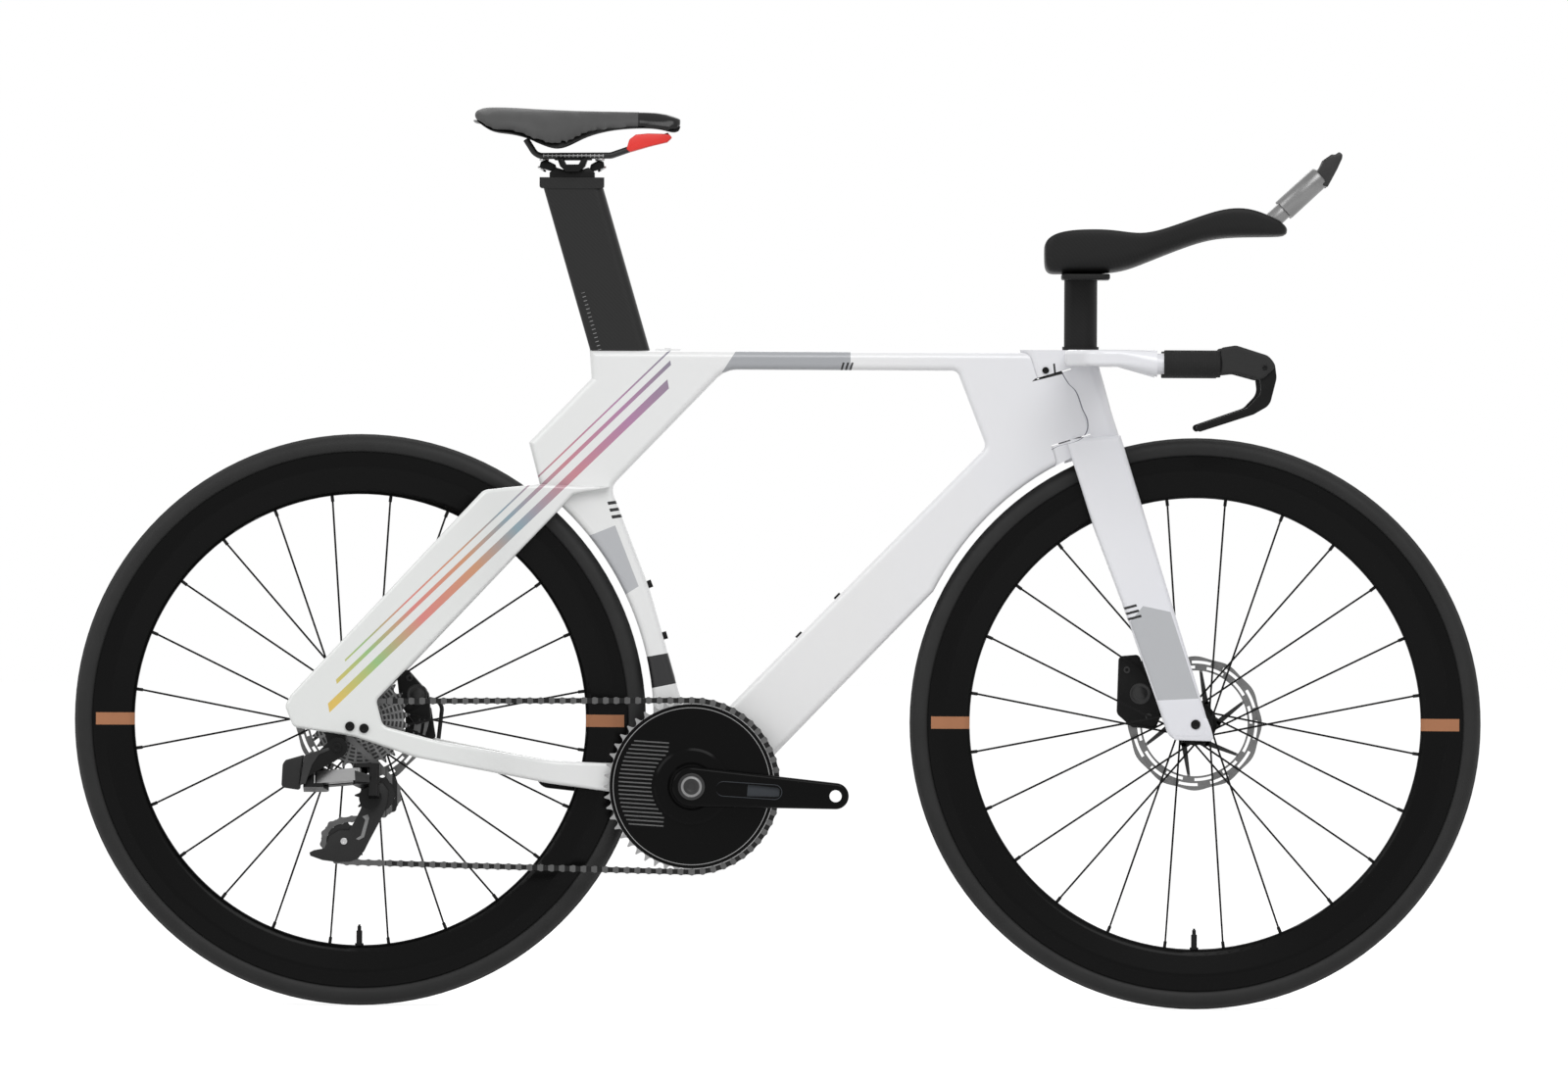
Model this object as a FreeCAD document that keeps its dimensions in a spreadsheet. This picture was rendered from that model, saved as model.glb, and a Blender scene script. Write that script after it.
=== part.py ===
"""Time trial bicycle as a parametric assembly.

Frame of reference: X points forward, Y to the rider's left and Z up. The origin lies on the
ground in the plane of symmetry, midway between the axles. All lengths are in millimetres.
The drive side is the right side, at negative Y.
"""

import FreeCAD, Part
import math
import os

import Sketcher

Vector = FreeCAD.Vector
Rotation = FreeCAD.Rotation
Placement = FreeCAD.Placement
ALONG_Y = Rotation(Vector(1, 0, 0), -90)

# Driving dimensions: alias, value, meaning
LENGTHS = (
    ("wheelbase", 985, "rear axle to front axle"),
    ("tyre_radius", 337, "outer radius of the tyre"),
    ("tyre_width", 26, "width of the tyre"),
    ("tyre_wall", 3, "thickness of the tyre"),
    ("rim_edge_radius", 315, "radius of the rim's outer edge"),
    ("rim_depth", 49, "depth of the aero rim"),
    ("rim_width", 28, "widest part of the rim"),
    ("rim_edge_width", 24.4, "width of the rim at the tyre"),
    ("rim_wall", 2, "wall of the hollow rim"),
    ("bead_depth", 6, "depth of the tyre's foot in the rim"),
    ("seat_gap", 0.15, "gap between pieces that sit in each other"),
    ("running_gap", 0.05, "radial clearance of a shaft in its bearing"),
    ("spokes_per_side", 12, "spokes on each flange"),
    ("spoke_lead", 60, "angle between a spoke's hub hole and its rim hole"),
    ("spoke_width", 2.3, "width of a bladed spoke"),
    ("spoke_thickness", 1.0, "thickness of a bladed spoke"),
    ("nipple_radius", 2.0, "radius of a spoke nipple"),
    ("nipple_reach", 7, "length of a nipple outside the rim"),
    ("flange_radius", 21, "radius of a hub flange"),
    ("flange_width", 3, "thickness of a hub flange"),
    ("spoke_circle", 18, "radius of the hub's spoke holes"),
    ("hub_shell_radius", 15, "outer radius of the hub shell"),
    ("hub_end_radius", 16.5, "outer radius of the hub's bearing housing"),
    ("wheel_bearing_radius", 14, "outer radius of a wheel bearing"),
    ("wheel_bearing_width", 7, "width of a wheel bearing"),
    ("sleeve_radius", 8.5, "outer radius of the hub's inner sleeve"),
    ("end_cap_radius", 11, "radius of the hub's end caps"),
    ("axle_radius", 6, "radius of a through axle"),
    ("front_drop_width", 100, "distance between the fork ends"),
    ("rear_drop_width", 142, "distance between the rear dropouts"),
    ("end_cap_width", 6.7, "thickness of a hub end cap"),
    ("drive_cap_width", 2.4, "thickness of the end cap beside the cassette"),
    ("front_right_flange", -33, "place of the front hub's right flange"),
    ("front_left_flange", 20, "place of the front hub's left flange"),
    ("rear_right_flange", -19, "place of the rear hub's right flange"),
    ("rear_left_flange", 28, "place of the rear hub's left flange"),
    ("rear_hub_right_end", -24, "right end of the rear hub shell"),
    ("rotor_radius", 80, "outer radius of a brake rotor"),
    ("rotor_thickness", 1.8, "thickness of a brake rotor"),
    ("rotor_inset", 14.4, "left fork end to the rotor's outer face"),
    ("rotor_track", 14, "width of the rotor's braking track"),
    ("rotor_mount_radius", 26, "radius of the hub's rotor seat"),
    ("rotor_arms", 6, "arms of a rotor"),
    ("rotor_vents", 24, "slots in the braking track"),
    ("rotor_arm_lean", 22, "slant of a rotor arm, in degrees"),
    ("rotor_arm_foot", 20, "angle of a rotor arm at the hub"),
    ("rotor_arm_head", 12, "angle of a rotor arm at the track"),
    ("rotor_bolt_radius", 2.6, "bolt hole of a rotor"),
    ("bracket_x", -100.5, "bottom bracket axis, along the bicycle"),
    ("bracket_z", 261, "bottom bracket axis, above the ground"),
    ("bracket_width", 86, "width of the bottom bracket shell"),
    ("bracket_radius", 25, "outer radius of the bottom bracket shell"),
    ("bracket_bore", 20.5, "bore of the bottom bracket shell"),
    ("cup_flange_radius", 24, "flange of a bottom bracket cup"),
    ("cup_flange_width", 1.4, "thickness of that flange"),
    ("cup_depth", 16, "depth of a cup in the shell"),
    ("crank_bearing_radius", 18.4, "outer radius of a crank bearing"),
    ("crank_bearing_width", 7, "width of a crank bearing"),
    ("spindle_radius", 14.5, "radius of the crank spindle"),
    ("crank_length", 170, "crank spindle to pedal axis"),
    ("crank_angle", 3.5, "right crank below the horizontal"),
    ("crank_root_radius", 23.5, "radius of the crank arm at the spindle"),
    ("crank_tip_radius", 15.5, "radius of the crank arm at the pedal"),
    ("crank_thickness", 13, "thickness of a crank arm"),
    ("crank_outer_face", 73, "outer face of a crank arm from the middle"),
    ("crank_boss_face", 47.8, "inner end of a crank arm's boss"),
    ("crank_edge", 4, "rounding of the crank arm's edges"),
    ("pedal_bore", 7.14, "radius of the pedal thread"),
    ("crank_window_start", 37, "inner end of the crank's recess from the spindle"),
    ("crank_window_end", 100, "outer end of the crank's recess from the spindle"),
    ("crank_window_root", 8, "radius of the recess at its inner end"),
    ("crank_window_tip", 5.5, "radius of the recess at its outer end"),
    ("crank_window_depth", 3, "depth of the crank's recess"),
    ("chain_pitch", 12.7, "pitch of the chain"),
    ("roller_radius", 3.85, "radius of a chain roller"),
    ("chain_inner_width", 2.2, "width between the inner plates"),
    ("plate_thickness", 0.7, "thickness of a link plate"),
    ("plate_height", 8.2, "height of a link plate"),
    ("plate_waist", 6.0, "height of a link plate at its waist"),
    ("pin_radius", 1.7, "radius of a chain pin"),
    ("chain_play", 0.12, "clearance between links"),
    ("tooth_seat", 4.2, "radius of a tooth gap"),
    ("tooth_rise", 2.6, "tooth tip above the pitch circle"),
    ("tooth_tip", 1.5, "width of a tooth's tip"),
    ("tooth_thickness", 1.4, "thickness of a tooth"),
    ("ring_teeth", 50, "teeth of the chainring"),
    ("chain_line", 45, "plane of the chainring from the middle"),
    ("ring_disc_radius", 92.5, "radius of the chainring's disc"),
    ("ring_disc_thickness", 3.5, "thickness of that disc"),
    ("ring_disc_bore", 30, "hole in the disc"),
    ("ring_slit_pitch", 4.9, "distance between the slits of the disc"),
    ("ring_slit_width", 1.7, "width of a slit"),
    ("ring_slit_front", 30, "front end of the slits behind the spindle"),
    ("ring_slit_margin", 6, "disc left outside the slits"),
    ("ring_slits", 21, "slits of the disc"),
    ("spider_radius", 45, "radius of the spider"),
    ("spider_thickness", 5, "thickness of the spider"),
    ("smallest_cog_plane", 65.4, "plane of the smallest cog from the middle"),
    ("cog_spacing", 3.6, "distance between cogs"),
    ("chain_cog", 1, "cog that carries the chain, counted from the smallest"),
    ("freehub_radius", 17.2, "outer radius of the freehub body"),
    ("freehub_nose_radius", 12.2, "outer radius of the freehub's nose"),
    ("freehub_shoulder", 56, "outer end of the freehub body from the middle"),
    ("cog_rim", 3, "metal below a cog's teeth"),
    ("cog_carrier", 2.2, "wall of the stepped carrier"),
    ("cog_root", 1.2, "metal between a tooth gap and the carrier"),
    ("pulley_teeth", 12, "teeth of a derailleur pulley"),
    ("pulley_hub_radius", 9, "hub of a pulley"),
    ("pulley_hub_width", 8, "width of a pulley's hub"),
    ("pulley_pin_radius", 2.5, "radius of a pulley bolt"),
    ("cage_gap", 8.4, "distance between the cage plates"),
    ("cage_plate", 2, "thickness of a cage plate"),
    ("cage_guide_radius", 13, "cage plate round the guide pulley"),
    ("cage_tension_radius", 15, "cage plate round the tension pulley"),
    ("cage_pivot_radius", 6, "radius of the cage pivot"),
    ("cage_pivot_length", 15, "length of the cage pivot in its boss"),
    ("cage_boss_radius", 13, "radius of the boss round the cage pivot"),
    ("cage_boss_length", 24, "length of that boss"),
    ("cage_play", 0.4, "gap between the cage and its boss"),
    ("hanger_bolt_radius", 5, "radius of the hanger bolt"),
    ("hanger_thickness", 7, "thickness of the derailleur hanger"),
    ("hanger_plane", 80, "outer face of the hanger from the middle"),
    ("hanger_tip_radius", 9.5, "radius of the hanger round its bolt"),
    ("hanger_root_radius", 15, "radius of the hanger at the dropout"),
    ("hanger_rise", 40, "hanger bolt below the dropout"),
    ("knuckle_radius", 12, "radius of the upper knuckle's boss"),
    ("knuckle_width", 14, "width of the upper knuckle's boss"),
    ("knuckle_tip_radius", 7, "radius of the upper knuckle at the links"),
    ("knuckle_play", 0.2, "gap between the upper knuckle and the hanger"),
    ("link_length", 50, "length of a parallelogram link"),
    ("link_rest_angle", 20, "links outward at rest"),
    ("link_slant", 15, "slant of the link pivots"),
    ("link_width", 6, "width of a parallelogram link"),
    ("link_height", 15, "height of a parallelogram link"),
    ("link_pin_radius", 2, "radius of a link pin"),
    ("link_lug", 5, "height of a lug above and below the links"),
    ("link_play", 0.25, "gap between a link and its lugs"),
    ("link_wall", 1.5, "metal round a link's pivot"),
    ("lug_radius", 6, "radius of a lug round its pivot"),
    ("knuckle_block", 12.5, "length of the block that joins two lugs"),
    ("link_pivot_y", -66, "inner link's upper knuckle pivot"),
    ("link_offset_x", -6, "outer link pivot behind the inner one"),
    ("link_offset_y", -12, "outer link pivot outside the inner one"),
    ("battery_length", 23, "length of the derailleur battery"),
    ("battery_width", 30, "width of the derailleur battery"),
    ("battery_height", 40, "height of the derailleur battery"),
    ("battery_edge", 3, "rounding of the battery"),
    ("frame_rear_half_width", 18, "half width of the frame at the seat"),
    ("frame_head_half_width", 22, "half width of the frame at the head"),
    ("frame_edge", 8, "rounding of the frame's edges"),
    ("wheel_room", 9, "gap between a tyre and the frame"),
    ("top_tube_top", 774, "height of the top tube's upper face"),
    ("top_tube_depth", 22, "depth of the top tube"),
    ("head_angle", 73, "steering axis above the horizontal"),
    ("fork_offset", 45, "front axle ahead of the steering axis"),
    ("crown_height", 363.5, "front axle's foot to the crown, along the axis"),
    ("head_length", 79, "length of the head tube"),
    ("head_slot", 1.4, "gap above and below the head tube"),
    ("nose_radius", 34, "round front of the head tube"),
    ("stem_radius", 26.5, "round back of the stem"),
    ("crown_radius", 31, "round back of the crown"),
    ("turning_gap", 0.8, "gap between the turning fork and the frame"),
    ("steerer_radius", 14.3, "radius of the steerer"),
    ("head_bore", 15.5, "bore of the head tube"),
    ("head_bearing_radius", 19, "outer radius of a headset bearing"),
    ("head_bearing_width", 8, "width of a headset bearing"),
    ("post_lean", 16.3, "seatpost behind the vertical"),
    ("post_depth", 67.7, "depth of the aero seatpost"),
    ("post_width", 26, "thickness of the aero seatpost"),
    ("post_rise", 199, "seatpost above the frame"),
    ("post_insert", 70, "seatpost inside the frame"),
    ("post_gap", 0.3, "clearance of the seatpost in the frame"),
    ("post_travel_room", 8, "room below the seatpost"),
    ("post_front", -152.9, "seatpost front at the top tube's upper face"),
    ("post_head_edge", 2, "seatpost head wider than the post, on each side"),
    ("wedge_length", 30, "length of the seatpost wedge's cover"),
    ("wedge_width", 18, "width of the wedge's cover"),
    ("wedge_height", 2, "height of the wedge's cover"),
    ("wedge_gap", 6, "wedge's cover ahead of the seatpost"),
    ("wedge_screw_height", 3.2, "height of the wedge's screw"),
    ("wing_collar_x", -224, "rear edge of the seat collar"),
    ("hole_seat_x", -64, "triangle: top tube meets the seat wing"),
    ("hole_head_x", 209.5, "triangle: top tube meets the head tube"),
    ("stay_inner_front", 17, "inner face of a stay beside the seat tube"),
    ("stay_thickness", 15, "thickness of a stay"),
    ("stay_bend_front", -222, "front end of the stay's bend"),
    ("stay_bend_rear", -442, "rear end of the stay's bend"),
    ("stay_edge", 4, "rounding of a stay's edges"),
    ("fork_inner_top", 20, "inner face of a fork blade at the crown"),
    ("fork_blade_top", 16, "thickness of a fork blade at the crown"),
    ("fork_blade_foot", 14.5, "thickness of a fork blade at its foot"),
    ("fork_straight", 362, "height where a fork blade becomes upright"),
    ("fork_edge", 6, "rounding of a fork blade's edges"),
    ("bayonet_half_width", 24, "half width of the fork's head"),
    ("bayonet_edge", 12, "rounding of the fork's head"),
    ("bar_half_width", 190, "grip line from the middle"),
    ("bar_thickness", 19.5, "thickness of the base bar's wing"),
    ("bar_top", 777, "height of the base bar's upper face"),
    ("bar_rear", 336, "rear edge of the wing"),
    ("bar_front", 396, "front edge of the wing"),
    ("bar_edge", 5.5, "rounding of the wing"),
    ("bar_arm_half", 16, "half width of the wing's arm to a grip"),
    ("tape_start", 452, "rear end of the bar tape"),
    ("tape_edge", 2.5, "rounding of the bar tape's ends"),
    ("grip_start", 444, "rear end of the grip"),
    ("grip_end", 518, "front end of the grip"),
    ("grip_height", 761, "height of the grip's axis"),
    ("grip_radius", 15.6, "outer radius of the bar tape"),
    ("bar_tube_radius", 12, "radius of the bar under the tape"),
    ("hood_width", 27, "width of a brake hood"),
    ("lever_width", 11, "width of a brake lever"),
    ("lever_pin_radius", 2.5, "radius of a lever's pivot pin"),
    ("lever_gap", 0.5, "gap beside a lever in its hood"),
    ("riser_length", 39, "length of the riser column"),
    ("riser_width", 40, "width of the riser column"),
    ("riser_x", 355, "middle of the riser column"),
    ("riser_top", 860, "upper end of the riser column"),
    ("riser_foot", 4, "flare of the riser's foot"),
    ("bracket_plate", 6.8, "thickness of the arm rest plate"),
    ("bracket_plate_rear", 332, "rear edge of the arm rest plate"),
    ("bracket_plate_front", 389, "front edge of the arm rest plate"),
    ("bracket_plate_half", 90, "half width of the arm rest plate"),
    ("arm_spacing", 62, "arm rest from the middle"),
    ("arm_rear_half", 38, "half width of an arm rest at the elbow"),
    ("arm_front_half", 17, "half width of an arm rest at the hand"),
    ("trough_radius", 33, "radius of the forearm trough"),
    ("extension_socket", 22, "extension tube inside the arm rest"),
    ("extension_angle", 43, "extension above the horizontal"),
    ("extension_radius", 8.5, "radius of the extension tube"),
    ("sleeve_grip_radius", 12, "radius of the extension's grip"),
    ("extension_neck", 30, "bare tube below the grip"),
    ("extension_grip", 63, "length of the extension's grip"),
    ("extension_tip", 24, "length of the shifter at the tip"),
    ("button_radius", 4, "radius of a shift button"),
    ("button_height", 3.5, "height of a shift button"),
    ("button_proud", 2, "shift button above the tip"),
    ("saddle_length", 247, "length of the saddle"),
    ("saddle_rear", -363, "rear end of the saddle"),
    ("saddle_top", 1057, "height of the saddle's rear"),
    ("saddle_width", 134, "width of the saddle"),
    ("saddle_nose_width", 44, "width of the saddle's nose"),
    ("saddle_shell", 3, "thickness of the saddle's shell"),
    ("saddle_foam", 11, "thickness of the saddle's pad"),
    ("shell_inset", 1.5, "shell inside the edge of the pad"),
    ("nose_cover_radius", 6.5, "radius of the cover on the rails' nose"),
    ("rail_radius", 3.5, "radius of a saddle rail"),
    ("rail_spacing", 22, "saddle rail from the middle"),
    ("rail_bend", 14, "bend of a saddle rail"),
    ("clamp_width", 58, "width of the saddle clamp"),
    ("clamp_bolt_radius", 4, "radius of a clamp bolt's cross pin"),
    ("clamp_bolt_inset", 8, "cross pin from the end of the seatpost head"),
    ("clamp_bolt_rise", 10, "cross pin above the seatpost head"),
    ("clamp_cover", 7, "clamp above the rails' axis"),
    ("clamp_window_length", 26, "opening of the clamp between its cradles"),
    ("clamp_window_height", 9, "height of that opening"),
    ("caliper_slot", 3.4, "slot of a brake caliper"),
    ("pad_thickness", 4, "thickness of a brake pad"),
    ("pad_gap", 0.3, "gap between a pad and its rotor"),
    ("caliper_width", 27, "width of a brake caliper"),
    ("pad_half_length", 11, "half length of a brake pad"),
    ("pad_half_height", 8, "half height of a brake pad"),
    ("pad_corner", 3, "rounding of a brake pad's corners"),
    ("hose_radius", 2.5, "radius of a brake hose"),
    ("hose_bend", 12, "bend of the brake hose"),
    ("bolt_head_radius", 4.6, "radius of a bolt head on the frame"),
    ("bolt_head_height", 2.5, "height of a bolt head on the frame"),
)

# Points in the side view: name, X, Z, meaning
POINTS = (
    ("wing_notch", -221.5, 741, "foot of the seat collar"),
    ("wing_tip", -295, 665, "rear tip of the seat wing"),
    ("wing_heel", -282, 616, "seat wing above the stays"),
    ("seat_foot_rear", -262, 575, "seat tube behind, under the stays"),
    ("shell_rear", -150, 236, "behind the bottom bracket"),
    ("shell_low", -100, 231, "below the bottom bracket"),
    ("shell_front", -58, 241, "in front of the bottom bracket"),
    ("down_low", 191, 500, "down tube below, at the front wheel"),
    ("head_low", 240, 540, "beyond the front wheel's room"),
    ("hole_front", 244.5, 662.5, "triangle: head tube meets the down tube"),
    ("hole_foot", -99.5, 312, "triangle: down tube meets the seat tube"),
    ("hole_tube", -152, 493, "triangle: bulge of the seat tube"),
    ("hole_wing", -198.5, 612.5, "triangle: seat tube meets the seat wing"),
    ("stay_shoulder", -347, 609, "upper corner of a stay"),
    ("stay_front_top", -199.5, 613, "front end of a stay's shoulder"),
    ("stay_front_low", -243, 604, "lower edge of that shoulder"),
    ("stay_inside", -266, 578, "upper end of the stay's inner edge"),
    ("stay_elbow", -471.5, 361, "lower end of the stay's inner edge"),
    ("stay_throat", -464, 331, "dropout above the chain stay"),
    ("chainstay_top_rear", -399, 313.5, "chain stay above, rear"),
    ("chainstay_top_mid", -270, 290, "chain stay above, middle"),
    ("chainstay_top_front", -96, 284, "chain stay above, front"),
    ("chainstay_low_front", -96, 240, "chain stay below, front"),
    ("chainstay_low_mid", -270, 263.5, "chain stay below, middle"),
    ("chainstay_low_rear", -425, 294, "chain stay below, rear"),
    ("dropout_low", -497, 318, "dropout below the axle"),
    ("dropout_heel", -569, 329, "dropout's rear lower corner"),
    ("dropout_rear", -579, 354, "dropout's rear end"),
    ("dropout_top", -572, 367, "dropout's rear upper corner"),
    ("blade_front_top", 402.5, 677, "fork blade's front edge, upper end"),
    ("blade_front_foot", 513.5, 319, "fork blade's front edge, foot"),
    ("blade_rear_foot", 462, 319, "fork blade's rear edge, foot"),
    ("blade_rear_low", 407.4, 473.7, "fork blade's rear edge, lower bend"),
    ("blade_rear_mid", 371.8, 566.4, "fork blade's rear edge, upper bend"),
    ("blade_rear_top", 338, 672, "fork blade's rear edge, upper end"),
    ("bayonet_top", 377, 757.5, "fork head's upper front corner"),
    ("bayonet_waist", 391.5, 706, "fork head's slim part"),
    ("bayonet_foot", 406, 661, "fork head meets the blades"),
    ("crown_front", 418, 622, "below the crown, in front"),
    ("crown_rear", 300, 622, "below the crown, behind"),
    ("hood_heel", 518, 780, "brake hood, upper rear"),
    ("hood_crest", 536, 783, "brake hood, crest"),
    ("hood_brow", 574, 771, "brake hood, above the lever"),
    ("hood_nose", 584, 759, "brake hood, front"),
    ("hood_chin", 566, 742, "brake hood, below the lever"),
    ("hood_throat", 536, 750, "brake hood, under the bar"),
    ("hood_foot", 518, 748, "brake hood, lower rear"),
    ("lever_pivot", 570, 757, "brake lever's pivot"),
    ("lever_brow", 581, 767, "brake lever, above the pivot"),
    ("lever_front", 584, 745, "brake lever, front"),
    ("lever_knee", 576, 713, "brake lever, outer bend"),
    ("lever_shin", 557, 702, "brake lever, below the bend"),
    ("lever_tip_low", 493, 681, "brake lever, lower tip"),
    ("lever_tip_top", 487, 688, "brake lever, upper tip"),
    ("lever_calf", 550, 710, "brake lever, inside the bend"),
    ("lever_thigh", 566, 727, "brake lever, below the pivot"),
    ("arm_heel", 317, 867.5, "arm rest, lower rear"),
    ("arm_back", 310, 897, "arm rest, rear edge"),
    ("arm_rim_rear", 320, 913, "arm rest, rear of its rim"),
    ("arm_rim", 381, 921, "arm rest, top of its rim"),
    ("arm_dip", 426, 914, "arm rest, dip of its rim"),
    ("arm_rise", 521, 945.5, "arm rest, rise towards the hand"),
    ("arm_crest", 551, 946, "arm rest, front of its crest"),
    ("arm_brow", 594, 928, "arm rest, above its nose"),
    ("arm_nose", 600, 914, "arm rest, nose"),
    ("arm_chin", 510, 911.5, "arm rest, under the hand"),
    ("arm_belly", 404, 869.5, "arm rest, under the forearm"),
    ("arm_sole", 388, 867.5, "arm rest, front of its sole"),
    ("trough_rear", 290, 921, "axis of the trough, rear"),
    ("trough_bend", 425, 925, "axis of the trough, bend"),
    ("trough_front", 540, 966, "axis of the trough, front"),
    ("extension_root", 573, 924, "foot of the extension tube"),
    ("cage_pivot", -478, 246, "pivot of the derailleur cage"),
    ("guide_offset", 8, 4, "guide pulley from the cage pivot"),
    ("tension_offset", -30, -52, "tension pulley from the cage pivot"),
    ("hanger_bolt", -517, 305, "hanger bolt"),
    ("link_pivot", -533, 266, "upper knuckle's link pivot"),
    ("battery_corner", -580, 256, "lower rear corner of the battery"),
    ("rear_pad_centre", -427, 366, "middle of the rear brake pads"),
    ("front_pad_centre", 430, 372, "middle of the front brake pads"),
    ("head_block_low", -284, 965, "seatpost head, lower rear"),
    ("head_block_top", -208, 978, "seatpost head, upper front"),
    ("rail_rear", -300, 1022, "saddle rail, rear end"),
    ("rail_clamp_rear", -288, 1003, "saddle rail, rear of its straight part"),
    ("rail_clamp_front", -200, 1004, "saddle rail, front of its straight part"),
    ("rail_nose", -132, 1028, "saddle rail, front end"),
    ("seat_bolt_upper", -155.4, 497.4, "upper bottle bolt on the seat tube"),
    ("seat_bolt_lower", -132.5, 438.5, "lower bottle bolt on the seat tube"),
    ("down_bolt_upper", 74, 481, "upper bottle bolt on the down tube"),
    ("down_bolt_lower", 28, 436, "lower bottle bolt on the down tube"),
)

COGS = (10, 11, 12, 13, 14, 15, 16, 17, 18, 21, 24, 28)

doc = FreeCAD.newDocument("time_trial_bike")
sheet = doc.addObject("Spreadsheet::Sheet", "Sizes")
row = 0


def write_cell(alias, value, meaning):
    """Put one driving dimension into the sheet."""
    global row
    row += 1
    sheet.set(f"A{row}", meaning)
    sheet.set(f"B{row}", str(value))
    sheet.setAlias(f"B{row}", alias)


for alias, value, meaning in LENGTHS:
    write_cell(alias, value, meaning)
for name, place_x, place_z, meaning in POINTS:
    write_cell(name + "_x", place_x, meaning + ", X")
    write_cell(name + "_z", place_z, meaning + ", Z")
doc.recompute()

NODES = []


def size(alias):
    """Value of a driving dimension."""
    return float(sheet.get(alias))


def point(name):
    """Side view point as X and Z."""
    return size(name + "_x"), size(name + "_z")


def number(expression):
    """Value of an expression over the sheet."""
    return float(sheet.evalExpression(expression))


def node(thing, label):
    """Register an object as a piece of the bicycle."""
    thing.Label = label
    NODES.append(thing)
    return thing


def feature(label, shape, placement=None):
    """Document object with a shape worked out in code."""
    thing = doc.addObject("Part::Feature", label)
    thing.Shape = shape
    if placement is not None:
        thing.Placement = placement
    return thing


def cut(label, base, *tools):
    """Base without the tools."""
    for count, tool in enumerate(tools):
        result = doc.addObject("Part::Cut", f"{label}_cut{count}")
        result.Base = base
        result.Tool = tool
        base = result
    doc.recompute()
    return base


def fuse(label, *things):
    """One solid made of several."""
    result = doc.addObject("Part::MultiFuse", label + "_fuse")
    result.Shapes = list(things)
    doc.recompute()
    return result


def common(label, *things):
    """What several objects share."""
    result = doc.addObject("Part::MultiCommon", label + "_common")
    result.Shapes = list(things)
    doc.recompute()
    return result


def group(label, *things):
    """Separate solids that belong to one piece."""
    result = doc.addObject("Part::Compound", label + "_group")
    result.Links = list(things)
    doc.recompute()
    return result


def mirrored(label, thing):
    """The same piece on the other side of the bicycle."""
    result = doc.addObject("Part::Mirroring", label + "_mirror")
    result.Source = thing
    result.Normal = Vector(0, 1, 0)
    result.Base = Vector(0, 0, 0)
    doc.recompute()
    return result


def rounded(label, thing, radius, chosen):
    """Object whose chosen edges are rounded."""
    result = doc.addObject("Part::Fillet", label + "_round")
    result.Base = thing
    edges = []
    for place, edge in enumerate(thing.Shape.Edges, start=1):
        if chosen(edge):
            edges.append((place, radius, radius))
    result.Edges = edges
    doc.recompute()
    return result


def along(edge, measure):
    """Values of a measure at five places along an edge."""
    first, last = edge.FirstParameter, edge.LastParameter
    return [measure(edge.valueAt(first + (last - first) * step / 4)) for step in range(5)]


def lies_on(measure, tolerance=1e-4):
    """Test for edges on which a measure stays at nought."""
    return lambda edge: max(abs(value) for value in along(edge, measure)) < tolerance


def origin_plane(body, role):
    """Origin plane of a body."""
    for thing in body.Origin.OriginFeatures:
        if thing.Role == role:
            return thing
    raise ValueError(role)


def new_sketch(body, role, name):
    """Sketch on an origin plane of its body."""
    sketch = body.newObject("Sketcher::SketchObject", name)
    sketch.AttachmentSupport = [(origin_plane(body, role), "")]
    sketch.MapMode = "FlatFace"
    return sketch


def bound_outline(sketch, corners):
    """Closed outline whose corners are bound to expressions."""
    values = [(number(first), number(second)) for first, second in corners]
    count = len(corners)
    for place in range(count):
        start, end = values[place], values[(place + 1) % count]
        sketch.addGeometry(Part.LineSegment(Vector(*start, 0), Vector(*end, 0)), False)
    for place in range(count):
        sketch.addConstraint(Sketcher.Constraint("Coincident", place, 2, (place + 1) % count, 1))
    for place, pair in enumerate(corners):
        for kind, value, expression in zip(("DistanceX", "DistanceY"), values[place], pair):
            bound = sketch.addConstraint(Sketcher.Constraint(kind, -1, 1, place, 1, value))
            sketch.setExpression(f"Constraints[{bound}]", expression)


def turn_sketch(body, sketch, place_x, place_z):
    """Turn a sketch about its upright axis, and place the body."""
    turn = body.newObject("PartDesign::Revolution", body.Name + "_turn")
    turn.Profile = sketch
    turn.ReferenceAxis = (sketch, ["V_Axis"])
    turn.Angle = 360
    body.setExpression("Placement.Base.x", place_x)
    body.setExpression("Placement.Base.z", place_z)
    doc.recompute()
    return body


def turned(label, corners, place_x="0", place_z="0"):
    """Body turned about an axis along Y; corners are (radius, Y) expressions."""
    body = doc.addObject("PartDesign::Body", label)
    sketch = new_sketch(body, "XY_Plane", label + "_profile")
    bound_outline(sketch, corners)
    return turn_sketch(body, sketch, place_x, place_z)


def turned_curves(label, loops, place_x="0", place_z="0"):
    """Body turned about an axis along Y from loops of lines and arcs."""
    body = doc.addObject("PartDesign::Body", label)
    sketch = new_sketch(body, "XY_Plane", label + "_profile")
    for loop in loops:
        sketch.addGeometry(loop, False)
    return turn_sketch(body, sketch, place_x, place_z)


def ring(label, inner, outer, low, high, place_x="0", place_z="0"):
    """Plain ring about an axis along Y."""
    return turned(label, ((inner, low), (outer, low), (outer, high), (inner, high)), place_x, place_z)


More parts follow.
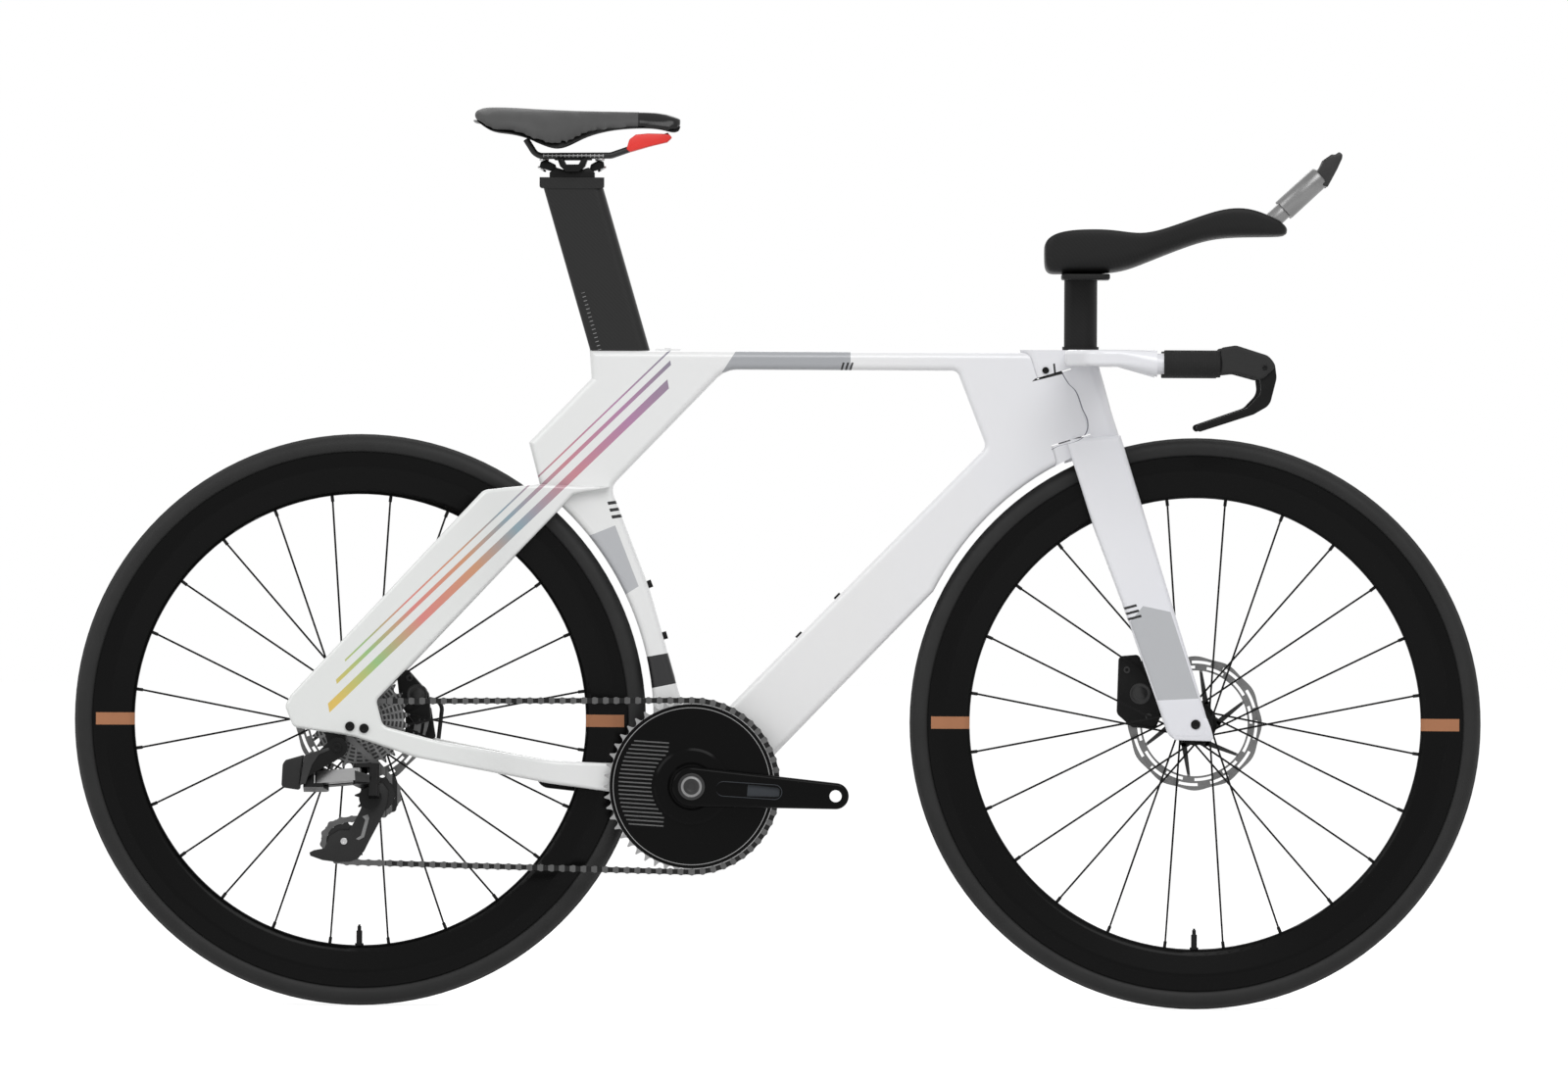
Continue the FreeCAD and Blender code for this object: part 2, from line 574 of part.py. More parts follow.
def outline(corners):
    """Closed loop of lines whose corners (u, v, radius) are rounded by tangent arcs."""
    corners = [Vector(c[0], c[1], 0) if len(c) == 2 else Vector(c[0], c[1], c[2]) for c in corners]
    flat = [Vector(c.x, c.y, 0) for c in corners]
    count = len(flat)
    ends = []
    for place in range(count):
        here = flat[place]
        back = (flat[place - 1] - here).normalize()
        ahead = (flat[(place + 1) % count] - here).normalize()
        radius = corners[place].z
        if radius <= 0:
            ends.append((here, None, here))
            continue
        half = back.getAngle(ahead) / 2
        reach = radius / math.tan(half)
        middle = here + (back + ahead).normalize() * (radius / math.sin(half) - radius)
        ends.append((here + back * reach, middle, here + ahead * reach))
    edges = []
    for place in range(count):
        start, middle, end = ends[place]
        if middle is not None:
            edges.append(Part.Arc(start, middle, end))
        following = ends[(place + 1) % count][0]
        if end.distanceToPoint(following) > 1e-6:
            edges.append(Part.LineSegment(end, following))
    return edges


def circle(centre_u, centre_v, radius):
    """Full circle for a sketch."""
    return [Part.Circle(Vector(centre_u, centre_v, 0), Vector(0, 0, 1), radius)]


def pad_sketch(label, loops, role, offset, length):
    """Body padded from loops in one of the origin planes; offset and length are expressions."""
    body = doc.addObject("PartDesign::Body", label)
    sketch = new_sketch(body, role, label + "_profile")
    for loop in loops:
        sketch.addGeometry(loop, False)
    sketch.setExpression("AttachmentOffset.Base.z", offset)
    pad = body.newObject("PartDesign::Pad", label + "_pad")
    pad.Profile = sketch
    pad.setExpression("Length", length)
    doc.recompute()
    return body, pad


def padded(label, loops, low, high, rounding=None):
    """Body whose side view loops reach from Y low to Y high (expressions)."""
    body, pad = pad_sketch(label, loops, "XZ_Plane", f"-({high})", f"({high}) - ({low})")
    if rounding is not None:
        soften(body, pad, rounding, lambda spot: spot.y)
    return body


def laid(label, loops, low, high, rounding=None):
    """Body whose plan view loops reach from Z low to Z high (expressions)."""
    body, pad = pad_sketch(label, loops, "XY_Plane", low, f"({high}) - ({low})")
    if rounding is not None:
        soften(body, pad, rounding, lambda spot: spot.z)
    return body


def fronted(label, loops, low, high):
    """Body whose front view loops (Y, Z) reach from X low to X high (expressions)."""
    return pad_sketch(label, loops, "YZ_Plane", low, f"({high}) - ({low})")[0]


def soften(body, pad, rounding, measure):
    """Round the edges of a pad's two end faces."""
    edges = []
    for place, edge in enumerate(pad.Shape.Edges, start=1):
        values = along(edge, measure)
        if max(values) - min(values) < 1e-6:
            edges.append(f"Edge{place}")
    fillet = body.newObject("PartDesign::Fillet", body.Name + "_round")
    fillet.Base = (pad, edges)
    fillet.setExpression("Radius", rounding)
    doc.recompute()


def rod(label, radius, low, high, place_x="0", place_z="0"):
    """Cylinder along Y from low to high (expressions)."""
    thing = doc.addObject("Part::Cylinder", label)
    thing.setExpression("Radius", radius)
    thing.setExpression("Height", f"({high}) - ({low})")
    thing.Placement = Placement(Vector(0, 0, 0), ALONG_Y)
    thing.setExpression("Placement.Base.x", place_x)
    thing.setExpression("Placement.Base.y", low)
    thing.setExpression("Placement.Base.z", place_z)
    doc.recompute()
    return thing


def flat_polar(radius, degrees):
    """Point of a sketch at an angle."""
    angle = math.radians(degrees)
    return Vector(radius * math.cos(angle), radius * math.sin(angle), 0)


def polar(radius, degrees, place_y=0):
    """Point of a wheel's side view."""
    angle = math.radians(degrees)
    return Vector(radius * math.cos(angle), place_y, radius * math.sin(angle))


def tangent_wire(corners, radius):
    """Path of straight runs joined by tangent arcs in space."""
    ends = [(corners[0], None, corners[0])]
    for place in range(1, len(corners) - 1):
        here = corners[place]
        back = (corners[place - 1] - here).normalize()
        ahead = (corners[place + 1] - here).normalize()
        half = back.getAngle(ahead) / 2
        reach = radius / math.tan(half)
        middle = here + (back + ahead).normalize() * (radius / math.sin(half) - radius)
        ends.append((here + back * reach, middle, here + ahead * reach))
    ends.append((corners[-1], None, corners[-1]))
    edges = []
    for place, (start, middle, end) in enumerate(ends):
        if middle is not None:
            edges.append(Part.Arc(start, middle, end).toShape())
        if place + 1 < len(ends):
            edges.append(Part.makeLine(end, ends[place + 1][0]))
    return Part.Wire(edges)


def tube_along(wire, radius):
    """Round rod swept along a path."""
    start = wire.OrderedVertexes[0].Point
    heading = wire.OrderedEdges[0].tangentAt(wire.OrderedEdges[0].FirstParameter)
    ring_wire = Part.Wire(Part.makeCircle(radius, start, heading))
    return wire.makePipeShell([ring_wire], True, False)


def box_loop(low_u, high_u, low_v, high_v, *radii):
    """Rectangle with rounded corners, from the lower left one round."""
    corners = ((low_u, low_v), (high_u, low_v), (high_u, high_v), (low_u, high_v))
    radii = radii if len(radii) == 4 else radii * 4
    return outline([(u, v, radius) for (u, v), radius in zip(corners, radii)])


def plate_from(loop, depth, top_y):
    """Solid from a side view loop, from top_y towards the right side of the bicycle."""
    face = Part.Face(Part.Wire([edge.toShape() for edge in loop]))
    solid = face.extrude(Vector(0, 0, depth))
    solid.Placement = Placement(Vector(0, top_y, 0), Rotation(Vector(1, 0, 0), 90))
    return solid


def hull_loop(first, second, first_radius, second_radius):
    """Outline round two circles, with their outer tangents."""
    start, end = Vector(*first, 0), Vector(*second, 0)
    axis = (end - start).normalize()
    across = Vector(-axis.y, axis.x, 0)
    lean = (first_radius - second_radius) / start.distanceToPoint(end)
    rise = math.sqrt(1 - lean**2)
    upper, lower = axis * lean + across * rise, axis * lean - across * rise
    return [
        Part.Arc(start + upper * first_radius, start - axis * first_radius, start + lower * first_radius),
        Part.LineSegment(start + lower * first_radius, end + lower * second_radius),
        Part.Arc(end + lower * second_radius, end + axis * second_radius, end + upper * second_radius),
        Part.LineSegment(end + upper * second_radius, start + upper * first_radius),
    ]


REAR_X = "-Sizes.wheelbase / 2"
FRONT_X = "Sizes.wheelbase / 2"
AXLE_Z = "Sizes.tyre_radius"
BRACKET = ("Sizes.bracket_x", "Sizes.bracket_z")
rear_axle_x = -size("wheelbase") / 2
front_axle_x = size("wheelbase") / 2
axle_z = size("tyre_radius")


# Wheels
def tyre_profile():
    """Section of the tyre: a round wall on two feet."""
    bend = size("tyre_width") / 2
    middle = size("tyre_radius") - bend
    edge = size("rim_edge_radius")
    foot = math.sqrt(bend**2 - (middle - edge) ** 2)
    inside = bend - size("tyre_wall")
    inner_foot = foot - size("tyre_wall")
    inner_edge = middle - math.sqrt(inside**2 - inner_foot**2)
    heel = edge - size("bead_depth")
    spots = [
        Vector(edge, foot, 0),
        Vector(edge, -foot, 0),
        Vector(heel, -foot, 0),
        Vector(heel, -inner_foot, 0),
        Vector(inner_edge, -inner_foot, 0),
        Vector(inner_edge, inner_foot, 0),
        Vector(heel, inner_foot, 0),
        Vector(heel, foot, 0),
    ]
    edges = [Part.Arc(spots[0], Vector(middle + bend, 0, 0), spots[1])]
    edges += [Part.LineSegment(spots[place], spots[place + 1]) for place in range(1, 4)]
    edges.append(Part.Arc(spots[4], Vector(middle + inside, 0, 0), spots[5]))
    edges += [Part.LineSegment(spots[5], spots[6]), Part.LineSegment(spots[6], spots[7])]
    edges.append(Part.LineSegment(spots[7], spots[0]))
    return edges, foot


def rim_profile(foot):
    """Section of the deep rim, with its hollow and the channel for the tyre."""
    edge, depth, wall = size("rim_edge_radius"), size("rim_depth"), size("rim_wall")
    top_half, wide_half = size("rim_edge_width") / 2, size("rim_width") / 2
    nose = edge - depth
    channel = foot + size("seat_gap")
    floor = edge - size("bead_depth") - size("seat_gap")
    shoulder, cheek = edge - 0.35 * depth, nose + 0.11 * depth
    right = [(edge, top_half, 0), (shoulder, wide_half, 20), (cheek, 0.6 * wide_half, 10), (nose, 4, 4)]
    left = [(u, -v, r) for u, v, r in reversed(right)]
    top = [(edge, -channel, 0), (floor, -channel, 0), (floor, channel, 0), (edge, channel, 0)]
    roof = floor - 1.5 * wall
    half = [
        (roof, wide_half - 2 * wall, 2),
        (shoulder, wide_half - wall, 15),
        (cheek + wall, 0.6 * wide_half - wall, 8),
        (nose + wall, 3, 3),
    ]
    hollow = half + [(u, -v, r) for u, v, r in reversed(half)]
    return outline(right + left + top), outline(hollow)


def spoke_solid(side, leading, flange):
    """One bladed spoke at hub angle zero, with its elbow, head and nipple."""
    thick, wide = size("spoke_thickness"), size("spoke_width")
    face = size("flange_width") / 2 + thick / 2 + size("running_gap")
    outward = 1 if leading else -1
    blade_y = flange + side * outward * face
    lead = size("spoke_lead") * outward
    rim_y = side * 1.5
    nose = size("rim_edge_radius") - size("rim_depth")
    start = polar(size("spoke_circle"), 0, blade_y)
    end = polar(nose - size("nipple_reach") + 1, lead, rim_y)
    run = end - start
    overlap = wide / 2
    blade = Part.makeBox(run.Length + overlap, wide, thick, Vector(-overlap, -wide / 2, -thick / 2))
    axis_x = run.normalize()
    across = axis_x.cross(Vector(0, 1, 0)).normalize()
    up = axis_x.cross(across)
    turn = Rotation(axis_x, across, up, "XZY")
    blade.Placement = Placement(start, turn)
    head_y = flange - side * outward * (face + thick / 2)
    elbow_low, elbow_high = sorted((blade_y, head_y))
    elbow_base = Vector(start.x, elbow_low, 0)
    elbow = Part.makeCylinder(wide / 2, elbow_high - elbow_low, elbow_base, Vector(0, 1, 0))
    head = Part.makeCylinder(0.8 * wide, thick, Vector(start.x, head_y - thick / 2, 0), Vector(0, 1, 0))
    radial = polar(1, lead)
    root = radial * (nose - size("nipple_reach")) + Vector(0, rim_y, 0)
    nipple = Part.makeCylinder(size("nipple_radius"), size("nipple_reach") + 6, root, radial)
    return blade.fuse([elbow, head, nipple]), lead


def spoke_set(right_flange, left_flange, axle_x):
    """All spokes of a wheel, and the holes that they need in the rim and hub."""
    spokes, rim_holes, hub_holes = [], [], []
    count = int(size("spokes_per_side"))
    step = 360 / count
    nose = size("rim_edge_radius") - size("rim_depth")
    centre = Vector(axle_x, 0, axle_z)
    for side, flange in ((-1, right_flange), (1, left_flange)):
        offset = 0.25 * step if side < 0 else 0.75 * step
        patterns = [spoke_solid(side, True, flange), spoke_solid(side, False, flange)]
        for place in range(count):
            solid, lead = patterns[place % 2]
            turn = Rotation(Vector(0, 1, 0), -(offset + place * step))
            copy = solid.copy()
            copy.Placement = Placement(centre, turn)
            spokes.append(copy)
            radial = turn.multVec(polar(1, lead))
            root = centre + radial * (nose - 2) + Vector(0, side * 1.5, 0)
            hole_radius = size("nipple_radius") + size("seat_gap")
            rim_holes.append(Part.makeCylinder(hole_radius, 10, root, radial))
            hub = centre + turn.multVec(polar(size("spoke_circle"), 0, 0))
            hub.y = flange - size("flange_width")
            hole_radius = size("spoke_width") / 2 + size("running_gap")
            hub_holes.append(Part.makeCylinder(hole_radius, 2 * size("flange_width"), hub, Vector(0, 1, 0)))
    return spokes, rim_holes, hub_holes


def hub_corners(right_end, right_flange, left_flange, rotor_face, left_end):
    """Corners of a hub shell from the right end to the left end."""
    shell, end = "Sizes.hub_shell_radius", "Sizes.hub_end_radius"
    flange, half = "Sizes.flange_radius", "Sizes.flange_width / 2"
    seat, bearing = "Sizes.wheel_bearing_radius", "Sizes.wheel_bearing_width"
    mount, bore = "Sizes.rotor_mount_radius", "Sizes.wheel_bearing_radius - 2"
    seat = f"{seat} + Sizes.running_gap"
    return (
        (seat, right_end),
        (end, right_end),
        (end, f"{right_flange} - {half}"),
        (flange, f"{right_flange} - {half}"),
        (flange, f"{right_flange} + {half}"),
        (shell, f"{right_flange} + {half}"),
        (shell, f"{left_flange} - {half}"),
        (flange, f"{left_flange} - {half}"),
        (flange, f"{left_flange} + {half}"),
        (f"{shell} + 1.5", f"{left_flange} + {half}"),
        (f"{shell} + 1.5", f"{rotor_face} - 5"),
        (mount, f"{rotor_face} - 5"),
        (mount, rotor_face),
        (end, rotor_face),
        (end, left_end),
        (seat, left_end),
        (seat, f"{left_end} - {bearing}"),
        (bore, f"{left_end} - {bearing}"),
        (bore, f"{right_end} + {bearing}"),
        (seat, f"{right_end} + {bearing}"),
    )


def rotor(label, face, place_x):
    """Brake rotor: braking track with slots, slanted arms and a bolt circle."""
    body = doc.addObject("PartDesign::Body", label)
    disc = new_sketch(body, "XZ_Plane", label + "_disc")
    radius, track, arms = size("rotor_radius"), size("rotor_track"), int(size("rotor_arms"))
    hole = size("hub_end_radius") + 2 * size("seat_gap")
    mount = size("rotor_mount_radius")
    disc.addGeometry(circle(0, 0, radius) + circle(0, 0, hole), False)
    disc.setExpression("AttachmentOffset.Base.z", f"-({face} + Sizes.rotor_thickness)")
    pad = body.newObject("PartDesign::Pad", label + "_pad")
    pad.Profile = disc
    pad.setExpression("Length", "Sizes.rotor_thickness")
    inner, outer = mount + 1, radius - track
    share = 360 / arms
    lean, foot, head = size("rotor_arm_lean"), size("rotor_arm_foot") / 2, size("rotor_arm_head") / 2
    low_arc = [flat_polar(inner, angle) for angle in (foot, share / 2, share - foot)]
    high_arc = [flat_polar(outer, lean + angle) for angle in (share - head, share / 2, head)]
    window = [
        Part.Arc(*low_arc),
        Part.LineSegment(low_arc[2], high_arc[0]),
        Part.Arc(*high_arc),
        Part.LineSegment(high_arc[2], low_arc[0]),
    ]
    vent_step = 360 / size("rotor_vents")
    vents = []
    for turn_share, track_share in ((0.35, 0.28), (0.74, 0.72)):
        spot = flat_polar(radius - track * track_share, vent_step * turn_share)
        vents.append(circle(spot.x, spot.y, 0.13 * track))
    bolt = circle(mount - 4, 0, size("rotor_bolt_radius"))
    cuts = (("window", [window], arms), ("vent", vents, size("rotor_vents")), ("bolt", [bolt], arms))
    for name, loops, copies in cuts:
        holes = new_sketch(body, "XZ_Plane", f"{label}_{name}")
        for loop in loops:
            holes.addGeometry(loop, False)
        holes.setExpression("AttachmentOffset.Base.z", f"-({face} + Sizes.rotor_thickness)")
        pocket = body.newObject("PartDesign::Pocket", f"{label}_{name}_pocket")
        pocket.Profile = holes
        pocket.Reversed = True
        pocket.setExpression("Length", "Sizes.rotor_thickness")
        doc.recompute()
        pattern = body.newObject("PartDesign::PolarPattern", f"{label}_{name}_pattern")
        pattern.Originals = [pocket]
        pattern.Axis = (holes, ["N_Axis"])
        pattern.Angle = 360
        pattern.Occurrences = int(copies)
        body.Tip = pattern
        doc.recompute()
    body.setExpression("Placement.Base.x", place_x)
    body.setExpression("Placement.Base.z", AXLE_Z)
    doc.recompute()
    return body


FRONT_HALF = "Sizes.front_drop_width / 2"
REAR_HALF = "Sizes.rear_drop_width / 2"
REAR_SHIFT = Vector(-size("wheelbase"), 0, 0)
ROTOR_SHIFT = Vector(0, number(f"{REAR_HALF} - {FRONT_HALF}"), 0)


def moved(label, thing, shift):
    """The same piece at another place."""
    copy = thing.Shape.copy()
    copy.translate(shift)
    return feature(label, copy)


def wheel(name, place_x, axle_x, right_end, flanges, rotor_face, left_end):
    """Tyre, rim, spokes, hub, bearings and rotor of one wheel."""
    tyre_loop, foot = tyre_profile()
    node(turned_curves(name + "_tyre_body", [tyre_loop], place_x, AXLE_Z), name + "_tyre")
    right_flange, left_flange = flanges
    spokes, rim_holes, hub_holes = spoke_set(number(right_flange), number(left_flange), axle_x)
    if name == "front":
        rim_blank = turned_curves("rim_body", rim_profile(foot), place_x, AXLE_Z)
        rim = cut("front_rim", rim_blank, feature("rim_holes", Part.makeCompound(rim_holes)))
        disc = rotor("rotor_body", rotor_face, place_x)
    else:
        rim = moved("rear_rim_body", doc.getObject("front_rim_cut0"), REAR_SHIFT)
        disc = moved("rear_rotor_body", doc.getObject("rotor_body"), REAR_SHIFT + ROTOR_SHIFT)
    node(rim, name + "_rim")
    node(disc, name + "_rotor")
    spoke_group = node(feature(name + "_spoke_group", Part.makeCompound(spokes)), name + "_spokes")
    corners = hub_corners(right_end, right_flange, left_flange, rotor_face, left_end)
    hub_blank = turned(name + "_hub_body", corners, place_x, AXLE_Z)
    hub_tool = feature(name + "_hub_holes", Part.makeCompound(hub_holes))
    node(cut(name + "_hub", hub_blank, hub_tool, spoke_group), name + "_hub")
    inner, outer = "Sizes.sleeve_radius + Sizes.running_gap", "Sizes.wheel_bearing_radius"
    width = "Sizes.wheel_bearing_width"
    bearings = [
        ring(name + "_bearing_right", inner, outer, right_end, f"{right_end} + {width}", place_x, AXLE_Z),
        ring(name + "_bearing_left", inner, outer, f"{left_end} - {width}", left_end, place_x, AXLE_Z),
    ]
    node(group(name + "_bearings", *bearings), name + "_bearings")


def axle(name, place_x, half, cap_right, cap_left, right_end, left_end):
    """Through axle and the hub's inner sleeve with its end caps."""
    bore = "Sizes.axle_radius + Sizes.running_gap"
    sleeve, cap = "Sizes.sleeve_radius", "Sizes.end_cap_radius"
    corners = (
        (bore, f"-{half}"),
        (cap, f"-{half}"),
        (cap, f"-{half} + {cap_right}"),
        (sleeve, f"-{half} + {cap_right}"),
        (sleeve, f"{half} - {cap_left}"),
        (cap, f"{half} - {cap_left}"),
        (cap, half),
        (bore, half),
    )
    inner = turned(name + "_sleeve", corners, place_x, AXLE_Z)
    bolt = rod(name + "_rod", "Sizes.axle_radius", right_end, left_end, place_x, AXLE_Z)
    return node(group(name, inner, bolt), name)


front_rotor_face = f"{FRONT_HALF} - Sizes.rotor_inset - Sizes.rotor_thickness"
rear_rotor_face = f"{REAR_HALF} - Sizes.rotor_inset - Sizes.rotor_thickness"
cap_room = "(Sizes.end_cap_width + Sizes.seat_gap)"
wheel(
    "front",
    FRONT_X,
    front_axle_x,
    f"-({FRONT_HALF} - {cap_room})",
    ("Sizes.front_right_flange", "Sizes.front_left_flange"),
    f"({front_rotor_face})",
    f"({FRONT_HALF} - {cap_room})",
)
wheel(
    "rear",
    REAR_X,
    rear_axle_x,
    "Sizes.rear_hub_right_end",
    ("Sizes.rear_right_flange", "Sizes.rear_left_flange"),
    f"({rear_rotor_face})",
    f"({REAR_HALF} - {cap_room})",
)
fork_outer = f"({FRONT_HALF} + Sizes.fork_blade_foot)"
stay_outer = f"({REAR_HALF} + Sizes.stay_thickness)"
cap = "Sizes.end_cap_width"
axle("front_axle", FRONT_X, FRONT_HALF, cap, cap, f"-{fork_outer} + 1", f"{fork_outer} - 3")
drive_cap = "Sizes.drive_cap_width"
axle("rear_axle", REAR_X, REAR_HALF, drive_cap, cap, f"-{stay_outer} + 4", f"{stay_outer} - 1")


# Sprockets and chain
def pitch_radius(teeth):
    """Radius of the circle through the roller centres."""
    return size("chain_pitch") / (2 * math.sin(math.pi / teeth))


def sprocket_wire(teeth, phase):
    """Tooth outline about the origin; phase is the angle of one tooth gap in degrees."""
    radius = pitch_radius(teeth)
    seat, tip_radius, tip_half = size("tooth_seat"), radius + size("tooth_rise"), size("tooth_tip") / 2
    opening = math.radians(55)
    step = 2 * math.pi / teeth
    edges = []
    for place in range(teeth):
        gap = math.radians(phase) + place * step
        outward = Vector(math.cos(gap), math.sin(gap), 0)
        sideways = Vector(-math.sin(gap), math.cos(gap), 0)
        centre = outward * radius
        start = centre - sideways * seat * math.sin(opening) - outward * seat * math.cos(opening)
        end = centre + sideways * seat * math.sin(opening) - outward * seat * math.cos(opening)
        edges.append(Part.Arc(start, centre - outward * seat, end).toShape())
        tooth = gap + step / 2
        crest = Vector(math.cos(tooth), math.sin(tooth), 0) * tip_radius
        slip = Vector(-math.sin(tooth), math.cos(tooth), 0) * tip_half
        following = gap + step
        outward = Vector(math.cos(following), math.sin(following), 0)
        sideways = Vector(-math.sin(following), math.cos(following), 0)
        landing = outward * radius - sideways * seat * math.sin(opening) - outward * seat * math.cos(opening)
        for first, second in ((end, crest - slip), (crest - slip, crest + slip), (crest + slip, landing)):
            edges.append(Part.makeLine(first, second))
    return Part.Wire(edges)


def sprocket(teeth, phase, bore, thickness):
    """Toothed plate about Y, with its middle plane at Y = 0."""
    hole = Part.Wire(Part.makeCircle(bore))
    face = Part.makeFace([sprocket_wire(teeth, phase), hole], "Part::FaceMakerBullseye")
    plate = face.extrude(Vector(0, 0, thickness))
    # The plate's Z becomes -Y, so that its outline reads as X and Z of the side view
    plate.Placement = Placement(Vector(0, thickness / 2, 0), Rotation(Vector(1, 0, 0), 90))
    return plate


def cog_plane(place):
    """Y of a cog, counted from the smallest."""
    return -size("smallest_cog_plane") + place * size("cog_spacing")


def tangent(first, second):
    """Ends of the straight run between two turning circles (x, z, radius, sense)."""
    x1, z1, r1, s1 = first
    x2, z2, r2, s2 = second
    reach = math.hypot(x2 - x1, z2 - z1)
    heading = math.atan2(z2 - z1, x2 - x1) - math.asin((s2 * r2 - s1 * r1) / reach)
    left = (-math.sin(heading), math.cos(heading))
    start = (x1 - s1 * r1 * left[0], z1 - s1 * r1 * left[1])
    end = (x2 - s2 * r2 * left[0], z2 - s2 * r2 * left[1])
    return start, end


def chain_route(cage_turn):
    """Closed route of the chain as a list of spans, for a cage turned by some degrees."""
    turn = math.radians(cage_turn)
    pivot_x, pivot_z = point("cage_pivot")
    pulley = pitch_radius(int(size("pulley_teeth")))
    places = []
    for name in ("guide_offset", "tension_offset"):
        off_x, off_z = point(name)
        place_x = pivot_x + off_x * math.cos(turn) - off_z * math.sin(turn)
        place_z = pivot_z + off_x * math.sin(turn) + off_z * math.cos(turn)
        places.append((place_x, place_z))
    ring_plane, cog_plane_y = -size("chain_line"), cog_plane(int(size("chain_cog")))
    circles = [
        (size("bracket_x"), size("bracket_z"), pitch_radius(int(size("ring_teeth"))), 1),
        (rear_axle_x, axle_z, pitch_radius(COGS[int(size("chain_cog"))]), 1),
        (*places[0], pulley, -1),
        (*places[1], pulley, 1),
    ]
    planes = [ring_plane, cog_plane_y, cog_plane_y, cog_plane_y]
    runs = [tangent(circles[place], circles[(place + 1) % 4]) for place in range(4)]
    spans = []
    for place in range(4):
        (start, end) = runs[place]
        spans.append(("run", start, end, planes[place], planes[(place + 1) % 4]))
        centre_x, centre_z, radius, sense = circles[(place + 1) % 4]
        leaving = runs[(place + 1) % 4][0]
        begin = math.atan2(end[1] - centre_z, end[0] - centre_x)
        finish = math.atan2(leaving[1] - centre_z, leaving[0] - centre_x)
        sweep = (sense * (finish - begin)) % (2 * math.pi)
        spans.append(("wrap", (centre_x, centre_z), radius, begin, sense * sweep, planes[(place + 1) % 4]))
    return spans, places


def span_length(span):
    """Length of a run or wrap in the side view."""
    if span[0] == "run":
        return math.dist(span[1], span[2])
    return span[2] * abs(span[4])


def route_spot(spans, distance):
    """Point of the route at a distance from its start."""
    for span in spans:
        length = span_length(span)
        if distance <= length:
            break
        distance -= length
    share = min(distance / length, 1)
    if span[0] == "run":
        (start, end, first, second) = span[1:]
        ease = share * share * (3 - 2 * share)
        spot_x = start[0] + (end[0] - start[0]) * share
        spot_z = start[1] + (end[1] - start[1]) * share
        return Vector(spot_x, first + (second - first) * ease, spot_z)
    (centre, radius, begin, sweep, plane) = span[1:]
    angle = begin + sweep * share
    return Vector(centre[0] + radius * math.cos(angle), plane, centre[1] + radius * math.sin(angle))


def walk_chain(spans, count):
    """Rollers one pitch apart along the route, and how far the last step overshoots the loop."""
    total = sum(span_length(span) for span in spans)
    pitch = size("chain_pitch")
    distance, spots = 0.0, []
    here = route_spot(spans, 0)
    for _ in range(count):
        spots.append(here)
        step = pitch
        for _ in range(12):
            ahead = route_spot(spans, (distance + step) % total)
            step += pitch - here.distanceToPoint(ahead)
        distance += step
        here = route_spot(spans, distance % total)
    return spots, distance - total


def close_chain():
    """Cage angle at which an even number of pitches closes the loop."""
    spans, _ = chain_route(0)
    count = 2 * round(sum(span_length(span) for span in spans) / size("chain_pitch") / 2)
    low, high = -18.0, 18.0
    low_sign = walk_chain(chain_route(low)[0], count)[1] > 0
    for _ in range(30):
        middle = (low + high) / 2
        if (walk_chain(chain_route(middle)[0], count)[1] > 0) == low_sign:
            low = middle
        else:
            high = middle
    spans, places = chain_route(low)
    spots, _ = walk_chain(spans, count)
    return low, spots, places


def gap_phase(spots, centre_x, centre_z, radius):
    """Angle of a roller that sits on a sprocket."""
    for spot in spots:
        if abs(math.hypot(spot.x - centre_x, spot.z - centre_z) - radius) < 1e-4:
            return math.degrees(math.atan2(spot.z - centre_z, spot.x - centre_x))
    raise ValueError("no roller on the sprocket")


def plate_loop():
    """Outline of a link plate: two round ends and a waist."""
    pitch, end = size("chain_pitch"), size("plate_height") / 2
    waist = size("plate_waist") / 2
    lean = math.radians(55)
    reach, rise = end * math.cos(lean), end * math.sin(lean)
    edges = []
    for side in (1, -1):
        tip_x = side * pitch / 2
        shoulder = tip_x - side * reach
        lower, upper = Vector(shoulder, -side * rise, 0), Vector(shoulder, side * rise, 0)
        edges.append(Part.Arc(lower, Vector(tip_x + side * end, 0, 0), upper))
        edges.append(Part.Arc(upper, Vector(0, side * waist, 0), Vector(-shoulder, side * rise, 0)))
    return Part.Wire([edge.toShape() for edge in edges])


def chain_links():
    """An inner and an outer link, each one solid, along X with pins along Y."""
    pitch, thick, half = size("chain_pitch"), size("plate_thickness"), size("chain_inner_width") / 2
    play, pin = size("chain_play"), size("pin_radius")
    flat = Rotation(Vector(1, 0, 0), 90)

    def plates(inner_face):
        blanks = []
        for low in (inner_face, -inner_face - thick):
            blank = Part.Face(plate_loop()).extrude(Vector(0, 0, thick))
            blank.Placement = Placement(Vector(0, low + thick, 0), flat)
            blanks.append(blank)
        return blanks

    def pins(radius, reach):
        ends = (-pitch / 2, pitch / 2)
        return [Part.makeCylinder(radius, 2 * reach, Vector(end, -reach, 0), Vector(0, 1, 0)) for end in ends]

    inner_plates = plates(half)
    inner = inner_plates[0].fuse(inner_plates[1:] + pins(size("roller_radius"), half))
    inner = inner.cut(pins(pin + play, half + 2 * thick))
    outer_plates = plates(half + thick + play / 2)
    outer = outer_plates[0].fuse(outer_plates[1:] + pins(pin, half + 2 * thick + play / 2))
    return inner.removeSplitter(), outer.removeSplitter()


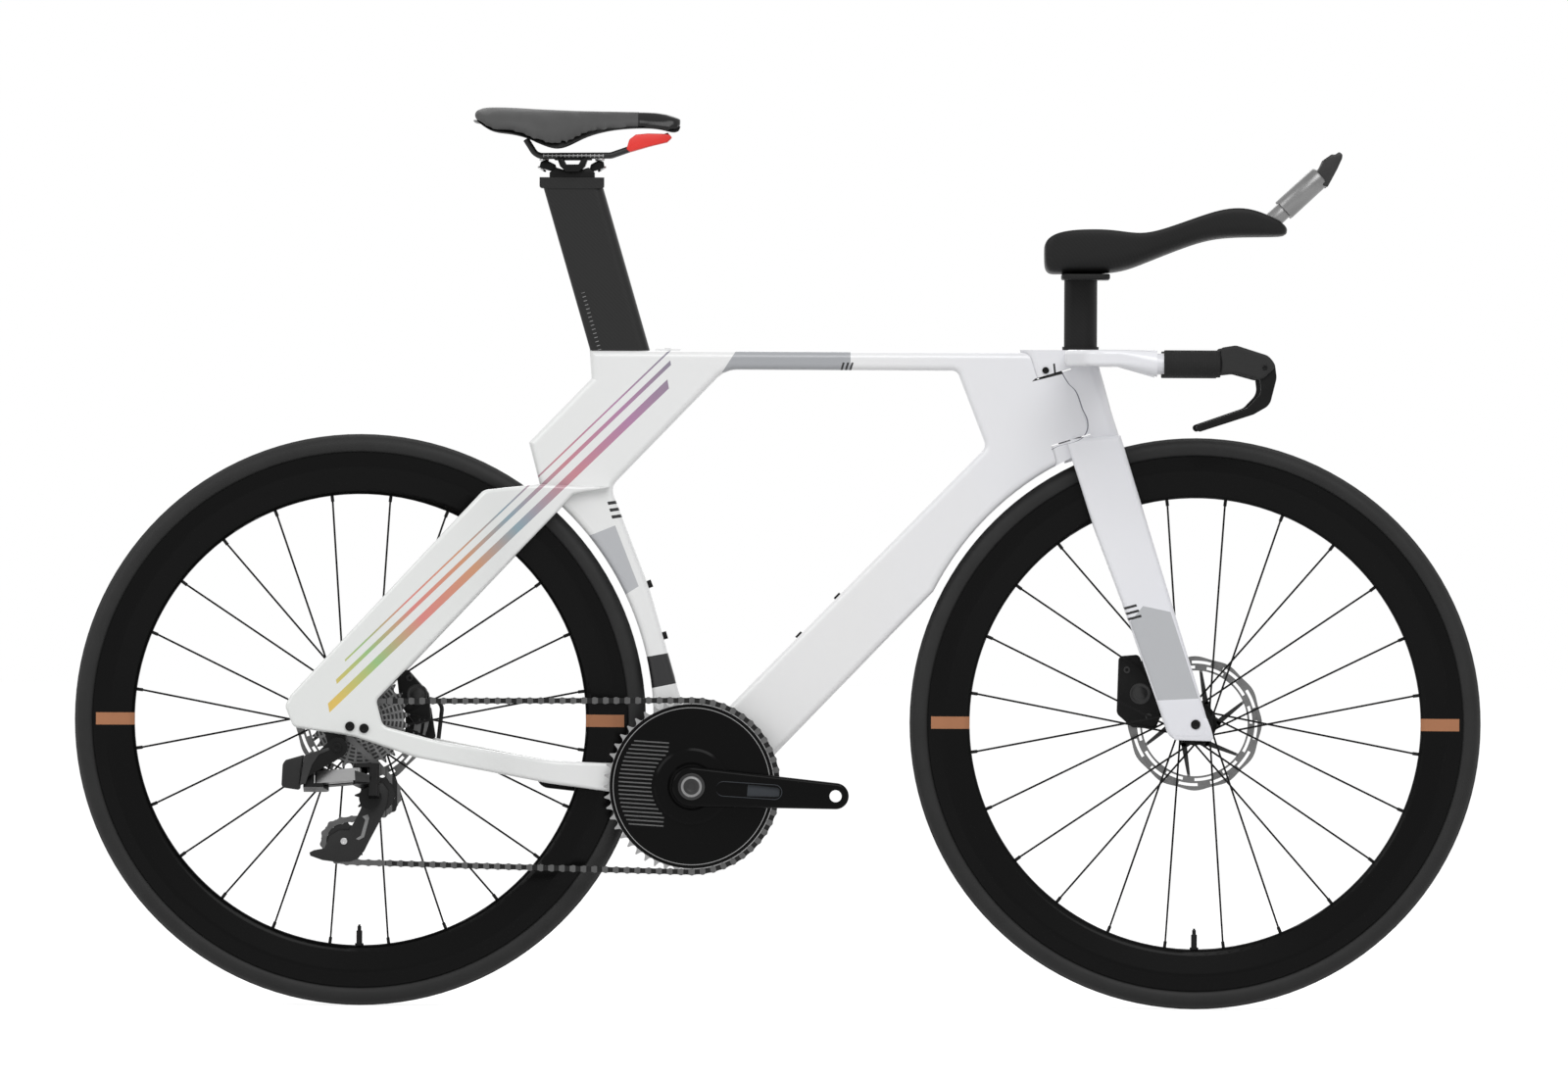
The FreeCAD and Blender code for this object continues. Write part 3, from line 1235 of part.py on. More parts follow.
def place_links(spots):
    """Chain of alternating links through the roller centres."""
    inner, outer = chain_links()
    links = []
    for place, start in enumerate(spots):
        end = spots[(place + 1) % len(spots)]
        direction = (end - start).normalize()
        upward = direction.cross(Vector(0, 1, 0)).normalize()
        sideways = upward.cross(direction)
        link = (inner if place % 2 == 0 else outer).copy()
        link.Placement = Placement((start + end) * 0.5, Rotation(direction, sideways, upward, "XZY"))
        links.append(link)
    return links


cage_turn, rollers, pulley_places = close_chain()
chain_links_total = len(rollers)
node(feature("chain_group", Part.makeCompound(place_links(rollers))), "chain")


def build_chainring():
    """Toothed aero disc with a fan of slits behind the spindle."""
    teeth = int(size("ring_teeth"))
    centre_x, centre_z = size("bracket_x"), size("bracket_z")
    phase = gap_phase(rollers, centre_x, centre_z, pitch_radius(teeth))
    disc_radius, bore = size("ring_disc_radius"), size("ring_disc_bore")
    thick, margin = size("ring_disc_thickness"), size("ring_slit_margin")
    plate = sprocket(teeth, phase, disc_radius - size("cog_rim"), size("tooth_thickness"))
    outer_face = -(thick - size("tooth_thickness") / 2)
    disc = Part.makeCylinder(disc_radius, thick, Vector(0, outer_face, 0), Vector(0, 1, 0))
    hole = Part.makeCylinder(bore, 3 * thick, Vector(0, -1.5 * thick, 0), Vector(0, 1, 0))
    tilt = Rotation(Vector(0, 1, 0), size("crank_angle"))
    slits = []
    pitch, wide = size("ring_slit_pitch"), size("ring_slit_width")
    reach = disc_radius - margin
    count, kept = int(size("ring_slits")), size("spider_radius") + pitch / 2
    for place in range(count):
        height = (place - (count - 1) / 2) * pitch
        front = max(size("ring_slit_front"), math.sqrt(max(kept**2 - height**2, 0)))
        back = math.sqrt(reach**2 - height**2)
        slit = Part.makeBox(back - front, 3 * thick, wide, Vector(-back, -1.5 * thick, height - wide / 2))
        slit.Placement = Placement(Vector(0, 0, 0), tilt)
        slits.append(slit)
    solid = disc.fuse(plate).cut(hole).cut(Part.makeCompound(slits))
    place = Placement(Vector(centre_x, -size("chain_line"), centre_z), Rotation())
    return node(feature("chainring_solid", solid, place), "chainring")


def build_cassette():
    """Cogs on a stepped hollow carrier, one machined block."""
    seat, wall = size("tooth_seat"), size("cog_carrier")
    thick, spacing = size("tooth_thickness"), size("cog_spacing")
    carrier_radius = [pitch_radius(teeth) - seat - size("cog_root") for teeth in COGS]
    freehub = size("freehub_radius") + size("seat_gap")
    nose = size("freehub_nose_radius") + size("seat_gap")
    chain_cog = int(size("chain_cog"))
    chain_phase = gap_phase(rollers, rear_axle_x, axle_z, pitch_radius(COGS[chain_cog]))
    blocks = []
    for place, teeth in enumerate(COGS):
        plane = cog_plane(place)
        bore = max(carrier_radius[max(place - 1, 0)] - wall, nose)
        if plane + thick / 2 > -size("freehub_shoulder"):
            bore = max(bore, freehub)
        if place == len(COGS) - 1:
            bore = freehub
        phase = chain_phase if place == chain_cog else 0
        plate = sprocket(teeth, phase, bore, thick)
        plate.translate(Vector(0, plane, 0))
        blocks.append(plate)
        if place == len(COGS) - 1:
            continue
        inner = max(carrier_radius[place] - wall, nose)
        if plane + spacing - thick / 2 > -size("freehub_shoulder"):
            inner = max(inner, freehub)
        length = spacing - thick
        base = Vector(0, plane + thick / 2, 0)
        step = Part.makeCylinder(carrier_radius[place], length, base, Vector(0, 1, 0))
        step = step.cut(Part.makeCylinder(inner, length, base, Vector(0, 1, 0)))
        blocks.append(step)
    solid = blocks[0].fuse(blocks[1:])
    place = Placement(Vector(rear_axle_x, 0, axle_z), Rotation())
    return node(feature("cassette_solid", solid, place), "cassette")


build_chainring()
build_cassette()
bore = "Sizes.sleeve_radius + Sizes.running_gap"
freehub_inner_end = "Sizes.rear_hub_right_end - Sizes.pad_gap"
freehub_outer_end = "-Sizes.smallest_cog_plane - Sizes.tooth_thickness / 2"
node(
    turned(
        "freehub_body",
        (
            (bore, freehub_outer_end),
            ("Sizes.freehub_nose_radius", freehub_outer_end),
            ("Sizes.freehub_nose_radius", "-Sizes.freehub_shoulder"),
            ("Sizes.freehub_radius", "-Sizes.freehub_shoulder"),
            ("Sizes.freehub_radius", freehub_inner_end),
            (bore, freehub_inner_end),
        ),
        REAR_X,
        AXLE_Z,
    ),
    "freehub",
)


# Cranks and bottom bracket
def crank_blank(name, side):
    """Tapered arm with its boss, pedal thread and side recess, on one side of the bicycle."""
    angle = size("crank_angle") + (180 if side > 0 else 0)
    reach = size("crank_length")

    def across(label, loop, inner, outer, rounding=None):
        low, high = (f"-({outer})", f"-({inner})") if side < 0 else (inner, outer)
        solid = padded(f"{name}_{label}", [loop], low, high, rounding)
        solid.Placement.Rotation = Rotation(Vector(0, 1, 0), angle)
        solid.setExpression("Placement.Base.x", BRACKET[0])
        solid.setExpression("Placement.Base.z", BRACKET[1])
        return solid

    face, back = "Sizes.crank_outer_face", "Sizes.crank_outer_face - Sizes.crank_thickness"
    arm_loop = hull_loop((0, 0), (reach, 0), size("crank_root_radius"), size("crank_tip_radius"))
    arm = across("arm", arm_loop, back, face, "Sizes.crank_edge")
    root_spot, tip_spot = (size("crank_window_start"), 0), (size("crank_window_end"), 0)
    window_loop = hull_loop(root_spot, tip_spot, size("crank_window_root"), size("crank_window_tip"))
    window = across("window", window_loop, f"{face} - Sizes.crank_window_depth", f"{face} + 1")
    thread = across("thread", circle(reach, 0, size("pedal_bore")), f"{back} - 1", f"{face} + 1")
    inner, middle = "Sizes.crank_boss_face", f"{face} - Sizes.crank_thickness / 2"
    low, high = (f"-({middle})", f"-{inner}") if side < 0 else (inner, middle)
    boss = rod(name + "_boss", "Sizes.crank_root_radius - 1", low, high, *BRACKET)
    return arm, boss, window, thread


outer, thick = "Sizes.crank_outer_face", "Sizes.crank_thickness"
arm, boss, window, thread = crank_blank("crank_right", -1)
spindle = rod("crank_spindle", "Sizes.spindle_radius", f"-{outer} + {thick} / 2", f"{outer} - 2", *BRACKET)
node(cut("crank_right", fuse("crank_right", arm, boss, spindle), window, thread), "crank_right")
arm, boss, window, thread = crank_blank("crank_left", 1)
socket_end = f"{outer} - 2 + Sizes.seat_gap"
socket = rod("crank_socket", "Sizes.spindle_radius + Sizes.running_gap", "0", socket_end, *BRACKET)
node(cut("crank_left", fuse("crank_left", arm, boss), window, thread, socket), "crank_left")

spider_face = "-Sizes.chain_line - Sizes.ring_disc_thickness + Sizes.tooth_thickness / 2"
spider_inner = "Sizes.crank_root_radius - 1 + Sizes.running_gap"
spider_foot = f"{spider_face} - Sizes.spider_thickness"
node(
    turned(
        "spider_body",
        (
            (spider_inner, spider_face),
            ("Sizes.spider_radius", spider_face),
            ("Sizes.spider_radius", f"{spider_foot} + 1.5"),
            ("Sizes.spider_radius - 3", spider_foot),
            (f"{spider_inner} + 6", spider_foot),
            (f"{spider_inner} + 3", f"{spider_foot} - 4"),
            (spider_inner, f"{spider_foot} - 4"),
        ),
        *BRACKET,
    ),
    "chainring_spider",
)

half_shell = "Sizes.bracket_width / 2"
cup_inner = f"{half_shell} - Sizes.cup_depth"
bearing_seat = "Sizes.crank_bearing_radius + Sizes.running_gap"
bearing_low = f"{half_shell} - Sizes.crank_bearing_width"
cup_bore = "Sizes.spindle_radius + 1.5"
cup = turned(
    "bracket_cup",
    (
        (cup_bore, cup_inner),
        ("Sizes.bracket_bore - Sizes.running_gap", cup_inner),
        ("Sizes.bracket_bore - Sizes.running_gap", half_shell),
        ("Sizes.cup_flange_radius", half_shell),
        ("Sizes.cup_flange_radius", f"{half_shell} + Sizes.cup_flange_width"),
        (bearing_seat, f"{half_shell} + Sizes.cup_flange_width"),
        (bearing_seat, bearing_low),
        (cup_bore, bearing_low),
    ),
    *BRACKET,
)
crank_bearing = ring(
    "bracket_bearing",
    "Sizes.spindle_radius + Sizes.running_gap",
    "Sizes.crank_bearing_radius",
    bearing_low,
    half_shell,
    *BRACKET,
)
cup_pair = (cup, mirrored("bracket_cup", cup), crank_bearing, mirrored("bracket_bearing", crank_bearing))
node(group("bottom_bracket", *cup_pair), "bottom_bracket")


# Front triangle
STEER_LEAN = 90 - size("head_angle")
steer_up = Vector(-math.sin(math.radians(STEER_LEAN)), 0, math.cos(math.radians(STEER_LEAN)))
steer_ahead = Vector(steer_up.z, 0, -steer_up.x)
axle_foot = Vector(front_axle_x, 0, axle_z) - steer_ahead * size("fork_offset")
crown_point = axle_foot + steer_up * size("crown_height")
STEER = Placement(crown_point, Rotation(Vector(0, 1, 0), -STEER_LEAN))
head_length, slot = size("head_length"), size("head_slot")
FAR = 200


def steer_cylinder(radius, low, high):
    """Solid about the steering axis, between two heights above the crown."""
    solid = Part.makeCylinder(radius, high - low, Vector(0, 0, low), Vector(0, 0, 1))
    solid.Placement = STEER
    return solid


def steer_box(rear, front, low, high):
    """Wide block in the steering frame."""
    solid = Part.makeBox(front - rear, FAR, high - low, Vector(rear, -FAR / 2, low))
    solid.Placement = STEER
    return solid


def half_width(place_x):
    """Half width of the front triangle, which tapers towards the seat."""
    rear_x, head_x = size("wing_tip_x"), crown_point.x
    share = (place_x - rear_x) / (head_x - rear_x)
    rear, head = size("frame_rear_half_width"), size("frame_head_half_width")
    return rear + share * (head - rear)


def corner(name, radius):
    """Rounded corner at a named side view point."""
    return (*point(name), radius)


def post_loop(gap):
    """Section of the aero seatpost across its axis: round nose, flatter tail."""
    half, depth = size("post_width") / 2 + gap, size("post_depth") + 2 * gap
    tail, nose = min(5, half - 1), half - 1
    corners = [(-depth / 2, half, tail), (-depth / 2, -half, tail)]
    return outline(corners + [(depth / 2, -half, nose), (depth / 2, half, nose)])


def post_solid(label, gap, low, high):
    """Seatpost or its socket between two places along the post's axis."""
    lean = math.radians(size("post_lean"))
    face = Part.Face(Part.Wire([edge.toShape() for edge in post_loop(gap)]))
    solid = face.extrude(Vector(0, 0, high - low))
    middle_x = size("post_front") - size("post_depth") / 2 / math.cos(lean)
    foot = Vector(middle_x, 0, size("top_tube_top"))
    axis = Vector(-math.sin(lean), 0, math.cos(lean))
    solid.Placement = Placement(foot + axis * low, Rotation(Vector(0, 1, 0), -size("post_lean")))
    return feature(label, solid)


def wheel_space(label, place_x):
    """Room that a wheel needs in the frame or fork."""
    return rod(label, "Sizes.tyre_radius + Sizes.wheel_room", "-150", "150", place_x, AXLE_Z)


def steer_room(rear, front, low, high, kept_radius=None, cleared_radius=None):
    """Room on one side of the steering axis; a round part may be kept, or a round pocket added."""
    room = steer_box(rear, front, low, high)
    if kept_radius is not None:
        room = room.cut(steer_cylinder(kept_radius, low, high))
    if cleared_radius is not None:
        room = room.fuse(steer_cylinder(cleared_radius, low, high))
    return room


def front_of_axis(low, high, **radii):
    """Room in front of the steering axis."""
    return steer_room(0, FAR, low, high, **radii)


def behind_axis(low, high, **radii):
    """Room behind the steering axis."""
    return steer_room(-FAR, 0, low, high, **radii)


def on_frame_side(edge):
    """Edges of the frame's flat sides, without the head and the bottom bracket."""
    if edge.CenterOfMass.x > size("hole_front_x") + 20:
        return False
    if edge.CenterOfMass.x < size("bracket_x") and edge.CenterOfMass.z < axle_z:
        return False
    return lies_on(lambda spot: abs(spot.y) - half_width(spot.x), 1e-3)(edge)


def build_front_triangle():
    """Head, top, seat and down tubes as one hollowed outline."""
    top, under = size("top_tube_top"), size("top_tube_top") - size("top_tube_depth")
    outer = [
        (size("wing_collar_x"), top),
        (crown_point.x + 60, top),
        (crown_point.x + 60, size("head_low_z")),
        point("head_low"),
        point("down_low"),
        corner("shell_front", 30),
        point("shell_low"),
        point("shell_rear"),
        (size("shell_rear_x"), axle_z),
        (size("shell_rear_x") - 60, size("seat_foot_rear_z") - 60),
        point("seat_foot_rear"),
        point("wing_heel"),
        point("wing_tip"),
        point("wing_notch"),
    ]
    inner = [
        (size("hole_seat_x"), under, 34),
        (size("hole_head_x"), under, 9),
        corner("hole_front", 11),
        corner("hole_foot", 18),
        corner("hole_tube", 300),
        corner("hole_wing", 16),
    ]
    side = padded("triangle_side", [outline(outer), outline(inner)], "-60", "60")
    rear_x, front_x = size("wing_tip_x") - 40, crown_point.x + 80
    plan = [(rear_x, half_width(rear_x)), (rear_x, -half_width(rear_x))]
    plan += [(front_x, -half_width(front_x)), (front_x, half_width(front_x))]
    taper = laid("triangle_taper", [outline(plan)], "0", "Sizes.top_tube_top + 100")
    blank = common("triangle", side, taper)
    blank = cut("triangle_room", blank, wheel_space("rear_room", REAR_X), wheel_space("front_room", FRONT_X))
    gap = size("turning_gap")
    stem_room = front_of_axis(head_length, FAR, cleared_radius=size("stem_radius") + gap)
    nose_room = front_of_axis(0, head_length, kept_radius=size("nose_radius"))
    crown_room = front_of_axis(-FAR, 0, cleared_radius=size("crown_radius") + gap)
    head_room = feature("head_room", stem_room.fuse([nose_room, crown_room]))
    head = cut("triangle_head", blank, head_room)
    shaped = rounded("triangle", head, size("frame_edge"), on_frame_side)
    shell = rod("bracket_shell", "Sizes.bracket_radius", f"-{half_shell}", half_shell, *BRACKET)
    body = fuse("triangle_shell", shaped, shell)
    bore_low, bore_high = f"-{half_shell} - 1", f"{half_shell} + 1"
    bracket_bore = rod("bracket_shell_bore", "Sizes.bracket_bore", bore_low, bore_high, *BRACKET)
    depth = size("head_bearing_width")
    seat = size("head_bearing_radius") + size("running_gap")
    low_seat = steer_cylinder(seat, -1, depth)
    high_seat = steer_cylinder(seat, head_length - depth, head_length + 1)
    bores = steer_cylinder(size("head_bore"), -1, head_length + 1).fuse([low_seat, high_seat])
    foot = -size("post_insert") - size("post_travel_room")
    socket = post_solid("post_socket", size("post_gap"), foot, size("post_insert"))
    hollow = cut("front_triangle", body, bracket_bore, feature("head_bores", bores), socket)
    return node(hollow, "front_triangle")


front_triangle = build_front_triangle()
bearing_inner = size("steerer_radius") + size("running_gap")


def head_bearing(low):
    """Headset bearing that stands on a height above the crown."""
    high = low + size("head_bearing_width")
    race = steer_cylinder(size("head_bearing_radius"), low, high)
    return race.cut(steer_cylinder(bearing_inner, low, high))


bearing_rings = [head_bearing(0), head_bearing(head_length - size("head_bearing_width"))]
node(feature("headset_rings", Part.makeCompound(bearing_rings)), "headset_bearings")


# Rear stays
def stay_bend():
    """Ends of the stay's bend, inner faces before and after it, its turn and its radius."""
    front, rear = size("stay_bend_front"), size("stay_bend_rear")
    inner, outer = size("stay_inner_front"), size("rear_drop_width") / 2
    turn = 2 * math.atan2(outer - inner, front - rear)
    return front, rear, inner, outer, turn, (front - rear) / (2 * math.sin(turn))


def stay_face(offset):
    """Plan of a stay's face: straight beside the seat tube, then two tangent arcs to the dropout."""
    front, rear, inner, outer, turn, radius = stay_bend()
    front_centre, rear_centre = Vector(front, inner + radius, 0), Vector(rear, outer - radius, 0)
    near, far = radius - offset, radius + offset
    half_way = Vector(math.sin(turn / 2), math.cos(turn / 2), 0)
    full_way = Vector(math.sin(turn), math.cos(turn), 0)
    start, bend = Vector(size("bracket_x") + 30, inner + offset, 0), Vector(front, inner + offset, 0)
    change = front_centre - full_way * near
    leave, end = Vector(rear, outer + offset, 0), Vector(size("dropout_rear_x") - 20, outer + offset, 0)
    return [
        Part.LineSegment(start, bend),
        Part.Arc(bend, front_centre - half_way * near, change),
        Part.Arc(change, rear_centre + half_way * far, leave),
        Part.LineSegment(leave, end),
    ]


def stay_band():
    """Plan of a stay between its inner and outer faces."""
    near_side, far_side = stay_face(0), stay_face(size("stay_thickness"))
    front_end = Part.LineSegment(near_side[0].StartPoint, far_side[0].StartPoint)
    rear_end = Part.LineSegment(near_side[3].EndPoint, far_side[3].EndPoint)
    return near_side + far_side + [front_end, rear_end]


def stay_surface(spot):
    """How far a point is from the stay's inner or outer surface in plan."""
    front, rear, inner, outer, turn, radius = stay_bend()
    if spot.x >= front:
        offset = spot.y - inner
    elif spot.x <= rear:
        offset = spot.y - outer
    elif spot.x >= (front + rear) / 2:
        offset = radius - math.hypot(spot.x - front, spot.y - inner - radius)
    else:
        offset = math.hypot(spot.x - rear, spot.y - outer + radius) - radius
    return min(abs(offset), abs(offset - size("stay_thickness")))


stay_outline = [
    point("stay_front_top"),
    point("wing_heel"),
    corner("stay_shoulder", 14),
    corner("dropout_top", 10),
    corner("dropout_rear", 9),
    corner("dropout_heel", 9),
    corner("dropout_low", 40),
    corner("chainstay_low_rear", 60),
    corner("chainstay_low_mid", 300),
    point("chainstay_low_front"),
    point("chainstay_top_front"),
    corner("chainstay_top_mid", 300),
    corner("chainstay_top_rear", 60),
    corner("stay_throat", 12),
    corner("stay_elbow", 8),
    corner("stay_inside", 30),
    corner("stay_front_low", 10),
]
stay_side = padded("stay_side", [outline(stay_outline)], "0", "150")
stay_plan = laid("stay_plan", [stay_band()], "0", "Sizes.top_tube_top")
stay_blank = common("stay", stay_side, stay_plan)
stay_soft = rounded("stay", stay_blank, size("stay_edge"), lies_on(stay_surface, 2e-2))
stay_trim = cut("stay_trim", stay_soft, front_triangle)
shell_space = rod("stay_shell_space", "Sizes.bracket_radius", "0", "100", *BRACKET)
stay_left_blank = cut("stay_shell", stay_trim, shell_space)
axle_bore = "Sizes.axle_radius + Sizes.running_gap"
bore_left = rod("dropout_bore_left", axle_bore, f"{REAR_HALF} - 10", f"{stay_outer} + 10", REAR_X, AXLE_Z)
stay_left = node(cut("rear_stay_left", stay_left_blank, bore_left), "rear_stay_left")
bore_low, bore_high = f"-{stay_outer} + 4 - Sizes.seat_gap", f"-{REAR_HALF} + 10"
bore_right = rod("dropout_bore_right", axle_bore, bore_low, bore_high, REAR_X, AXLE_Z)
stay_right_blank = mirrored("rear_stay_right", stay_left_blank)
stay_right = node(cut("rear_stay_right", stay_right_blank, bore_right), "rear_stay_right")


# Bolts and seatpost clamp on the frame
def bolt_on_edge(name, first, second):
    """Bolt head on a frame tube, square to the edge between two side view points."""
    start, end = Vector(first[0], 0, first[1]), Vector(second[0], 0, second[1])
    along_edge = (end - start).normalize()
    outward = Vector(-along_edge.z, 0, along_edge.x)
    spot = Vector(size(name + "_x"), 0, size(name + "_z"))
    seat = start + along_edge * (spot - start).dot(along_edge)
    sunk = 2 * size("bolt_head_height")
    height = size("bolt_head_height") + sunk
    return Part.makeCylinder(size("bolt_head_radius"), height, seat - outward * sunk, outward)


frame_bolt_solids = [
    bolt_on_edge("seat_bolt_upper", point("hole_tube"), point("hole_wing")),
    bolt_on_edge("seat_bolt_lower", point("hole_foot"), point("hole_tube")),
    bolt_on_edge("down_bolt_upper", point("hole_foot"), point("hole_front")),
    bolt_on_edge("down_bolt_lower", point("hole_foot"), point("hole_front")),
]
frame_bolts = feature("frame_bolt_blanks", Part.makeCompound(frame_bolt_solids))
node(cut("frame_bolts", frame_bolts, front_triangle), "frame_bolts")

wedge_front = "Sizes.post_front + Sizes.wedge_gap"
wedge_plate = doc.addObject("Part::Box", "wedge_plate")
wedge_plate.setExpression("Length", "Sizes.wedge_length")
wedge_plate.setExpression("Width", "Sizes.wedge_width")
wedge_plate.setExpression("Height", "Sizes.wedge_height")
wedge_plate.setExpression("Placement.Base.x", wedge_front)
wedge_plate.setExpression("Placement.Base.y", "-Sizes.wedge_width / 2")
wedge_plate.setExpression("Placement.Base.z", "Sizes.top_tube_top")
wedge_screw = doc.addObject("Part::Cylinder", "wedge_screw")
wedge_screw.setExpression("Radius", "Sizes.bolt_head_radius - 1")
wedge_screw.setExpression("Height", "Sizes.wedge_screw_height")
wedge_screw.setExpression("Placement.Base.x", f"{wedge_front} + Sizes.wedge_length / 2")
wedge_screw.setExpression("Placement.Base.z", "Sizes.top_tube_top")
node(fuse("seatpost_wedge", wedge_plate, wedge_screw), "seatpost_wedge")

# Seatpost, clamp and saddle
head_low, head_high = point("head_block_low"), point("head_block_top")
head_loop = [
    (head_low[0], head_low[1], 3),
    (head_low[0], head_high[1]),
    (head_high[0], head_high[1]),
    (head_high[0], head_low[1], 3),
]
head_half = "(Sizes.post_width / 2 + Sizes.post_head_edge)"
head_block = padded("post_head", [outline(head_loop)], f"-{head_half}", head_half)
post_length = size("post_rise") + size("post_depth") / 4
post = post_solid("post_column", 0, -size("post_insert"), post_length)
head_corner = Vector(head_low[0] - FAR / 2, -FAR / 2, head_low[1])
post_cut = cut("post_column", post, feature("above_head", Part.makeBox(FAR, FAR, FAR, head_corner)))
node(fuse("seatpost", post_cut, head_block), "seatpost")


def rail_route(side):
    """Corners of one saddle rail: straight in the clamp, rising at both ends."""
    spread = size("rail_spacing")
    shares = {"rail_rear": 1.2, "rail_clamp_rear": 1, "rail_clamp_front": 1, "rail_nose": 0.45}
    spots = [(point(name), side * spread * share) for name, share in shares.items()]
    return [Vector(place_x, place_y, place_z) for (place_x, place_z), place_y in spots]


def rail_pair(gap):
    """Both saddle rails, or their room with a gap."""
    wires = [tangent_wire(rail_route(side), size("rail_bend")) for side in (-1, 1)]
    return Part.makeCompound([tube_along(wire, size("rail_radius") + gap) for wire in wires])


node(feature("rail_pair", rail_pair(0)), "saddle_rails")
rail_space = feature("rail_space", rail_pair(size("running_gap")))

clamp_low, clamp_high = head_high[1] + size("seat_gap"), size("rail_clamp_rear_z") + size("clamp_cover")
clamp_rear, clamp_front = head_low[0] + 1, head_high[0] - 1
clamp_loop = [
    (clamp_rear, clamp_low, 4),
    (clamp_rear, clamp_high - 12, 5),
    (clamp_rear + 8, clamp_high, 5),
    (clamp_front - 8, clamp_high, 5),
    (clamp_front, clamp_high - 12, 5),
    (clamp_front, clamp_low, 4),
]
clamp_middle = (clamp_rear + clamp_front) / 2
window_half, window_round = size("clamp_window_length") / 2, size("clamp_window_height") / 2
window_z = clamp_low + size("clamp_bolt_rise")
window_ends = [(clamp_middle + sign * (window_half - window_round), window_z) for sign in (-1, 1)]
clamp_window = hull_loop(*window_ends, window_round, window_round)
clamp_half = "Sizes.clamp_width / 2"
clamp_block = padded("clamp_block", [outline(clamp_loop), clamp_window], f"-{clamp_half}", clamp_half, "2")
clamp_bolts = []
bolt_inset = size("clamp_bolt_inset")
for name, bolt_x in (("rear", head_low[0] + bolt_inset), ("front", head_high[0] - bolt_inset)):
    low, high = f"-{clamp_half} - 2", f"{clamp_half} + 2"
    bolt = rod(f"clamp_bolt_{name}", "Sizes.clamp_bolt_radius", low, high, str(bolt_x), str(window_z))
    clamp_bolts.append(bolt)
clamp_body = cut("clamp_body", clamp_block, rail_space, *clamp_bolts)
node(group("saddle_clamp", clamp_body, *clamp_bolts), "saddle_clamp")

# Saddle stations: share of the length, half width share, lower edge and top below the saddle's top
SADDLE = (
    (0.0, 0.62, 15, 5),
    (0.06, 0.92, 23, 1),
    (0.16, 1.0, 30, 1),
    (0.28, 0.97, 37, 2.5),
    (0.40, 0.82, 46, 3.5),
    (0.52, 0.60, 35, 4),
    (0.64, 0.43, 26, 4),
    (0.78, 0.34, 22.5, 4.3),
    (0.92, 0.31, 25, 5),
    (1.0, 0.22, 20, 9),
)


def saddle_section(station, sink, inset, floor):
    """Cross section of the saddle: a crowned top and a hollow underside."""
    share, width_share, low_drop, top_drop = station
    place_x = size("saddle_rear") + share * size("saddle_length")
    half = max(size("saddle_width") / 2 * width_share, size("saddle_nose_width") / 2 * 0.7) - inset
    low, top = size("saddle_top") - low_drop + sink, size("saddle_top") - top_drop - sink
    rise = top - low
    upper = [(-half, low), (-0.94 * half, low + 0.6 * rise), (-0.72 * half, top - 0.06 * rise), (0, top)]
    upper += [(-v, w) for v, w in reversed(upper[:-1])]
    crown = Part.BSplineCurve()
    crown.interpolate([Vector(place_x, v, w) for v, w in upper])
    under = low + max(rise - floor, 1.5)
    hollow = Part.BSplineCurve()
    lower = [(half, low), (0.72 * half, low + 0.55 * (under - low)), (0, under)]
    lower += [(-v, w) for v, w in reversed(lower[:-1])]
    hollow.interpolate([Vector(place_x, v, w) for v, w in lower])
    return Part.Wire([crown.toShape(), hollow.toShape()])


foam, shell_inset = size("saddle_foam"), size("shell_inset")
shell_floor = foam + size("saddle_shell")
pad_sections = [saddle_section(station, 0, 0, foam) for station in SADDLE]
shell_sections = [saddle_section(station, shell_inset, shell_inset, shell_floor) for station in SADDLE]
pad_body = node(feature("pad_solid", Part.makeLoft(pad_sections, True, False)), "saddle_pad")
shell_blank = feature("shell_blank", Part.makeLoft(shell_sections, True, False))
saddle_shell = node(cut("saddle_shell", shell_blank, pad_body, rail_space), "saddle_shell")
rail_front, rail_tip = rail_route(1)[2:]
cover_ends = [rail_front + (rail_tip - rail_front) * share for share in (0.35, 0.92)]
cover_radius = size("nose_cover_radius")
cover_loop = hull_loop(*[(spot.x, spot.z) for spot in cover_ends], cover_radius, cover_radius)
cover_blank = padded("cover_blank", [cover_loop], "-Sizes.rail_spacing", "Sizes.rail_spacing", "3")
node(cut("saddle_nose_cover", cover_blank, rail_space, saddle_shell, pad_body), "saddle_nose_cover")

# Fork
blade_outline = [
    point("blade_front_top"),
    corner("blade_front_foot", 14),
    corner("blade_rear_foot", 14),
    corner("blade_rear_low", 400),
    corner("blade_rear_mid", 400),
    point("blade_rear_top"),
]
blade_top, blade_foot = size("blade_front_top_z") + 20, size("blade_front_foot_z") - 20
foot_inner, straight = size("front_drop_width") / 2, size("fork_straight")
top_inner = size("fork_inner_top")
blade_slab = [
    (top_inner, blade_top),
    (foot_inner, straight, 200),
    (foot_inner, blade_foot),
    (foot_inner + size("fork_blade_foot"), blade_foot),
    (foot_inner + size("fork_blade_foot"), straight, 200),
    (top_inner + size("fork_blade_top"), blade_top),
]
blade_side = padded("blade_side", [outline(blade_outline)], "0", "100")
blade_front = fronted("blade_front", [outline(blade_slab)], f"{FRONT_X} - 300", f"{FRONT_X} + 100")
blade_blank = common("blade", blade_side, blade_front)


def on_blade_outline(edge):
    """Edges where the blade's side outline meets its inner or outer face."""
    middle = edge.CenterOfMass
    values = along(edge, lambda spot: spot.z)
    return max(values) - min(values) > 1 and middle.z < blade_top - 22 or middle.z < blade_foot + 21


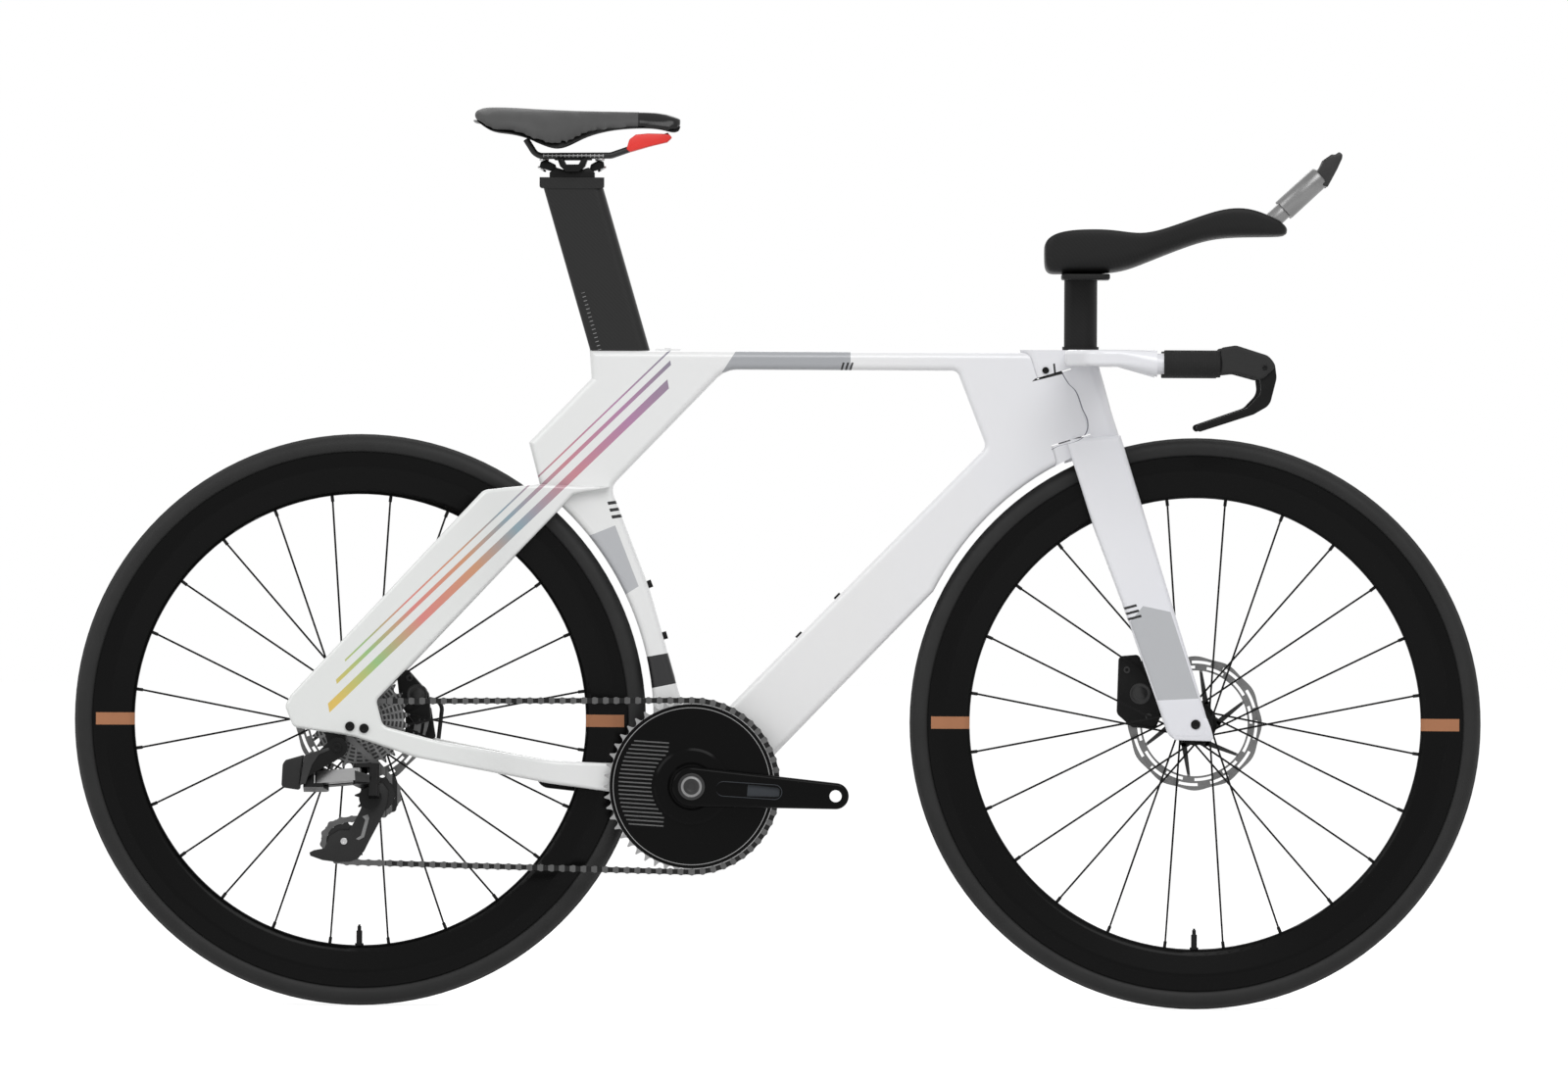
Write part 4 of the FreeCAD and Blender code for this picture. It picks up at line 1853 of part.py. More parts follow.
blade = rounded("blade", blade_blank, size("fork_edge"), on_blade_outline)
blade_bore = rod("blade_bore", axle_bore, "0", "100", FRONT_X, AXLE_Z)
blade_left = cut("blade_left", blade, blade_bore)
blade_right = mirrored("blade_right", blade_left)
bayonet_outline = [
    point("bayonet_top"),
    corner("bayonet_waist", 60),
    corner("bayonet_foot", 60),
    point("crown_front"),
    point("crown_rear"),
    (size("crown_rear_x"), size("bayonet_top_z")),
]
bayonet_half = "Sizes.bayonet_half_width"
bayonet_side = padded("bayonet_side", [outline(bayonet_outline)], f"-{bayonet_half}", bayonet_half)
crown_top, stem_foot = -slot, head_length + slot
head_clear = behind_axis(crown_top, stem_foot, cleared_radius=size("nose_radius") + size("turning_gap"))
stem_clear = steer_box(-FAR, size("stem_radius") - 4, stem_foot, FAR)
crown_clear = behind_axis(-FAR, crown_top, kept_radius=size("crown_radius"))
bayonet_room = feature("bayonet_room", head_clear.fuse([stem_clear, crown_clear]))
bayonet = cut("bayonet", bayonet_side, wheel_space("fork_room", FRONT_X), bayonet_room)


def on_bayonet_front(edge):
    """Long front edges of the fork's head."""
    values = along(edge, lambda spot: abs(spot.y) - size("bayonet_half_width"))
    ahead = along(edge, lambda spot: (spot - crown_point).dot(steer_ahead))
    return max(abs(value) for value in values) < 1e-4 and min(ahead) > size("nose_radius") + 6


bayonet_soft = rounded("bayonet", bayonet, size("bayonet_edge"), on_bayonet_front)
blade_room = feature("blade_room", head_clear.fuse(stem_clear))
steerer = feature("steerer", steer_cylinder(size("steerer_radius"), -25, stem_foot + 18))
trim_left = cut("blade_trim_left", blade_left, blade_room)
trim_right = cut("blade_trim_right", blade_right, blade_room)
fork = node(fuse("fork", bayonet_soft, trim_left, trim_right, steerer), "fork")

# Base bar with the stem
bar_low = "Sizes.bar_top - Sizes.bar_thickness"
bar_half, bar_rear, bar_front = size("bar_half_width"), size("bar_rear"), size("bar_front")
arm_half = size("bar_arm_half")
arm_end = bar_front + 6
wing_half = [
    (bar_rear, bar_half - 30, 45),
    (bar_rear + 30, bar_half + arm_half, 30),
    (arm_end, bar_half + arm_half),
    (arm_end, bar_half - arm_half),
    (bar_front, bar_half - arm_half - 24, 30),
]
wing_plan = wing_half + [(u, -v, *rest) for u, v, *rest in reversed(wing_half)]
wing = laid("bar_wing", [outline(wing_plan)], bar_low, "Sizes.bar_top")
wing_soft = rounded(
    "bar_wing",
    wing,
    size("bar_edge"),
    lambda edge: max(along(edge, lambda spot: spot.z)) - min(along(edge, lambda spot: spot.z)) < 1e-6
    and edge.CenterOfMass.x < arm_end - 1e-3,
)


def ring_wire(place_x, place_y, place_z, half_wide, half_high, rounding):
    """Rounded rectangle across the bar; a full rounding gives a circle."""
    loop = box_loop(-half_wide, half_wide, -half_high, half_high, rounding)
    wire = Part.Wire([edge.toShape() for edge in loop])
    facing = Rotation(Vector(0, 1, 0), Vector(0, 0, 1), Vector(1, 0, 0))
    wire.Placement = Placement(Vector(place_x, place_y, place_z), facing)
    return wire


grip_radius, tube_radius = size("grip_radius"), size("bar_tube_radius")
bar_middle = size("bar_top") - size("bar_thickness") / 2
half_bar = size("bar_thickness") / 2
grip_start, grip_end, grip_height = size("grip_start"), size("grip_end"), size("grip_height")
bar_ends = []
for side in (-1, 1):
    place_y = side * bar_half
    sections = [
        ring_wire(arm_end, place_y, bar_middle, arm_half, half_bar, size("bar_edge") - 0.01),
        ring_wire(grip_start, place_y, grip_height, grip_radius, grip_radius, grip_radius - 0.01),
    ]
    fairing = Part.makeLoft(sections, True, True)
    tube_base = Vector(grip_start, place_y, grip_height)
    tube = Part.makeCylinder(tube_radius, grip_end - grip_start, tube_base, Vector(1, 0, 0))
    bar_ends.append(fairing.fuse(tube))
bar_end_pair = feature("bar_end_pair", Part.makeCompound(bar_ends))
stem_loop = [
    (crown_point.x - 70, size("bar_top")),
    (bar_front - 24, size("bar_top")),
    (bar_front - 24, size("bar_top") - 60),
    (crown_point.x - 70, size("bar_top") - 60),
]
stem_side = padded("stem_side", [outline(stem_loop)], f"-{bayonet_half}", bayonet_half)
below_stem = steer_box(-FAR, FAR, -FAR, stem_foot)
behind_stem = behind_axis(stem_foot, FAR, kept_radius=size("stem_radius"))
stem_blank = cut("stem", stem_side, feature("stem_room", below_stem.fuse(behind_stem)))
stem = cut("stem_on_fork", stem_blank, fork)
node(fuse("base_bar", wing_soft, bar_end_pair, stem), "base_bar")

tapes = []
tape_start, tape_length = size("tape_start"), grip_end - size("tape_start")
for side in (-1, 1):
    base = Vector(tape_start, side * bar_half, grip_height)
    outer_tape = Part.makeCylinder(grip_radius + 0.4, tape_length, base, Vector(1, 0, 0))
    outer_tape = outer_tape.makeFillet(size("tape_edge"), [edge for edge in outer_tape.Edges if edge.Closed])
    tapes.append(outer_tape.cut(Part.makeCylinder(tube_radius, tape_length, base, Vector(1, 0, 0))))
node(feature("tape_pair", Part.makeCompound(tapes)), "bar_tapes")

# Brake hoods and levers
hood_outline = [
    corner("hood_heel", 4),
    corner("hood_crest", 12),
    corner("hood_brow", 14),
    corner("hood_nose", 8),
    corner("hood_chin", 9),
    corner("hood_throat", 12),
    corner("hood_foot", 4),
]
lever_outline = [
    corner("lever_brow", 6),
    corner("lever_front", 20),
    corner("lever_knee", 16),
    corner("lever_shin", 16),
    corner("lever_tip_low", 4),
    corner("lever_tip_top", 4),
    corner("lever_calf", 14),
    corner("lever_thigh", 16),
    (size("lever_pivot_x") - 8, size("lever_pivot_z") + 2, 6),
]
lever_x, lever_z = point("lever_pivot")
slot_floor = size("hood_chin_z") - 40
slot_loop = [
    (lever_x - 20, slot_floor),
    (lever_x - 20, lever_z + 6, 6),
    (lever_x - 12, lever_z + 14),
    (lever_x + 40, lever_z + 14),
    (lever_x + 40, slot_floor),
]
LEVER_PIVOT = ("Sizes.lever_pivot_x", "Sizes.lever_pivot_z")
hoods = []
for name, side in (("right", -1), ("left", 1)):
    middle = f"({side} * Sizes.bar_half_width)"
    hood_half, lever_half = "Sizes.hood_width / 2", "Sizes.lever_width / 2"
    hood_low, hood_high = f"{middle} - {hood_half}", f"{middle} + {hood_half}"
    hood = padded(f"hood_{name}", [outline(hood_outline)], hood_low, hood_high, "3.5")
    slot_half = f"({lever_half} + Sizes.lever_gap)"
    slot_low, slot_high = f"{middle} - {slot_half}", f"{middle} + {slot_half}"
    slot_tool = padded(f"hood_slot_{name}", [outline(slot_loop)], slot_low, slot_high)
    pin_low, pin_high = f"{hood_low} + 1", f"{hood_high} - 1"
    pin = rod(f"lever_pin_{name}", "Sizes.lever_pin_radius", pin_low, pin_high, *LEVER_PIVOT)
    hoods.append(fuse(f"hood_pin_{name}", cut(f"hood_cut_{name}", hood, slot_tool), pin))
    lever_low, lever_high = f"{middle} - {lever_half}", f"{middle} + {lever_half}"
    lever = padded(f"lever_{name}", [outline(lever_outline)], lever_low, lever_high, "2.5")
    eye_radius = "Sizes.lever_pin_radius + Sizes.running_gap"
    eye = rod(f"lever_eye_{name}", eye_radius, hood_low, hood_high, *LEVER_PIVOT)
    node(cut(f"brake_lever_{name}", lever, eye), f"brake_lever_{name}")
node(group("brake_hoods", *hoods), "brake_hoods")

# Riser, arm rest plate, arm rests and extensions
riser_low, riser_high = size("riser_x") - size("riser_length") / 2, size("riser_x") + size("riser_length") / 2
riser_half, flare = size("riser_width") / 2, size("riser_foot") / 2
riser_plan = box_loop(riser_low, riser_high, -riser_half, riser_half, 10, 16, 16, 10)
foot_half = riser_half + flare
foot_plan = box_loop(riser_low - flare, riser_high + flare, -foot_half, foot_half, 12, 18, 18, 12)
riser_column = laid("riser_column", [riser_plan], "Sizes.bar_top", "Sizes.riser_top")
riser_base = laid("riser_base", [foot_plan], "Sizes.bar_top", "Sizes.bar_top + Sizes.riser_foot")
node(fuse("riser", riser_column, riser_base), "riser")
plate_half = size("bracket_plate_half")
plate_plan = box_loop(size("bracket_plate_rear"), size("bracket_plate_front"), -plate_half, plate_half, 8)
plate_top = "Sizes.riser_top + Sizes.bracket_plate"
node(laid("arm_plate", [plate_plan], "Sizes.riser_top", plate_top, "2"), "riser_bracket")

ARM_ROUNDING = {
    "arm_heel": 5,
    "arm_back": 20,
    "arm_rim_rear": 10,
    "arm_rim": 60,
    "arm_dip": 60,
    "arm_rise": 60,
    "arm_crest": 40,
    "arm_brow": 12,
    "arm_nose": 6,
    "arm_chin": 40,
    "arm_belly": 40,
    "arm_sole": 8,
}
arm_outline = [corner(name, radius) for name, radius in ARM_ROUNDING.items()]
extension_lean = math.radians(size("extension_angle"))
extension_axis = Vector(math.cos(extension_lean), 0, math.sin(extension_lean))
extension_up = Vector(-extension_axis.z, 0, extension_axis.x)
neck, grip_length, tip_length = size("extension_neck"), size("extension_grip"), size("extension_tip")
button_radius = size("button_radius")
tip_radius = size("extension_radius") + 1
button_floor = tip_radius + size("button_proud") - size("button_height")
arm_pair, extension_pair = [], []
for name, side in (("right", -1), ("left", 1)):
    middle = side * size("arm_spacing")
    rear_half, front_half = size("arm_rear_half"), size("arm_front_half")
    front_end, rear_end = size("arm_nose_x") + 2, size("arm_back_x") - 2
    arm_plan = [
        (rear_end, middle + rear_half, 22),
        (rear_end, middle - rear_half, 22),
        (size("arm_dip_x"), middle - rear_half, 80),
        (front_end, middle - front_half, 15),
        (front_end, middle + front_half, 15),
        (size("arm_dip_x"), middle + rear_half, 80),
    ]
    arm_side = padded(f"arm_side_{name}", [outline(arm_outline)], f"{middle} - 60", f"{middle} + 60")
    arm_top = laid(f"arm_top_{name}", [outline(arm_plan)], "Sizes.riser_top", "Sizes.riser_top + 120")
    arm_blank = common(f"arm_{name}", arm_side, arm_top)
    trough_names = ("trough_rear", "trough_bend", "trough_front")
    trough_spots = [Vector(size(spot + "_x"), middle, size(spot + "_z")) for spot in trough_names]
    trough_radius = size("trough_radius")
    trough = Part.makeSphere(trough_radius, trough_spots[2])
    for start, end in zip(trough_spots, trough_spots[1:]):
        run = end - start
        trough = trough.fuse(Part.makeCylinder(trough_radius, run.Length, start, run))
    trough = trough.fuse(Part.makeSphere(trough_radius, trough_spots[1]))
    root = Vector(size("extension_root_x"), middle, size("extension_root_z"))
    tube_radius, socket_depth = size("extension_radius"), size("extension_socket")
    tube_base = root - extension_axis * socket_depth
    socket_radius = tube_radius + size("running_gap")
    socket_tool = Part.makeCylinder(socket_radius, 3 * socket_depth, tube_base, extension_axis)
    arm_room = feature(f"arm_trough_{name}", trough.fuse(socket_tool))
    arm_pair.append(cut(f"arm_rest_{name}", arm_blank, arm_room))
    tube = Part.makeCylinder(tube_radius, socket_depth + neck + 10, tube_base, extension_axis)
    sleeve_base = root + extension_axis * neck
    sleeve = Part.makeCylinder(size("sleeve_grip_radius"), grip_length, sleeve_base, extension_axis)
    sleeve = sleeve.makeFillet(2.5, [edge for edge in sleeve.Edges if edge.Closed])
    tip_base = root + extension_axis * (neck + grip_length - 1)
    tip = Part.makeCylinder(tip_radius, tip_length + 1, tip_base, extension_axis)
    tip_edges = [edge for edge in tip.Edges if edge.Closed and (edge.CenterOfMass - tip_base).Length > 5]
    tip = tip.makeFillet(3, tip_edges)
    button_spot = root + extension_axis * (neck + grip_length + tip_length / 2)
    well_base = button_spot + extension_up * (button_floor - 2)
    well = Part.makeCylinder(button_radius + 2 * size("running_gap"), 30, well_base, extension_up)
    extension_pair.append(tube.fuse([sleeve, tip]).cut(well))
    button_base = button_spot + extension_up * button_floor
    button = Part.makeCylinder(button_radius, size("button_height"), button_base, extension_up)
    rim_edges = [edge for edge in button.Edges if edge.Closed]
    top_edge = max(rim_edges, key=lambda edge: (edge.CenterOfMass - button_spot).dot(extension_up))
    node(feature(f"button_{name}", button.makeFillet(1, [top_edge])), f"shift_button_{name}")
node(group("arm_rests", *arm_pair), "arm_rests")
node(feature("extension_pair", Part.makeCompound(extension_pair)), "extension_grips")


# Brake calipers, pads and the rear hose
def pad_loop(name, grow):
    """Outline of a brake pad."""
    centre_u, centre_v = point(name)
    half_long, half_high = size("pad_half_length") + grow, size("pad_half_height") + grow
    sides = (centre_u - half_long, centre_u + half_long, centre_v - half_high, centre_v + half_high)
    return box_loop(*sides, size("pad_corner"))


def caliper(name, body_outline, foot_outline, rotor_face, place_x, mounting, foot_reach):
    """Caliper body over the rotor, with its foot on the frame or fork, and two pads."""
    middle = f"({rotor_face} + Sizes.rotor_thickness / 2)"
    half = "Sizes.caliper_width / 2"
    block_low, block_high = f"{middle} - {half}", f"{middle} + {half}"
    block = padded(f"{name}_caliper_block", [outline(body_outline)], block_low, block_high, "3")
    foot = padded(f"{name}_caliper_foot", [outline(foot_outline)], middle, f"{middle} + {foot_reach}")
    slot_low, slot_high = f"{middle} - Sizes.caliper_slot / 2", f"{middle} + Sizes.caliper_slot / 2"
    slot_tool = rod(f"{name}_rotor_slot", "Sizes.rotor_radius + 2", slot_low, slot_high, place_x, AXLE_Z)
    reach = "(Sizes.rotor_thickness / 2 + Sizes.pad_gap + Sizes.pad_thickness)"
    pocket = padded(
        f"{name}_pad_pocket",
        [pad_loop(f"{name}_pad_centre", size("seat_gap"))],
        f"{middle} - {reach} - Sizes.seat_gap",
        f"{middle} + {reach} + Sizes.seat_gap",
    )
    body = cut(f"{name}_caliper", fuse(f"{name}_caliper", block, foot), slot_tool, pocket, mounting)
    caliper_node = node(body, f"{name}_caliper")
    near = "(Sizes.rotor_thickness / 2 + Sizes.pad_gap)"
    loop = pad_loop(f"{name}_pad_centre", 0)
    pads = [
        padded(f"{name}_pad_in", [loop], f"{middle} - {reach}", f"{middle} - {near}"),
        padded(f"{name}_pad_out", [loop], f"{middle} + {near}", f"{middle} + {reach}"),
    ]
    node(group(f"{name}_pads", *pads), f"{name}_pads")
    return caliper_node


def shifted(name, offsets):
    """Outline given as offsets (u, v, radius) from a named point."""
    centre = point(name)
    return [(centre[0] + u, centre[1] + v, radius) for u, v, radius in offsets]


REAR_BLOCK = ((-24, 22, 5), (-12, 31, 5), (14, 2, 8), (17, -30, 5), (-2, -36, 4), (-20, -12, 8))
REAR_FOOT = ((-14, -20, 3), (16, -14, 3), (22, -52, 3), (-14, -52, 3))
FRONT_BLOCK = ((-28, 44, 6), (-4, 46, 6), (24, -22, 8), (16, -42, 6), (-12, -40, 6), (-30, -24, 8))
FRONT_FOOT = ((-20, 38, 3), (20, 38, 3), (34, -20, 3), (-6, -20, 3))
rear_block, rear_foot = shifted("rear_pad_centre", REAR_BLOCK), shifted("rear_pad_centre", REAR_FOOT)
rear_caliper = caliper("rear", rear_block, rear_foot, f"({rear_rotor_face})", REAR_X, stay_left, "24")
front_block, front_foot = shifted("front_pad_centre", FRONT_BLOCK), shifted("front_pad_centre", FRONT_FOOT)
caliper("front", front_block, front_foot, f"({front_rotor_face})", FRONT_X, fork, "22")

hose_y = number(f"{rear_rotor_face} + Sizes.caliper_width / 2") - 2
pad_x, pad_z = point("rear_pad_centre")
hose_spots = [
    Vector(pad_x + 8, hose_y, pad_z - 4),
    Vector(pad_x + 30, hose_y, pad_z - 8),
    Vector(pad_x + 24, hose_y + 9, pad_z - 60),
]
hose_wire = tangent_wire(hose_spots, size("hose_bend"))
hose_blank = feature("hose_blank", tube_along(hose_wire, size("hose_radius")))
node(cut("rear_brake_hose", hose_blank, rear_caliper, stay_left), "rear_brake_hose")

# Rear derailleur
hanger_x, hanger_z = point("hanger_bolt")
hanger_outer = "-Sizes.hanger_plane"
hanger_inner = "-Sizes.hanger_plane + Sizes.hanger_thickness"
hanger_root = (hanger_x - 6, hanger_z + size("hanger_rise"))
hanger_radii = size("hanger_tip_radius"), size("hanger_root_radius")
hanger_loop = hull_loop((hanger_x, hanger_z), hanger_root, *hanger_radii)
hanger_hole = circle(hanger_x, hanger_z, size("hanger_bolt_radius"))
hanger_blank = padded("hanger_blank", [hanger_loop, hanger_hole], hanger_outer, hanger_inner)
node(cut("derailleur_hanger", hanger_blank, stay_right), "derailleur_hanger")

pivot_spot = Vector(size("link_pivot_x"), size("link_pivot_y"), size("link_pivot_z"))
SLANT = Placement(pivot_spot, Rotation(Vector(1, 0, 0), -size("link_slant")))
link_half = size("link_height") / 2
link_spot = flat_polar(size("link_length"), -size("link_rest_angle"))
link_run = (link_spot.x, link_spot.y)
inner_start = (0, 0)
outer_start = (size("link_offset_x"), size("link_offset_y"))
inner_end = link_run
outer_end = (outer_start[0] + link_run[0], outer_start[1] + link_run[1])
lug_low, lug_high = link_half + size("link_play"), link_half + size("link_lug")
pin_radius = size("link_pin_radius")


def slanted(loop, low, high):
    """Solid across the slanted link pivots."""
    face = Part.Face(Part.Wire([edge.toShape() for edge in loop]))
    solid = face.extrude(Vector(0, 0, high - low))
    solid.translate(Vector(0, 0, low))
    solid.Placement = SLANT.multiply(solid.Placement)
    return solid


def slanted_pin(spot, radius, low, high):
    """Pin or bore along a slanted link pivot."""
    solid = Part.makeCylinder(radius, high - low, Vector(spot[0], spot[1], low), Vector(0, 0, 1))
    solid.Placement = SLANT.multiply(solid.Placement)
    return solid


def link_node(name, start, end):
    """One link of the derailleur's parallelogram."""
    half = size("link_width") / 2 + size("link_wall")
    bar = slanted(hull_loop(start, end, half, half), -link_half, link_half)
    bores = [slanted_pin(spot, pin_radius + size("running_gap"), -FAR, FAR) for spot in (start, end)]
    return node(feature(f"{name}_solid", bar.cut(bores)), name)


def knuckle_lugs(first, second, block, joiner, foot):
    """Upper and lower lug with their pins, widened to a block that joins them."""
    lug = size("lug_radius")
    pieces = [slanted_pin(spot, pin_radius, -lug_high, lug_high) for spot in (first, second)]
    for loop in (hull_loop(first, second, lug, lug), outline(joiner)):
        pieces += [slanted(loop, lug_low, lug_high), slanted(loop, -lug_high, -lug_low)]
    pieces.append(slanted(box_loop(*block, 3), foot, lug_high))
    return pieces


link_node("derailleur_inner_link", inner_start, inner_end)
link_node("derailleur_outer_link", outer_start, outer_end)
lug, block_run = size("lug_radius"), size("knuckle_block")
near_end, low_v, high_v = outer_start[0] - 5.4, outer_start[1] - lug, lug
far_end = near_end - block_run
upper_joiner = [(far_end, low_v), (0, low_v), (0, high_v), (far_end, high_v)]
upper_block = (far_end, near_end, low_v, high_v)
upper_pieces = knuckle_lugs(inner_start, outer_start, upper_block, upper_joiner, -lug_high)
arm_tip = (size("link_pivot_x") - 20, size("link_pivot_z") + 12)
arm_loop = hull_loop((hanger_x, hanger_z), arm_tip, size("knuckle_radius"), size("knuckle_tip_radius"))
arm_solid = plate_from(arm_loop, size("knuckle_width"), -size("hanger_plane") - size("knuckle_play"))
pin_base = Vector(hanger_x, -size("hanger_plane") - 2, hanger_z)
pin_reach, pin_size = size("hanger_thickness") + 2, size("hanger_bolt_radius") - size("running_gap")
hanger_pin = Part.makeCylinder(pin_size, pin_reach, pin_base, Vector(0, 1, 0))
upper_knuckle = feature("upper_knuckle", arm_solid.fuse(upper_pieces + [hanger_pin]))
node(upper_knuckle, "derailleur_b_knuckle")

battery_x, battery_z = point("battery_corner")
battery_y = size("link_pivot_y") + 4 - size("battery_width")
battery_sizes = size("battery_length"), size("battery_width"), size("battery_height")
battery_box = Part.makeBox(*battery_sizes, Vector(battery_x, battery_y, battery_z))
battery_box = battery_box.makeFillet(size("battery_edge"), battery_box.Edges)
node(cut("derailleur_battery", feature("battery_blank", battery_box), upper_knuckle), "derailleur_battery")

cage_x, cage_z = point("cage_pivot")
chain_plane = cog_plane(int(size("chain_cog")))
cage_outer = chain_plane - size("cage_gap") / 2 - size("cage_plate")
near_end, low_v, high_v = inner_end[0] + 6.6, outer_end[1] - lug, inner_end[1] + lug
far_end = near_end + block_run
lower_joiner = [(outer_end[0], low_v), (far_end, low_v), (far_end, high_v), (inner_end[0], high_v)]
lower_block = (near_end, far_end, low_v, high_v)
lower_pieces = knuckle_lugs(inner_end, outer_end, lower_block, lower_joiner, -lug_high - 14)
boss_high = cage_outer - size("cage_play")
boss_run, pivot_run = size("cage_boss_length"), size("cage_pivot_length")
boss_base = Vector(cage_x, boss_high - boss_run, cage_z)
boss = Part.makeCylinder(size("cage_boss_radius"), boss_run, boss_base, Vector(0, 1, 0))
pivot_base = Vector(cage_x, boss_high - pivot_run, cage_z)
bore_radius = size("cage_pivot_radius") + size("running_gap")
cage_bore = Part.makeCylinder(bore_radius, pivot_run + 3, pivot_base - Vector(0, 1, 0), Vector(0, 1, 0))
plate_room = Part.makeBox(120, 60, 120, Vector(cage_x - 60, boss_high, cage_z - 100))
lower_knuckle = boss.fuse(lower_pieces).cut(plate_room).cut(cage_bore)
node(feature("lower_knuckle", lower_knuckle), "derailleur_p_knuckle")

guide_spot, tension_spot = pulley_places
cage_loop = hull_loop(guide_spot, tension_spot, size("cage_guide_radius"), size("cage_tension_radius"))
plate, gap_half = size("cage_plate"), size("cage_gap") / 2
cage_pieces = []
for low in (chain_plane - gap_half - plate, chain_plane + gap_half):
    cage_pieces.append(plate_from(cage_loop, plate, low + plate))
for spot in pulley_places:
    base = Vector(spot[0], chain_plane - gap_half - plate, spot[1])
    pin = Part.makeCylinder(size("pulley_pin_radius"), 2 * (gap_half + plate), base, Vector(0, 1, 0))
    cage_pieces.append(pin)
pivot_reach = pivot_run + size("cage_play") + plate / 2
cage_pieces.append(Part.makeCylinder(size("cage_pivot_radius"), pivot_reach, pivot_base, Vector(0, 1, 0)))
node(feature("cage_solid", cage_pieces[0].fuse(cage_pieces[1:])), "derailleur_cage")

pulley_teeth = int(size("pulley_teeth"))
pin_bore = size("pulley_pin_radius") + size("running_gap")
for name, spot in zip(("guide_pulley", "tension_pulley"), pulley_places):
    phase = gap_phase(rollers, *spot, pitch_radius(pulley_teeth))
    wheel_plate = sprocket(pulley_teeth, phase, pin_bore, size("tooth_thickness"))
    hub_width, hub_radius = size("pulley_hub_width"), size("pulley_hub_radius")
    pulley_hub = Part.makeCylinder(hub_radius, hub_width, Vector(0, -hub_width / 2, 0), Vector(0, 1, 0))
    hub_bore = Part.makeCylinder(pin_bore, 2 * hub_width, Vector(0, -hub_width, 0), Vector(0, 1, 0))
    solid = wheel_plate.fuse(pulley_hub).cut(hub_bore)
    place = Placement(Vector(spot[0], chain_plane, spot[1]), Rotation())
    node(feature(f"{name}_solid", solid, place), name)


# Checks and export
doc.recompute()
failed = [thing.Name for thing in doc.Objects if "Invalid" in thing.State or "Error" in thing.State]
failed += [thing.Label for thing in NODES if thing.Shape.isNull() or not thing.Shape.isValid()]
if failed:
    raise RuntimeError("failed: " + ", ".join(failed))
os.makedirs("parts", exist_ok=True)
for thing in NODES:
    thing.Shape.exportStep(f"parts/{thing.Label}.step")
    print(thing.Label, len(thing.Shape.Solids), "solids", round(thing.Shape.Volume / 1000, 2), "cm3")
print("chain links", chain_links_total, "cage turn", round(cage_turn, 3))
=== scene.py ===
# %% [markdown]
# # Dressing a time trial bike
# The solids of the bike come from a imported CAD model, already in metres and in their final places.
# Blender adds what a CAD solid lacks: paint, carbon, rubber and metal, the padded saddle, the rubber
# grips, and the small fasteners that a mechanic would look for.

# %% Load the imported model
import math

import bpy
from mathutils import Matrix, Vector


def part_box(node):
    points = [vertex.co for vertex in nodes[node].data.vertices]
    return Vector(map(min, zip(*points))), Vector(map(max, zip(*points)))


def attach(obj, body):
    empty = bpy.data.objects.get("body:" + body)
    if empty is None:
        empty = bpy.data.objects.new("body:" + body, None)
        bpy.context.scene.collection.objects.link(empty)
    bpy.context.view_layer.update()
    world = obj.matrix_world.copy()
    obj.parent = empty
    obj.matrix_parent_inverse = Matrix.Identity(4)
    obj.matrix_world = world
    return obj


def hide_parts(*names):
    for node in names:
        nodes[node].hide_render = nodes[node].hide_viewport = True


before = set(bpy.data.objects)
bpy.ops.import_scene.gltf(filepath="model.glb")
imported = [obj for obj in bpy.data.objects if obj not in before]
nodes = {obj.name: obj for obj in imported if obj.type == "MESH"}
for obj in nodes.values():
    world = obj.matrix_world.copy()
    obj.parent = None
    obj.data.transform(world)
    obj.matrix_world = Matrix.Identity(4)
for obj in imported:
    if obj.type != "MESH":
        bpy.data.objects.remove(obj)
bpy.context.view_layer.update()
bpy.ops.object.select_all(action="DESELECT")

# %% [markdown]
# ## Camera
# The bike is seen from its drive side, square on, through a long lens. A long lens keeps both wheels
# round and the far crank almost hidden behind the near one. The lens is shifted a little, because the
# middle of the picture is not the point straight in front of the camera.

# %% Camera
CAMERA_PLACE = (0.2254, -24.0, 0.6809)
IMAGE_WIDE, SHIFT_X, SHIFT_Y = 1600, -190, -110
METRES_PER_PIXEL = 0.0011565
PICTURE_TURN = math.radians(0.29)
SENSOR_MM = 36

camera_data = bpy.data.cameras.new("side_camera")
camera_data.sensor_width = SENSOR_MM
camera_data.lens = -CAMERA_PLACE[1] / METRES_PER_PIXEL / IMAGE_WIDE * SENSOR_MM
camera_data.shift_x = SHIFT_X / IMAGE_WIDE
camera_data.shift_y = SHIFT_Y / IMAGE_WIDE
camera_data.clip_end = 200
camera = bpy.data.objects.new("side_camera", camera_data)
camera.location = CAMERA_PLACE
camera.rotation_euler = (math.radians(90), -PICTURE_TURN, 0)
bpy.context.scene.collection.objects.link(camera)
bpy.context.scene.camera = camera
print("lens", round(camera_data.lens, 1), "mm")

# %% [markdown]
# ## Shader arithmetic
# A procedural finish is mostly arithmetic on the place of a surface point. A node's output is wrapped in
# a small class with plus, times and larger-than, so that a mask reads like a formula.

